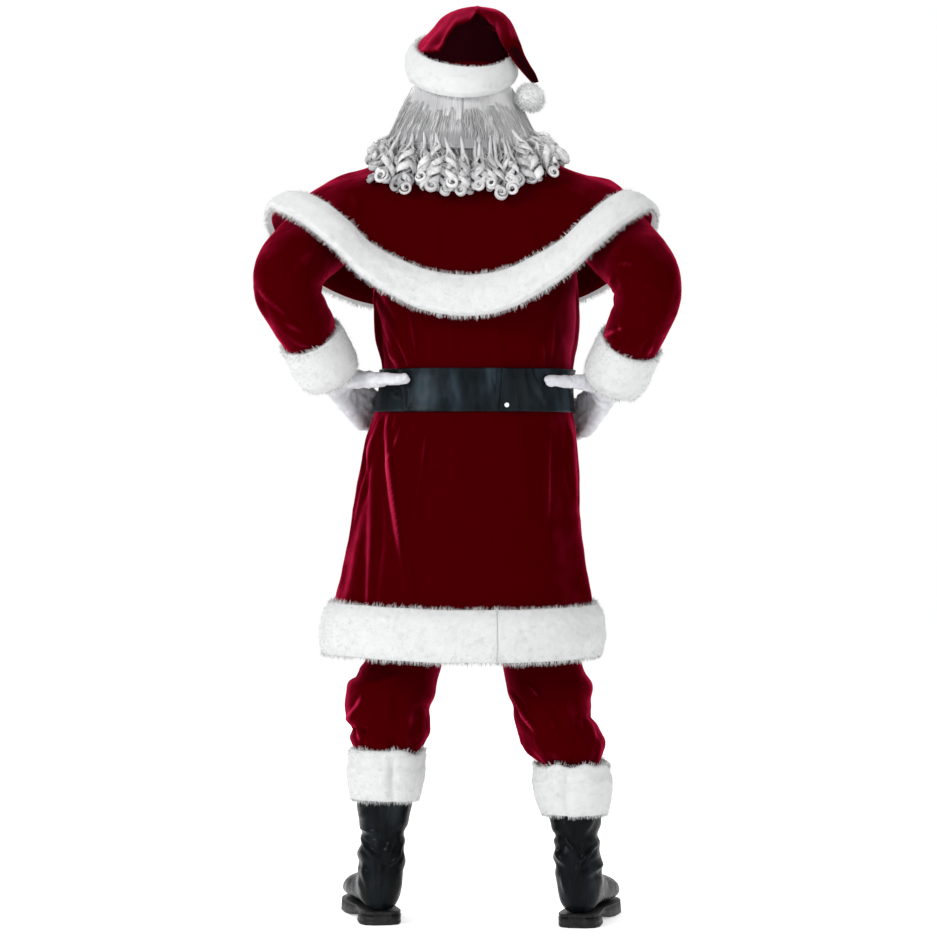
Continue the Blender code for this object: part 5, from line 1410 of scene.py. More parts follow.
def hat_piece():
    grid = finer_along(hat_rings(144), 0, 109)
    backward = outward(grid, closed=True)[..., 1]
    behind = soft_step(backward / 0.45)
    rows = np.linspace(0, len(HAT["left_x"]) - 1, len(grid))[:, None]
    on_crown = soft_step((HAT_CROWN_ROWS - rows) / 0.9)
    level = grid[..., 2]
    under = np.interp(grid[..., 0], HAT_FOLD["x"], HAT_FOLD["z"]) - level
    fades = soft_step((0.062 - grid[..., 0]) / 0.045)
    within = soft_step((grid[..., 0] - np.interp(level, HAT_FLAP_EDGE["z"], HAT_FLAP_EDGE["x"])) / 0.004)
    within = np.maximum(soft_step((HAT_FLAP_ROWS - rows) / 0.5), within)
    shaded = soft_step(under / 0.006) * (grid[..., 1] > 0) * within
    hollow = soft_step(under / 0.010) * soft_step((backward - 0.35) / 0.4) * on_crown * fades
    fading = soft_step((level - HAT_BRIM) / 0.06)
    narrow = np.minimum(1, (np.interp(rows, range(len(HAT["half_depth"])), HAT["half_depth"]) / 0.085) ** 2)
    lifted = HAT_FOLD_LIFT * bell(under + 0.004, 0.006) * behind * on_crown
    lifted -= HAT_HOLLOW * hollow * fading * narrow
    lifted += relief(grid, HAT_CREASES, BEHIND, closed=True) + relief(grid, HAT_CREASES, BEFORE, closed=True)
    lifted += uneven(grid, *SOFT, seed=60)
    lifted *= np.minimum(1, 0.25 + 1.5 * np.linspace(1, 0, len(grid))[:, None])
    # Painted shade under the fold, a paler crown and a darker tail, all stronger where the hat faces back.
    nap = np.interp(rows, (8.0, 9.2, 10.2), (HAT_CROWN_TONE, 0.1, HAT_TAIL_TONE)) * (1 - shaded)
    nap += HAT_PAINTED_SHADE_UNDER_FOLD * shaded * soft_step((level - HAT_BRIM - 0.004) / 0.03)
    nap *= 0.55 + 0.45 * behind
    shell(
        "hat_velvet",
        grid,
        lifted,
        HAT_CLOTH,
        VELVET,
        ("hat_crown",),
        closed=True,
        cap=True,
        nap=nap,
    )


# Where the trousers blouse over the boots they are pinched into folds.
TROUSER_CREASES = {
    +1: creases(
        (0.202, -1.067, 0.217, -1.098, 0.0052, 0.0060, 0.002),
        (0.215, -1.094, 0.234, -1.121, 0.0052, 0.0060),
        (0.186, -1.044, 0.130, -1.030, 0.0030, 0.009),
        (0.217, -1.131, 0.205, -1.156, 0.0055, 0.0055),
        (0.090, -1.094, 0.082, -1.112, 0.0035, 0.007),
        (0.150, -1.060, 0.158, -1.130, 0.0040, 0.012),
        (0.112, -1.090, 0.122, -1.150, 0.0035, 0.009),
    ),
    -1: creases(
        (-0.121, -1.042, -0.153, -1.083, 0.0042, 0.0036),
        (-0.0905, -1.066, -0.117, -1.112, 0.0056, 0.0046, 0.002),
        (-0.112, -1.104, -0.139, -1.139, 0.0056, 0.0046),
        (-0.238, -1.116, -0.252, -1.154, 0.0055, 0.007),
        (-0.190, -1.060, -0.204, -1.130, 0.0040, 0.013),
        (-0.166, -1.100, -0.176, -1.150, 0.0035, 0.009),
    ),
}


# The pinches between its blouses, as seen from outside and from the other leg.
TROUSER_OUTER_CREASES = {
    +1: creases(
        (-0.09, -1.034, 0.10, -1.036, -0.0040, 0.0100),
        (-0.09, -1.098, 0.10, -1.096, 0.0014, 0.0260),
        (-0.08, -1.142, 0.10, -1.139, -0.0045, 0.0120),
    ),
    -1: creases(
        (-0.09, -1.052, 0.10, -1.054, 0.0030, 0.0180),
        (-0.09, -1.110, 0.10, -1.114, -0.0040, 0.0130),
        (-0.08, -1.160, 0.10, -1.160, 0.0026, 0.0220),
    ),
}
TROUSER_INNER_CREASES = {
    +1: creases(
        (-0.08, -1.098, 0.09, -1.098, -0.0026, 0.0150),
        (-0.08, -1.145, 0.09, -1.148, 0.0034, 0.0200),
    ),
    -1: creases((-0.08, -1.100, 0.09, -1.090, -0.0018, 0.0160)),
}


TROUSER_GATHER = {+1: -1.165, -1: -1.185}  # the height at which each leg is gathered in the most
GATHER_REACH = 0.035  # how far above and below that its gathers run
GATHERS = ((0.020, 0.0045), (0.008, 0.002))  # their widths and heights
GATHER_LONG = 0.22  # their width over their length
TROUSER_SMOOTH = CROTCH_HEIGHT + 0.05  # above this they have no creases, under the coat


def trouser_pieces():
    for side, word in SIDES:
        heights = np.linspace(LEGS[side]["height"][0], CROTCH_HEIGHT, 107)
        for face, place in ((1, "back"), (-1, "front")):
            rows = [leg_row(side, face, height, 65) for height in heights]
            for row in rows:
                row[:, 0] = CROTCH_X + side * np.maximum(CROTCH_GAP, side * (row[:, 0] - CROTCH_X))
            rows += [pelvis_row(side, face, rise, 65) for rise in np.linspace(0.05, 1, 12)]
            grid = np.array(rows)
            grid = parted(grid if side * face > 0 else grid[:, ::-1])
            gathered = grid * (1, 1, GATHER_LONG)
            near = bell(grid[..., 2] - TROUSER_GATHER[side], GATHER_REACH)
            lifted = (
                relief(grid, TROUSER_CREASES[side], (0, face, 0))
                + relief(grid, TROUSER_OUTER_CREASES[side], (side, 0, 0))
                + relief(grid, TROUSER_INNER_CREASES[side], (-side, 0, 0))
                + uneven(grid, *SOFT, seed=80)
                + near * uneven(gathered, *GATHERS, seed=81)
            )
            lifted *= soft_step((TROUSER_SMOOTH - grid[..., 2]) / 0.08)
            lifted += seam_dip(grid)
            name = f"trousers_{place}_{word}"
            shell(f"{name}_velvet", grid, lifted, CLOTH, VELVET, (name,))


# ---------------------------------------------------------------- fur

PILE = 0.80  # the share of a band's reach that its dense pile fills, under the tips
CLUMP = 0.013  # how far apart the tufts of the pile are
STRAND = 0.0010  # a strand's width at its root
DARK_SHARE = 0.16  # how many of the strands along a band's edges are dark
TUFTED, LOOSE, SPLAY = 0.45, 0.18, 0.9  # how far strands draw together, stray, and splay at the edges
PILE_PAINTED_SHADE = 0.26  # the pile is painted as dark as a strand near its root: painted shade in the pile
ROOTED = 0.003  # how deep in the pile a strand starts


def scattered(grid, count, rng, closed=False, at_edges=0):
    """Points spread over a grid, their normals, and their place on it: row and column shares. At its
    first and last rows they stand closer together."""
    if closed:
        grid = np.concatenate([grid, grid[:, :1]], axis=1)
    a, b, c, d = grid[:-1, :-1], grid[:-1, 1:], grid[1:, 1:], grid[1:, :-1]
    crossed = np.cross(c - a, d - b)
    areas = np.linalg.norm(crossed, axis=-1) / 2
    areas = areas * (1 + at_edges * np.abs(np.linspace(-1, 1, len(areas))[:, None]) ** 6)
    if not closed:
        areas = areas * (1 + 2 * np.abs(np.linspace(-1, 1, areas.shape[1])) ** 120)
    cells = rng.choice(areas.size, count, p=(areas / areas.sum()).ravel())
    r, k = np.unravel_index(cells, areas.shape)
    u, v = rng.random((2, count, 1))
    places = (a[r, k] * (1 - u) + b[r, k] * u) * (1 - v) + (d[r, k] * (1 - u) + c[r, k] * u) * v
    normals = unit(crossed[r, k])
    shares = (r + v[:, 0]) / areas.shape[0], (k + u[:, 0]) / areas.shape[1]
    return places, normals, shares


def strand_mesh(name, roots, directions, bends, lengths, rng, dark=0, root_tone=0.05):
    """Tapering strands of three points' length each: root, middle and tip. Some may be dark."""
    count = len(roots)
    across = unit(np.cross(directions, rng.normal(size=(count, 3)))) * (STRAND / 2)
    middle = roots + directions * (lengths * 0.5)[:, None]
    tips = roots + directions * (lengths * 0.92)[:, None] + bends * (lengths * 0.55)[:, None]
    middle = middle + bends * (lengths * 0.12)[:, None]
    points = np.stack(
        [roots - across, roots + across, middle + across * 0.8, middle - across * 0.8, tips], axis=1
    )
    first = np.arange(count)[:, None] * 5
    quads, ends = first + (0, 1, 2, 3), first + (3, 2, 4)
    mesh = mesh_of(name, points.reshape(-1, 3), quads, ends)
    pale = np.ones(count) - dark
    # Strands are painted darker towards the root (root_tone): painted shade down in the pile.
    set_values(
        mesh,
        along=np.repeat(pale, 5) * np.tile((root_tone, root_tone, 0.55, 0.55, 1.0), count),
        shade=np.repeat(rng.random(count) * pale, 5),
    )
    return mesh


def combed(places, normals, lean, rng):
    """Directions of strands that stand off a surface, lean one way and draw together into tufts."""
    tufts = np.stack([noise(places, CLUMP, 30 + k) for k in range(3)], axis=-1)
    loose = rng.normal(scale=LOOSE, size=places.shape)
    return unit(normals + lean + TUFTED * tufts + loose)


LUMPS = ((CLUMP, 0.05), (CLUMP * 0.5, 0.05), (0.05, 0.08))  # sizes in metres, heights as shares of the pile


def fur_core(name, base, reach, swell, stands_for, closed):
    """The dense pile of a band of fur: a pillow over its base, lumpy with tufts. It gives back the grid
    of its outside and both rims."""
    directions = outward(base, closed)
    lumps = 1 + uneven(base, *LUMPS, seed=3)
    outer = base + directions * (LAYER + reach * PILE * swell * lumps)[..., None]
    inner = (base + directions * LAYER)[:: len(base) - 1]
    rows, columns = base.shape[:2]
    points = np.concatenate([outer.reshape(-1, 3), inner.reshape(-1, 3)])
    fine, back = np.arange(rows * columns).reshape(rows, columns), rows * columns + np.arange(2 * columns)
    loop = np.concatenate([fine, back.reshape(2, columns)[::-1]])
    places = quads_of(*loop.shape, wrap_rows=True, wrap_columns=closed)
    mesh = mesh_of(name, points, loop.ravel()[places])
    if not closed:
        close_ends(mesh, loop[:, 0], loop[::-1, -1])
    # The pile is painted dark: painted shade down in the fur.
    set_values(mesh, along=np.full(len(points), PILE_PAINTED_SHADE), shade=0.5 + 0.34 * noise(points, CLUMP * 0.5, 8))
    add_piece(name, mesh, FUR, stands_for)
    return np.concatenate([inner[:1], outer, inner[-1:]])


def fur_band(
    solid, base, reach, swell, count, furrow=0, closed=False, lean=(0, 0, -0.35), length=0.009, name=None
):
    """A band of plush: its pile, which swells by these shares of its reach from edge to edge, and its
    strands, which splay outwards at both edges."""
    name = name or f"{solid}_plush"
    rng = np.random.default_rng(sum(map(ord, name)))
    rows_at = np.linspace(0, len(swell) - 1, len(base))
    swell = smooth_curve(rows_at, range(len(swell)), swell)[:, None] * (1 - furrow)
    outer = fur_core(name, base, reach, swell, (solid,), closed)
    places, normals, (up, along) = scattered(outer, count, rng, closed, at_edges=1.2)
    splay = (up * 2 - 1) ** 5
    rows = unit(outer[-1] - outer[0])
    column = np.clip((along * (len(rows) - 1)).astype(int), 0, len(rows) - 1)
    away = rows[column] * splay[:, None]
    if not closed:
        middles = outer.mean(axis=0)
        last, first = unit(middles[-1] - middles[-2]), unit(middles[0] - middles[1])
        away += 0.3 * (last * along[:, None] ** 90 + first * (1 - along[:, None]) ** 90)
    directions = combed(places, normals, np.array(lean) + SPLAY * away, rng)
    tufted = 1 + 0.22 * noise(places, CLUMP * 0.8, 50)
    lengths = length * tufted * rng.uniform(0.72, 1.08, count) * (0.65 + 0.45 * np.abs(splay))
    bends = unit(np.array(lean) + 0.25 * normals + 0.35 * rng.normal(size=places.shape) + 0.4 * away)
    roots = places - normals * ROOTED
    dark = (np.abs(splay) > 0.5) & (rng.random(count) < DARK_SHARE)
    mesh = strand_mesh(f"{name}_strands", roots, directions, bends, lengths, rng, dark * 0.97)
    add_piece(f"{name}_strands", mesh, FUR)


HEM_FUR_ROWS = (HEM - 0.004, -0.950, -0.915, HEM + HEM_FUR_HEIGHT)
TOPPER_WAVE, TOPPER_WAVE_SIZE = 0.0060, 0.026  # how unevenly a boot's fur top ends
TOPPER_CREASE = {+1: 0.149, -1: -0.199}  # where a furrow runs down it behind
TOPPER_CREASE_WIDE, TOPPER_CREASE_DEEP = 0.005, 0.45  # its width, and its depth as a share of the pile
# How much lower the hem's fur hangs behind, by how far to the wearer's left.
HEM_SAG = table("x sag", (-0.26, 0.006), (-0.10, 0.010), (0.05, 0.010), (0.26, 0.0))


def fur_pieces(cape):
    """Every band of fur, each with its strands."""
    for word, first, last in (("left", -90, HEM_FUR_JOIN), ("right", HEM_FUR_JOIN, 270)):
        base = parted(finer_along(coat_base(HEM_FUR_ROWS, np.linspace(first, last, 241)), 0, 25))
        behind = soft_step(base[..., 1] / 0.12)
        base[..., 2] -= behind * np.interp(base[..., 0], HEM_SAG["x"], HEM_SAG["sag"])
        fur_band(f"hem_fur_{word}", base, HEM_FUR_THICK, (0.45, 1.0, 0.95, 0.42), 10500)
    edge = finer(outer_face(cape, CLOTH)[:CAPE_FUR_ROWS], 25, 385)
    fur_band("cape_fur", edge, CAPE_FUR_THICK, (0.45, 0.9, 1.0, 0.45), 20000)
    for side, word in SIDES:
        rings = outer_face(sleeve_rings(side, columns=96), CLOTH, closed=True)[-CUFF_FUR_ROWS:]
        base = finer_along(rings, 0, 29)
        fur_band(f"cuff_fur_{word}", base, CUFF_THICK, (0.5, 0.95, 1.0, 1.0, 0.55), 5500, closed=True)
        base = finer_along(topper_rings(side, 96), 0, 25)
        share = np.linspace(0, 1, len(base))[:, None]
        base[..., 2] += TOPPER_WAVE * noise(base * (1, 1, 0), TOPPER_WAVE_SIZE, 90 + side) * (0.25 + share**2)
        furrow = bell(base[..., 0] - TOPPER_CREASE[side], TOPPER_CREASE_WIDE) * (base[..., 1] > 0.02)
        furrow = TOPPER_CREASE_DEEP * furrow
        swell = (0.55, 0.95, 1.2, 0.34)
        fur_band(f"boot_fur_{word}", base, TOPPER_THICK, swell, 5000, furrow, closed=True, lean=(0, 0, -0.1))
    rings = hat_rings(96)
    below = rings[0] + (rings[0] - rings[2]) * HAT_BAND_OVERHANG
    base = finer_along(outer_face(np.array([below, *rings[:3]]), HAT_CLOTH, closed=True), 0, 25)
    nap = {"lean": (0, 0, -0.15), "length": 0.006, "name": "hat_band_plush"}
    fur_band("hat_fur_band", base, HAT_BAND_THICK, (0.55, 1.0, 1.0, 0.5), 6000, closed=True, **nap)
    pompom_pieces()


def topper_rings(side, columns):
    """The inside of a boot's fur top, ring by ring from its lower edge."""
    rings = []
    for height, flare in zip(TOPPER_ROWS[side], TOPPER_FLARE):
        ring = boot_shaft_ring(min(height, SHAFT_TOP), columns)
        ring[:, :2] *= flare
        ring[:, 2] = height
        rings.append(ring)
    return to_boot_place(side, np.array(rings))


def pompom_pieces():
    """A ball of plush at the tip of the hat's tail."""
    rng = np.random.default_rng(12)
    edit = bmesh.new()
    bmesh.ops.create_icosphere(edit, subdivisions=5, radius=1)
    mesh = bpy.data.meshes.new("pompom_plush")
    edit.to_mesh(mesh)
    edit.free()
    directions = np.empty(len(mesh.vertices) * 3)
    mesh.vertices.foreach_get("co", directions)
    directions = unit(directions.reshape(-1, 3))
    reach = POMPOM_RADIUS * (0.88 + 0.06 * noise(directions * POMPOM_RADIUS, CLUMP, 7))
    points = directions * reach[:, None] + POMPOM_CENTRE
    mesh.vertices.foreach_set("co", points.ravel())
    # The ball is painted the full white of the tips, paler than the other bands' pile: painted light against
    # the shade it sits in.
    set_values(mesh, along=np.full(len(points), 1.0), shade=0.5 + 0.5 * noise(points, CLUMP * 0.6, 8))
    add_piece("pompom_plush", mesh, FUR, ("hat_pompom",))
    count = 2000
    normals = unit(rng.normal(size=(count, 3)))
    places = normals * POMPOM_RADIUS * 0.86 + POMPOM_CENTRE
    aims = combed(places, normals, np.zeros(3), rng)
    lengths = POMPOM_RADIUS * rng.uniform(0.12, 0.24, count)
    # Its strands get almost none of the painted root shade: painted light.
    strands = strand_mesh("pompom_strands", places, aims, aims, lengths, rng, root_tone=0.9)
    add_piece("pompom_strands", strands, FUR)


# ---------------------------------------------------------------- wig


def over_cape(outside, azimuth, share, lift):
    """A point over the cape's outside, lifted off it."""
    column = np.interp(azimuth, CAPE_COLUMNS, range(RING + 1))
    row = np.interp(share, CAPE_ROWS[::-1], range(len(CAPE_ROWS))[::-1])
    points = outside + outward(outside) * lift
    low, left = min(int(row), len(CAPE_ROWS) - 2), min(int(column), RING - 1)
    down, across = row - low, column - left
    ahead = points[low, left] * (1 - across) + points[low, left + 1] * across
    above = points[low + 1, left] * (1 - across) + points[low + 1, left + 1] * across
    return ahead * (1 - down) + above * down


def hair_grid(heights, columns):
    """The hair's inside between its face edges, row by row from the lowest."""
    sizes = look_up(WIG, "height", heights)
    rows = []
    for k, height in enumerate(heights):
        half, back, front, gap, tilt = (
            float(sizes[name][k]) for name in ("half_width", "back", "front", "gap", "tilt")
        )
        rows.append(hair_row(height, half, back, front, tilt, np.linspace(-90 + gap, 270 - gap, columns)))
    return np.array(rows)


def section_rows(line, out, width, depth, sides=8):
    """Rings of a flat lock along a line: wide across it, and thin along out."""
    along = unit(slope_along(line, 0, False))
    out = unit(out - along * (out * along).sum(-1, keepdims=True))
    wide = np.cross(along, out)
    turn = np.linspace(0, 2 * math.pi, sides, endpoint=False)[None, :, None]
    width, depth = np.reshape(width, (-1, 1, 1)) / 2, np.reshape(depth, (-1, 1, 1)) / 2
    return line[:, None] + np.cos(turn) * wide[:, None] * width + np.sin(turn) * out[:, None] * depth


class Locks:
    """Gathers locks of hair into one mesh."""

    def __init__(self, sides):
        self.sides, self.points, self.quads, self.across, self.shade = sides, [], [], [], []
        self.count = 0

    def add(self, line, out, width, depth, shade):
        rings = section_rows(line, out, width, depth, self.sides)
        stations = len(rings)
        self.quads.append(quads_of(stations, self.sides, wrap_columns=True) + self.count)
        ends = np.arange(self.sides)
        self.points.append(rings.reshape(-1, 3))
        turn = np.cos(2 * math.pi * ends / self.sides)
        self.across.append(np.tile(turn * 0.5 + shade * 7.3, stations))
        self.shade.append(np.full(stations * self.sides, shade))
        self.count += stations * self.sides

    def piece(self, name, stands_for=()):
        mesh = mesh_of(name, np.concatenate(self.points), np.concatenate(self.quads))
        set_values(mesh, across=np.concatenate(self.across), shade=np.concatenate(self.shade))
        add_piece(name, mesh, HAIR, stands_for)


def bowed(start, middle, end, steps):
    t = np.linspace(0, 1, steps)[:, None]
    return start * (1 - t) ** 2 + middle * 2 * t * (1 - t) + end * t**2


RINGLET_COILED = (0.32, 0.50)  # the share of a ringlet's length where its coils begin, from and to
RINGLET_TURN = (0.052, 0.062)  # metres of its length to one turn, from and to
RINGLET_THICK = 0.40  # a lock's thickness, as a share of the ringlet's radius


def ringlet(locks, path, radius, rng, shade):
    """Two flat locks that hang side by side, and further down are wound into wide coils."""
    t = np.linspace(0, 1, 37)
    axis, along = at_shares(path, t)
    side = unit(np.cross(along, (0.3, 0.8, 0.2)))
    other = np.cross(along, side)
    length = np.linalg.norm(np.diff(path, axis=0), axis=1).sum()
    coiled = rng.uniform(*RINGLET_COILED)
    wound = length / rng.uniform(*RINGLET_TURN) * (0.22 * t + np.maximum(0, t - coiled) ** 1.3)
    handed, start = rng.choice((-1, 1)), rng.uniform(0, 2 * math.pi)
    swell = radius * (0.30 + 0.70 * soft_step((t - coiled + 0.12) / 0.34)) * soft_step((t + 0.08) / 0.30)
    swell *= 1 - 0.35 * soft_step((t - 0.90) / 0.10)
    taper = (0.15 + 0.85 * np.sqrt(np.clip(t / 0.09, 0, 1))) * (0.35 + 0.65 * soft_step((1 - t) / 0.06))
    taper *= 0.55 + 0.45 * soft_step(t / 0.30)
    for strand in range(2):
        turn = 2 * math.pi * (handed * wound + strand / 2 + rng.uniform(-0.08, 0.08)) + start
        out = spun(turn, side, other)
        thick = radius * RINGLET_THICK
        line = axis + out * (swell - thick * 0.5)[:, None]
        width = radius * (0.56 + 0.46 * soft_step((t - coiled) / 0.3)) * rng.uniform(0.85, 1.15)
        locks.add(line, out, width * taper, thick * taper, shade + rng.uniform(-0.3, 0.3))


def wavy(locks, path, width, rng, shade):
    """A few narrow locks side by side, which swing to and fro on their way down."""
    t = np.linspace(0, 1, 20)
    axis, along = at_shares(path, t)
    out = unit(axis * (1, 1, 0))
    wide = np.cross(along, out)
    phase = rng.uniform(0, 6.28)
    for strand in range(3):
        swing = np.sin(phase + 0.5 * strand + 11 * t) * width * 0.55 * (0.3 + 0.7 * t)
        line = axis + wide * (swing + (strand - 1) * width * 0.42)[:, None] + out * rng.uniform(0, 0.002)
        taper = (0.15 + 0.85 * soft_step(t / 0.25)) * (0.2 + 0.8 * soft_step((1 - t) / 0.15))
        locks.add(line, out, width * 0.62 * taper, width * 0.42 * taper, shade + rng.uniform(-0.25, 0.2))


def rosette(locks, centre, normal, radius, rng, shade):
    """The end of a ringlet, curled round on itself and seen from its open end."""
    normal = unit(normal)
    side = unit(np.cross(normal, (0.1, 0.2, 1.0)))
    other = np.cross(normal, side)
    start, turns = rng.uniform(0, 6.28), rng.uniform(1.3, 1.8)
    t = np.linspace(0, 1, 22)
    turn = start + rng.choice((-1, 1)) * 2 * math.pi * turns * t
    reach = radius * (0.80 - 0.50 * t)
    aim = spun(turn, side, other)
    line = centre + aim * reach[:, None] + normal * (radius * (0.10 + 0.5 * t))[:, None]
    taper = (0.5 + 0.5 * soft_step(t / 0.15)) * (1 - 0.6 * soft_step((t - 0.75) / 0.25))
    locks.add(line, aim, radius * 0.85 * taper, radius * 0.42 * taper, shade)


SWIRLS = 0.55  # the share of the ringlets whose ends show as a swirl
FRIZZ = 7  # loose strands round each ringlet
FRIZZ_WIDE, FRIZZ_THICK = 0.0015, 0.0008


def frizz(locks, path, radius, rng, shade):
    """A fine loose strand that winds about a ringlet."""
    t = np.linspace(0, 1, 12)
    first = rng.uniform(0.05, 0.5)
    axis, along = at_shares(path, first + (1.0 - first) * t * rng.uniform(0.6, 1.0))
    side = unit(np.cross(along, (0.3, 0.8, 0.2)))
    turn = rng.uniform(0, 6.28) + rng.choice((-1, 1)) * rng.uniform(3, 9) * t
    out = spun(turn, side, np.cross(along, side))
    reach = radius * (rng.uniform(0.85, 1.3) * soft_step(t / 0.3 + 0.2) + 0.15 * rng.random())
    taper = 0.3 + 0.7 * np.sin(math.pi * t)
    line = axis + out * reach[:, None]
    locks.add(line, out, FRIZZ_WIDE * taper, FRIZZ_THICK * taper, shade + rng.uniform(-0.6, 0.5))


# Rows of ringlets: how many, the hair's height where they begin, how far above the lowest they end, how
# far they stand off the cape, how thick they are, and how light: the under row is painted dark as painted
# shade between the ringlets, and the outer rows are painted paler as painted light.
RINGLETS = table(
    "count start rise lift radius light",
    (46, 0.034, 0.010, 0.000, 0.0125, -0.40),
    (33, 0.034, 0.000, 0.008, 0.0138, 0.10),
    (25, 0.046, 0.015, 0.017, 0.0132, 0.45),
)
# How low the ringlets reach, by how far to the wearer's left they hang.
RINGLET_ENDS = table(
    "x z",
    (-0.182, 0.020),
    (-0.174, -0.040),
    (-0.142, -0.060),
    (-0.113, -0.068),
    (-0.087, -0.088),
    (-0.007, -0.096),
    (0.097, -0.090),
    (0.135, -0.084),
    (0.172, -0.066),
    (0.184, 0.020),
)
FACE_GAP = 46  # half the hair's opening at the face along its lower edge, in degrees
FACE_LEFT, FACE_RIGHT = -90 + FACE_GAP, 270 - FACE_GAP
HAIR_EDGE = 0.040  # the height of the lower edge, over which its locks bend
HAIR_OVER = 0.004  # how far out from the wig's inside loose hair lies
SIDE_SWIRLS = 110  # loose swirls over the shoulders, most of them over the right one
CURTAIN_LOCKS, CURTAIN_OVER = 480, 390  # straight locks over the edge; those past the latter are behind
THIN_STRANDS, THIN_STRAND_THICK = 600, 0.0008
LONG_LOCKS = (104, 112, 118, 124, 130, 136, 142, 148, 154, 160, 66, 52, 40, 30, 20)  # azimuths of wavy locks


def ringlet_end(cape_outside, azimuth, rise):
    """How far down the cape a ringlet ends, as a share of the cape's length."""
    shares = np.linspace(0.04, 0.60, 57)
    places = np.array([over_cape(cape_outside, azimuth, share, 0.0) for share in shares])
    low = places[:, 2] < np.interp(places[:, 0], RINGLET_ENDS["x"], RINGLET_ENDS["z"]) + rise
    return shares[np.argmax(low)]


def curl_pieces(cape_outside):
    """Ringlets in rows round the hair's lower edge, each row over the one before."""
    rng = np.random.default_rng(5)
    under, locks, loose = Locks(sides=5), Locks(sides=6), Locks(sides=3)
    for row, (count, start, rise, lift, radius, light) in enumerate(zip(*RINGLETS.values())):
        into = locks if row else under
        azimuths = np.linspace(FACE_LEFT, FACE_RIGHT, int(count))
        for azimuth in azimuths + rng.uniform(-2.5, 2.5, int(count)):
            root = hair_point(start + rng.uniform(-0.014, 0.020), azimuth) + (0, 0, -0.002)
            size = radius * rng.uniform(0.82, 1.14)
            down = ringlet_end(cape_outside, azimuth, rise + rng.uniform(-0.004, 0.016))
            bow = over_cape(cape_outside, azimuth + rng.uniform(-2, 2), down * 0.60, size + lift + 0.014)
            tip = over_cape(cape_outside, azimuth + rng.uniform(-3, 3), down, size * 0.75 + lift * 0.6)
            path = bowed(root, bow, tip, 24)
            # Each row's tone is painted light or painted shade, and towards the right painted light is added.
            shade = light + rng.uniform(-0.15, 0.25) + 0.25 * painted_light_on_right(azimuth)
            ringlet(into, path, size, rng, shade)
            normal = tip - over_cape(cape_outside, azimuth, down, -0.01)
            place = tip + unit(normal) * size * 0.45
            if rng.random() < SWIRLS:
                rosette(into, place, normal + rng.normal(scale=0.0060, size=3), size * 1.15, rng, shade)
            for _ in range(FRIZZ if row else 0):
                frizz(loose, path, size, rng, shade)
    for azimuth in LONG_LOCKS:
        top, low = hair_point(0.125 + rng.uniform(-0.03, 0.012), azimuth), hair_point(HAIR_EDGE, azimuth)
        path = bowed(top, hair_point(0.085, azimuth), low * (1.04, 1.04, 1) - (0, 0, 0.015), 24)
        wavy(locks, path, rng.uniform(0.005, 0.008), rng, 0.55)
    for _ in range(SIDE_SWIRLS):
        azimuth = rng.uniform(144, 180) if rng.random() < 0.75 else rng.uniform(0, 24)
        place = over_cape(cape_outside, azimuth, rng.uniform(0.02, 0.28), rng.uniform(0.006, 0.026))
        normal = rng.normal(size=3) + (0, 1, 0.4)
        rosette(locks, place, normal, rng.uniform(0.006, 0.0095), rng, rng.uniform(0.5, 0.9))
    locks.piece("wig_ringlets", ("wig_curls",))
    under.piece("wig_ringlets_under")
    loose.piece("wig_ringlets_loose")


def hair_point(height, azimuth):
    """A place on the outside of the hair."""
    sizes = look_up(WIG, "height", np.array([height]))
    half, back, front, tilt = (float(sizes[name][0]) for name in ("half_width", "back", "front", "tilt"))
    return hair_row(height, *(size + HAIR_OVER for size in (half, back, front)), tilt, np.array([azimuth]))[0]


RIGHT_PAINTED_LIGHT, RIGHT_PAINTED_LIGHT_FROM, RIGHT_PAINTED_LIGHT_OVER = 1.20, 108, 36  # painted light towards the right: by how much, and from and over which azimuths


def painted_light_on_right(azimuth):
    """How much paler the hair is painted towards the wearer's right, where it lies in shade: painted light.
    """
    return RIGHT_PAINTED_LIGHT * soft_step((azimuth - RIGHT_PAINTED_LIGHT_FROM) / RIGHT_PAINTED_LIGHT_OVER)


HAIR_SHEEN = (0.098, 0.018, 0.30)  # the height, reach and strength of the light round the crown
HAIR_SHADES = ((0.080, 0.04, 0.25), (0.060, 0.026, 0.70))  # below a height, over a distance: how much darker
PARTING_X, PARTING_HALF, PARTING_DEPTH, PARTING_LOW = 0.006, 0.0014, 0.0022, 0.085
HAIR_STREAKS = 34  # how far the material's streaks run on from one face edge to the other
HAIR_WAVES = ((2.6, 0.0018), (0.9, 0.0007), (0.4, 0.0002))  # widths among 60 across the hair, and heights
CURTAIN_TOP, CURTAIN_THICK = 0.105, 0.0018
CURTAIN_DROP = (0.030, 0.036)  # how far the straight hair falls past its edge, beside and behind


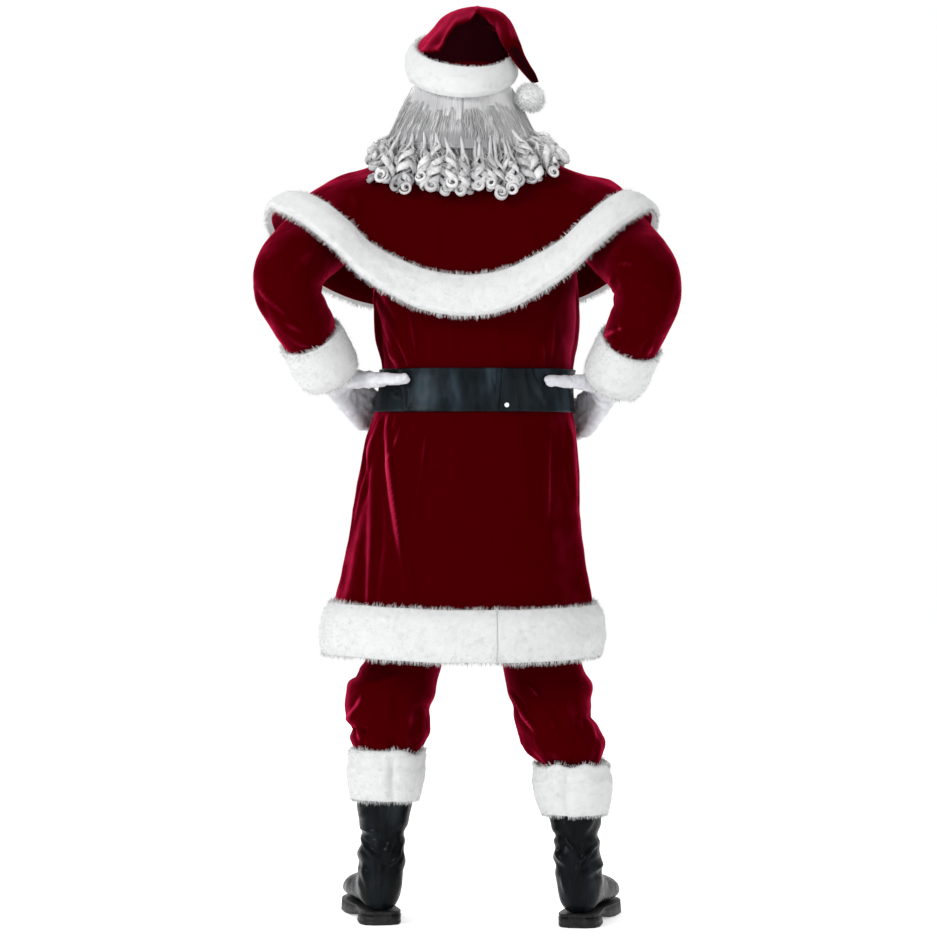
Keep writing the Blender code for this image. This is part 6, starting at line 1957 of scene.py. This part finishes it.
def hair_pieces():
    """The smooth hair from the crown down, and the loose strands that lie over it."""
    heights = np.linspace(float(WIG["height"][-1]), float(WIG["height"][0]), 57)
    grid = hair_grid(heights, 289)
    columns = np.linspace(0, 1, grid.shape[1])
    streaks = np.stack([*np.meshgrid(columns * 60, heights * 9), np.zeros(grid.shape[:2])], -1)
    lifted = uneven(streaks, *HAIR_WAVES, seed=3)
    parting = bell(grid[..., 0] - PARTING_X, PARTING_HALF) * (grid[..., 1] > 0)
    parting *= soft_step((heights - PARTING_LOW) / 0.03)[:, None]
    lifted += 0.0012 - PARTING_DEPTH * parting
    piece = shell("wig_smooth_hair", grid, lifted, WIG_CLOTH, HAIR, ("wig_hair",))
    sheen = HAIR_SHEEN[2] * bell(heights - HAIR_SHEEN[0], HAIR_SHEEN[1])
    for height, over, darker in HAIR_SHADES:
        sheen -= darker * soft_step((height - heights) / over)
    azimuths = FACE_LEFT + columns * (FACE_RIGHT - FACE_LEFT)
    # Its tone: random streaks, a painted highlight round the crown, darker lower down, painted shade along
    # the parting, and painted light towards the right.
    tone = 0.05 + 0.25 * noise(streaks, 4.0, 8) + sheen[:, None] - 0.9 * parting + painted_light_on_right(azimuths)
    kept = np.zeros((2, len(piece.data.vertices)))
    kept[0, : tone.size] = np.tile(columns * HAIR_STREAKS, len(grid))
    kept[1, : tone.size] = tone.ravel()
    set_values(piece.data, across=kept[0], shade=kept[1])
    rng = np.random.default_rng(9)
    locks = Locks(sides=3)
    for k in range(CURTAIN_LOCKS):
        behind = k > CURTAIN_OVER
        azimuth = rng.uniform(72, 112) if behind else rng.uniform(FACE_LEFT, FACE_RIGHT)
        edge = hair_point(HAIR_EDGE, azimuth)
        drop = CURTAIN_DROP[0] + CURTAIN_DROP[1] * abs(math.sin(math.radians(azimuth))) * rng.uniform(0.3, 1)
        low = edge * (1.02, 1.02, 1) - (0, 0, drop)
        line = bowed(hair_point(CURTAIN_TOP, azimuth), edge, low, 10)
        # Locks behind are painted paler, painted light over the shade at the hair's lower edge; towards the
        # right painted light is added.
        shade = rng.uniform(-0.55, 0.10) + painted_light_on_right(azimuth) + (0.35 if behind else 0)
        locks.add(line, unit(line * (1, 1, 0)), rng.uniform(0.004, 0.009), CURTAIN_THICK, shade)
    for _ in range(THIN_STRANDS):
        azimuth = rng.uniform(FACE_LEFT, FACE_RIGHT)
        top, bottom = rng.uniform(0.09, 0.135), rng.uniform(0.030, 0.085)
        sway = np.cumsum(rng.normal(scale=0.35, size=9))
        line = np.array([hair_point(z, azimuth + s) for z, s in zip(np.linspace(top, bottom, 9), sway)])
        out = unit(line * (1, 1, 0))
        line += out * rng.uniform(0.0, 0.004)
        width, light = rng.uniform(0.0012, 0.0030), rng.uniform(-0.1, 0.6)
        locks.add(line, out, width, THIN_STRAND_THICK, light + 0.5 * painted_light_on_right(azimuth))
    locks.piece("wig_strands")


# ---------------------------------------------------------------- belt and buckle

# Folds of the belt, as seen from behind: it stands off between the thumbs that are hooked over it.
BELT_FOLDS = creases(
    (0.130, -0.428, 0.118, -0.500, 0.0050, 0.006, 0.004),
    (0.146, -0.470, 0.120, -0.492, 0.0030, 0.005),
    (-0.042, -0.432, -0.062, -0.500, 0.0022, 0.0028, 0.002),
    (-0.056, -0.432, -0.066, -0.500, 0.0018, 0.0025),
    (-0.125, -0.424, -0.152, -0.490, 0.0060, 0.006, -0.003),
    (-0.104, -0.428, -0.108, -0.500, -0.0015, 0.008),
    (0.070, -0.430, 0.066, -0.505, 0.0012, 0.030),
    (0.010, -0.430, 0.008, -0.505, -0.0012, 0.020),
)
BELT_FRONT_FOLDS = creases(
    (0.095, -0.430, 0.100, -0.505, 0.0012, 0.012),
    (-0.120, -0.430, -0.126, -0.505, 0.0014, 0.012),
)
BELT_CURL, BELT_CURL_REACH = 0.0020, 0.0075  # the belt's edges are turned out a little, and rounded
BELT_EDGE_DROP, BELT_STITCH_DROP, BELT_STITCH_INSET, BELT_GROOVE_WIDE = 0.0012, 0.0006, 0.006, 0.0012
BELT_BULGE, BELT_BULGE_ANGLE, BELT_BULGE_REACH = 0.0035, 96, 34  # it stands out at the back's middle
BELT_WAVES = ((0.012, 0.0004), (0.035, 0.0007))  # sizes and heights
BELT_DEEPEST = -0.0006  # no fold may press it into the coat
BELT_FLAT = 3  # degrees before the lap from which the lower length is flat


def belt_grid(angles, lift):
    """The belt's inside round the waist, lifted off the coat."""
    grid = coat_base((BELT_BOTTOM, BELT_MIDDLE, BELT_TOP), angles)
    return finer_along(grid + outward(grid) * np.asarray(lift)[..., None], 0, 29)


def belt_pieces():
    """Two lengths that lap at the back."""
    left = np.linspace(-90, BELT_LAP[1], 325)
    right = np.linspace(BELT_LAP[0], 270, 265)
    lapped = BELT_THICK + LAYER
    ends = (BELT_LAP[0], BELT_LAP[1], BELT_LAP[1] + STEP, BELT_LAP[1] + 2 * STEP)
    right_lift = BELT_LIFT + np.interp(right, ends, (lapped, lapped, BELT_THICK / 2, 0))
    for name, angles, lift in (("belt_left", left, BELT_LIFT), ("belt_right", right, right_lift)):
        grid = parted(belt_grid(angles, lift))
        high = grid[..., 2]
        inset = np.minimum(high - BELT_BOTTOM, BELT_TOP - high)
        bulge = BELT_BULGE * bell(angles - BELT_BULGE_ANGLE, BELT_BULGE_REACH) * soft_step(inset / 0.030)
        folded = relief(grid, BELT_FOLDS, BEHIND) + relief(grid, BELT_FRONT_FOLDS, BEFORE)
        under = (angles > BELT_LAP[0] - BELT_FLAT) & (name == "belt_left")
        folded = np.where(under, 0, np.maximum(folded, BELT_DEEPEST) + bulge)
        lifted = folded + uneven(grid, *BELT_WAVES, seed=90)
        lifted = np.where(under, np.minimum(lifted, 0), lifted)
        lifted += BELT_CURL * bell(inset, BELT_CURL_REACH) * ~under
        lifted -= BELT_EDGE_DROP * bell(inset, BELT_GROOVE_WIDE)
        lifted -= BELT_STITCH_DROP * bell(inset - BELT_STITCH_INSET, BELT_GROOVE_WIDE)
        shell(f"{name}_hide", grid, lifted, BELT_THICK, BELT_HIDE, (name,))


# ---------------------------------------------------------------- boots

# Folds of each boot as seen from behind: across is to the wearer's left, and v is the height.
BOOT_FOLDS = {
    +1: creases(
        (0.159, -1.262, 0.157, -1.374, -0.0042, 0.0028),
        (0.208, -1.338, 0.162, -1.352, 0.0050, 0.0060, 0.003),
        (0.206, -1.362, 0.171, -1.396, 0.0062, 0.0042, -0.003),
        (0.171, -1.388, 0.167, -1.456, 0.0050, 0.0038),
        (0.129, -1.372, 0.156, -1.412, 0.0062, 0.0044, 0.003),
        (0.155, -1.402, 0.162, -1.434, 0.0048, 0.0036),
        (0.150, -1.352, 0.161, -1.392, 0.0040, 0.0036),
        (0.212, -1.314, 0.180, -1.300, 0.0030, 0.0070),
        (0.164, -1.286, 0.156, -1.342, 0.0030, 0.0080),
        (0.190, -1.262, 0.170, -1.292, 0.0025, 0.0090),
        (0.204, -1.410, 0.196, -1.450, 0.0030, 0.0080),
        (0.214, -1.432, 0.206, -1.464, 0.0025, 0.0060),
    ),
    -1: creases(
        (-0.196, -1.352, -0.225, -1.400, 0.0062, 0.0044, 0.003),
        (-0.256, -1.368, -0.223, -1.406, 0.0066, 0.0046, -0.004),
        (-0.223, -1.400, -0.208, -1.448, 0.0055, 0.0040, -0.002),
        (-0.178, -1.376, -0.202, -1.404, 0.0055, 0.0080),
        (-0.232, -1.422, -0.270, -1.402, 0.0068, 0.0085),
        (-0.205, -1.262, -0.203, -1.300, -0.0030, 0.0030),
        (-0.186, -1.322, -0.206, -1.300, 0.0035, 0.0070),
        (-0.196, -1.262, -0.200, -1.330, 0.0040, 0.0055),
        (-0.204, -1.330, -0.216, -1.352, 0.0040, 0.0045),
        (-0.250, -1.300, -0.228, -1.344, 0.0035, 0.0100),
        (-0.192, -1.424, -0.200, -1.462, 0.0030, 0.0060),
        (-0.258, -1.424, -0.278, -1.456, 0.0030, 0.0080),
    ),
}
# The same slouch in front of the ankle: level folds over the instep, in the boot's own frame.
BOOT_FRONT_FOLDS = creases(
    (-0.035, 0.190, 0.030, 0.172, 0.0050, 0.0065, 0.003),
    (-0.030, 0.160, 0.038, 0.166, 0.0055, 0.0065, -0.003),
    (-0.036, 0.138, 0.028, 0.126, 0.0050, 0.0060),
    (-0.020, 0.112, 0.036, 0.120, 0.0040, 0.0060),
    (-0.034, 0.222, 0.010, 0.240, 0.0030, 0.0080),
)


SLACK_FROM = 0.085  # the leather is slack from this height up
RIPPLE, RIPPLE_SPACING, RIPPLE_HEIGHT, RIPPLE_REACH = 0.0028, 0.0062, 0.150, 0.045  # on either flank
BOOT_WAVES = ((0.022, 0.0010), (0.009, 0.0004))  # sizes and heights
BACK_SEAM_HALF, BACK_SEAM_DEPTH, BACK_SEAM_LOW = 0.0012, 0.0010, 0.05
BOOT_SMOOTH = 0.030  # below this height, at the sole, it has no folds


def boot_pieces(side, word):
    rings = np.array([boot_ring(*row, 88) for row in zip(*BOOT.values())])[:, ::-1]
    rings = finer_along(rings, 0, 105)
    grid = to_boot_place(side, rings)
    own = grid - (*FEET[side]["ankle"], FLOOR)
    ahead = relief(own, BOOT_FRONT_FOLDS, BEFORE, closed=True)
    slack = soft_step((grid[..., 2] - FLOOR - SLACK_FROM) / 0.03)
    turn = np.abs(unit(own * (1, 1, 0))[..., 0])
    sides = RIPPLE * turn * slack * np.sin(own[..., 2] / RIPPLE_SPACING + 2.5 * noise(own, 0.05, 71))
    sides *= bell(own[..., 2] - RIPPLE_HEIGHT, RIPPLE_REACH)
    lifted = relief(grid, BOOT_FOLDS[side], BEHIND, closed=True) + ahead * slack + sides
    lifted += uneven(grid, *BOOT_WAVES, seed=72)
    sewn = np.abs(own[..., 0] - FEET[side]["lean"] * (own[..., 2] - LEAN_HEIGHT)) < BACK_SEAM_HALF
    behind = (outward(grid, closed=True)[..., 1] > 0.5) & (own[..., 2] > BACK_SEAM_LOW)
    lifted += np.where(sewn & behind, -BACK_SEAM_DEPTH, 0)
    lifted *= soft_step((own[..., 2] - BOOT_SMOOTH) / 0.012)
    name = f"boot_{word}"
    shell(f"{name}_hide", grid, lifted, HIDE, BOOT_HIDE, (name,), closed=True, cap=True)
    sole_pieces(side, word)


SOLE_CORNER, SOLE_EDGE = 0.0022, 0.0008  # how far its lower and upper corners are cut off
# The groove under the welt: how far down it is, its depth and half its height.
WELT_BELOW, WELT_GROOVE, WELT_HALF = 0.0030, 0.0012, 0.0006
# The heel's lower lift is this share of its height, and a groove divides it from the rest.
HEEL_LIFT, HEEL_GROOVE, HEEL_INSET, HEEL_CORNER = 0.38, 0.0010, 0.0004, 0.0015


def sole_pieces(side, word):
    """The moulded sole with its welt, and the heel under it."""
    rows = []
    along = rounded_stations(SOLE["along"], 61)
    size = look_up(SOLE, "along", along)
    groove = SOLE_TOP - WELT_BELOW
    for y, half, low in zip(along, size["half_width"], size["bottom"]):
        corner = min(SOLE_CORNER, (SOLE_TOP - low) * 0.3)
        profile = (
            (half - corner, low),
            (half, low + corner),
            (half, groove - WELT_HALF),
            (half - WELT_GROOVE, groove),
            (half, groove + WELT_HALF),
            (half, SOLE_TOP - SOLE_EDGE),
            (half - SOLE_EDGE, SOLE_TOP),
        )
        rows.append(mirrored(profile, y))
    block(f"boot_sole_{word}_rubber", to_boot_place(side, rows), f"boot_sole_{word}")
    rows = []
    along = rounded_stations(HEEL["along"], 33)
    lift = HEEL_HEIGHT * HEEL_LIFT
    for y, half in zip(along, look_up(HEEL, "along", along)["half_width"]):
        profile = (
            (half - HEEL_CORNER, 0),
            (half, HEEL_CORNER),
            (half, lift - HEEL_INSET),
            (half - HEEL_GROOVE, lift),
            (half - HEEL_INSET, lift + WELT_HALF),
            (half - HEEL_INSET, HEEL_HEIGHT),
        )
        rows.append(mirrored(profile, y))
    block(f"boot_heel_{word}_rubber", to_boot_place(side, rows), f"boot_heel_{word}")


def mirrored(profile, y):
    """A closed section from its right half, which is given upwards as (x, z)."""
    ring = [*profile, *((-x, z) for x, z in reversed(profile))]
    return [(x, y, z) for x, z in ring[-1:] + ring[:-1]]


def rounded_stations(places, count):
    """Places along a sole from its toe to its heel, closer together at its round ends."""
    first, last = places[-1], places[0]
    return first + (last - first) * (1 - np.cos(np.linspace(0, math.pi, count))) / 2


def block(name, rows, stands_for):
    """A solid through closed sections, with flat ends."""
    stations, sides = rows.shape[:2]
    mesh = mesh_of(name, rows.reshape(-1, 3), quads_of(stations, sides, wrap_columns=True)[:, ::-1])
    places = np.arange(stations * sides).reshape(stations, sides)
    close_ends(mesh, places[0], places[-1, ::-1])
    add_piece(name, mesh, RUBBER, (stands_for,), smooth=False)


# ---------------------------------------------------------------- gloves

GLOVE_VOXEL = 0.0034
GLOVE_EASE, GLOVE_EASE_ROUNDS, GLOVE_OPEN = 0.5, 9, 0.004  # how its skin is eased, and where it is cut open
WRIST_FOLD, WRIST_FOLD_SPACING, WRIST_FOLD_PLACE, WRIST_FOLD_REACH = 0.0013, 0.0035, 0.016, 0.030
THUMB_SEAM, THUMB_SEAM_RADIUS, THUMB_SEAM_HALF = 0.0012, 0.020, 0.0018
WRINKLE, WRINKLE_SIZE, FINE_WRINKLE, FINE_WRINKLE_SIZE = 0.0014, 0.012, 0.0007, 0.006
THUMB_LIFTS = (0.0260, 0.0225, 0.0205)  # its joints' distances from the coat
FINGER_LIFTS, FINGER_DROPS = (0.0270, 0.0215, 0.0195), (0, 0.006, 0.014)


def glove_piece(side, word):
    """The hand's tubes fused into one skin, cut open at the wrist, with its wrinkles and seams."""
    tubes, start, direction = glove_tubes(side)
    points, faces, count = [], [], 0
    for line, radii in tubes:
        if len(line) > 2:
            t, knots = np.linspace(0, 1, 9), np.linspace(0, 1, len(line))
            line = np.stack([smooth_curve(t, knots, part) for part in np.transpose(line)], axis=-1)
            radii = smooth_curve(t, knots, radii)
        tube_points, tube_faces = tube_mesh(line, radii, 24)
        points.extend(map(tuple, tube_points))
        faces.extend(tuple(i + count for i in face) for face in tube_faces)
        count += len(tube_points)
    rough = bpy.data.meshes.new("rough_glove")
    rough.from_pydata(points, [], faces)
    shape = bpy.data.objects.new("rough_glove", rough)
    bpy.context.scene.collection.objects.link(shape)
    fuse = shape.modifiers.new("fuse", "REMESH")
    fuse.mode, fuse.voxel_size = "VOXEL", GLOVE_VOXEL
    ease = shape.modifiers.new("ease", "SMOOTH")
    ease.factor, ease.iterations = GLOVE_EASE, GLOVE_EASE_ROUNDS
    bpy.context.view_layer.update()
    skin = bpy.data.meshes.new_from_object(shape.evaluated_get(bpy.context.evaluated_depsgraph_get()))
    bpy.data.objects.remove(shape)
    skin.name = f"glove_{word}_satin"
    wrinkle_glove(skin, side)
    edit = bmesh.new()
    edit.from_mesh(skin)
    bmesh.ops.bisect_plane(
        edit,
        geom=edit.verts[:] + edit.edges[:] + edit.faces[:],
        plane_co=Vector(start + direction * GLOVE_OPEN),
        plane_no=Vector(-direction),
        clear_outer=True,
    )
    bmesh.ops.dissolve_degenerate(edit, edges=edit.edges, dist=0.0002)
    edit.to_mesh(skin)
    edit.free()
    glove = add_piece(skin.name, skin, GLOVE, (f"glove_{word}",))
    solid = glove.modifiers.new("cloth", "SOLIDIFY")
    solid.thickness, solid.offset = GLOVE_CLOTH, -1


def wrinkle_glove(skin, side):
    """Folds run round the wrist, wrinkles lie all over it, and a raised seam goes round the thumb."""
    count = len(skin.vertices)
    points, normals = np.empty(count * 3), np.empty(count * 3)
    skin.vertices.foreach_get("co", points)
    skin.vertices.foreach_get("normal", normals)
    points, normals = points.reshape(-1, 3), normals.reshape(-1, 3)
    wrist = np.array(HANDS[side]["wrist"])
    along = unit(np.array(ARMS[side]["wrist"]) - wrist)
    reach = (points - wrist) @ along
    waved = np.sin(reach / WRIST_FOLD_SPACING + 2.2 * noise(points, 0.022, 61))
    lifted = WRIST_FOLD * waved * bell(reach - WRIST_FOLD_PLACE, WRIST_FOLD_REACH)
    wrinkles = WRINKLE * noise(points * (1, 1, 1.8), WRINKLE_SIZE, 62)
    lifted += wrinkles + FINE_WRINKLE * noise(points, FINE_WRINKLE_SIZE, 63)
    base = on_hip(HANDS[side]["thumb_angles"][0], HANDS[side]["thumb_height"], THUMB_LIFTS[0])
    near = np.linalg.norm((points - base) * (1, 1, 0.6), axis=-1)
    lifted += THUMB_SEAM * bell(near - THUMB_SEAM_RADIUS, THUMB_SEAM_HALF)
    points = points + normals * lifted[:, None]
    skin.vertices.foreach_set("co", points.ravel())
    skin.update()


# ---------------------------------------------------------------- the suit

cape = cape_grid()
coat_pieces()
sleeve_pieces()
cape_piece(cape)
hat_piece()
trouser_pieces()
fur_pieces(cape)
hair_pieces()
curl_pieces(outer_face(cape, CLOTH))
belt_pieces()
for side, word in SIDES:
    boot_pieces(side, word)
for side, word in SIDES:
    glove_piece(side, word)
METALS = {"belt_buckle": BRASS, "belt_prong": BRASS, "belt_rivet": CHROME, "glove_snap": CHROME}
for name, material in METALS.items():
    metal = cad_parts[name]
    metal.data.materials.clear()
    metal.data.materials.append(material)


# ---------------------------------------------------------------- floor, light and camera

FLOOR_RADIUS = 14
CAMERA_PLACE = (-0.005, 6.5, -0.621)
STUDIO_LIGHT = 0.62  # the white all round, as it lights the suit
FOCAL_PIXELS, PHOTO_SIDE = 3250, 937  # the photograph's focal length and side, in its pixels


def build_stage():
    """A pale floor and soft studio light from all round."""
    middle = (0, 0, FLOOR)
    bpy.ops.mesh.primitive_circle_add(vertices=96, radius=FLOOR_RADIUS, fill_type="NGON", location=middle)
    floor = bpy.context.object
    floor.name = "floor"
    material, shader = new_material(
        "pale_floor",
        (0.95, 0.95, 0.95),
        0.8,
        Specular_IOR_Level=0.1,
        Emission_Color=(1, 1, 1, 1),
        Emission_Strength=0.42,
    )
    floor.data.materials.append(material)
    world = bpy.data.worlds.new("studio")
    bpy.context.scene.world = world
    world.use_nodes = True
    tree = world.node_tree
    seen = tree.nodes.new("ShaderNodeLightPath").outputs["Is Camera Ray"]
    strength = tree.nodes.new("ShaderNodeMapRange")
    strength.inputs["To Min"].default_value, strength.inputs["To Max"].default_value = STUDIO_LIGHT, 1.0
    tree.links.new(seen, strength.inputs["Value"])
    tree.nodes["Background"].inputs["Color"].default_value = (1, 1, 1, 1)
    tree.links.new(strength.outputs["Result"], tree.nodes["Background"].inputs["Strength"])
    for name, place, size, power_watts in (
        ("key", (3.6, 3.4, 1.6), 1.6, 150),
        ("fill", (-3.0, 4.4, 0.6), 2.6, 45),
        ("front", (0.5, -5.0, 2.0), 3.0, 110),
        ("rim", (0.0, -1.5, 4.5), 2.0, 60),
    ):
        light = bpy.data.lights.new(name, "AREA")
        light.energy, light.size = power_watts, size
        lamp = bpy.data.objects.new(name, light)
        lamp.location = place
        aim = Vector((0, 0, -0.6)) - lamp.location
        lamp.rotation_euler = aim.to_track_quat("-Z", "Y").to_euler()
        bpy.context.scene.collection.objects.link(lamp)


def build_camera():
    camera = bpy.data.cameras.new("camera")
    camera.sensor_width = 36
    camera.lens = camera.sensor_width * FOCAL_PIXELS / PHOTO_SIDE
    view = bpy.data.objects.new("camera", camera)
    view.location = CAMERA_PLACE
    view.rotation_euler = (math.pi / 2, 0, math.pi)
    bpy.context.scene.collection.objects.link(view)
    bpy.context.scene.camera = view


build_stage()
build_camera()
bpy.context.scene.view_settings.view_transform = "Standard"
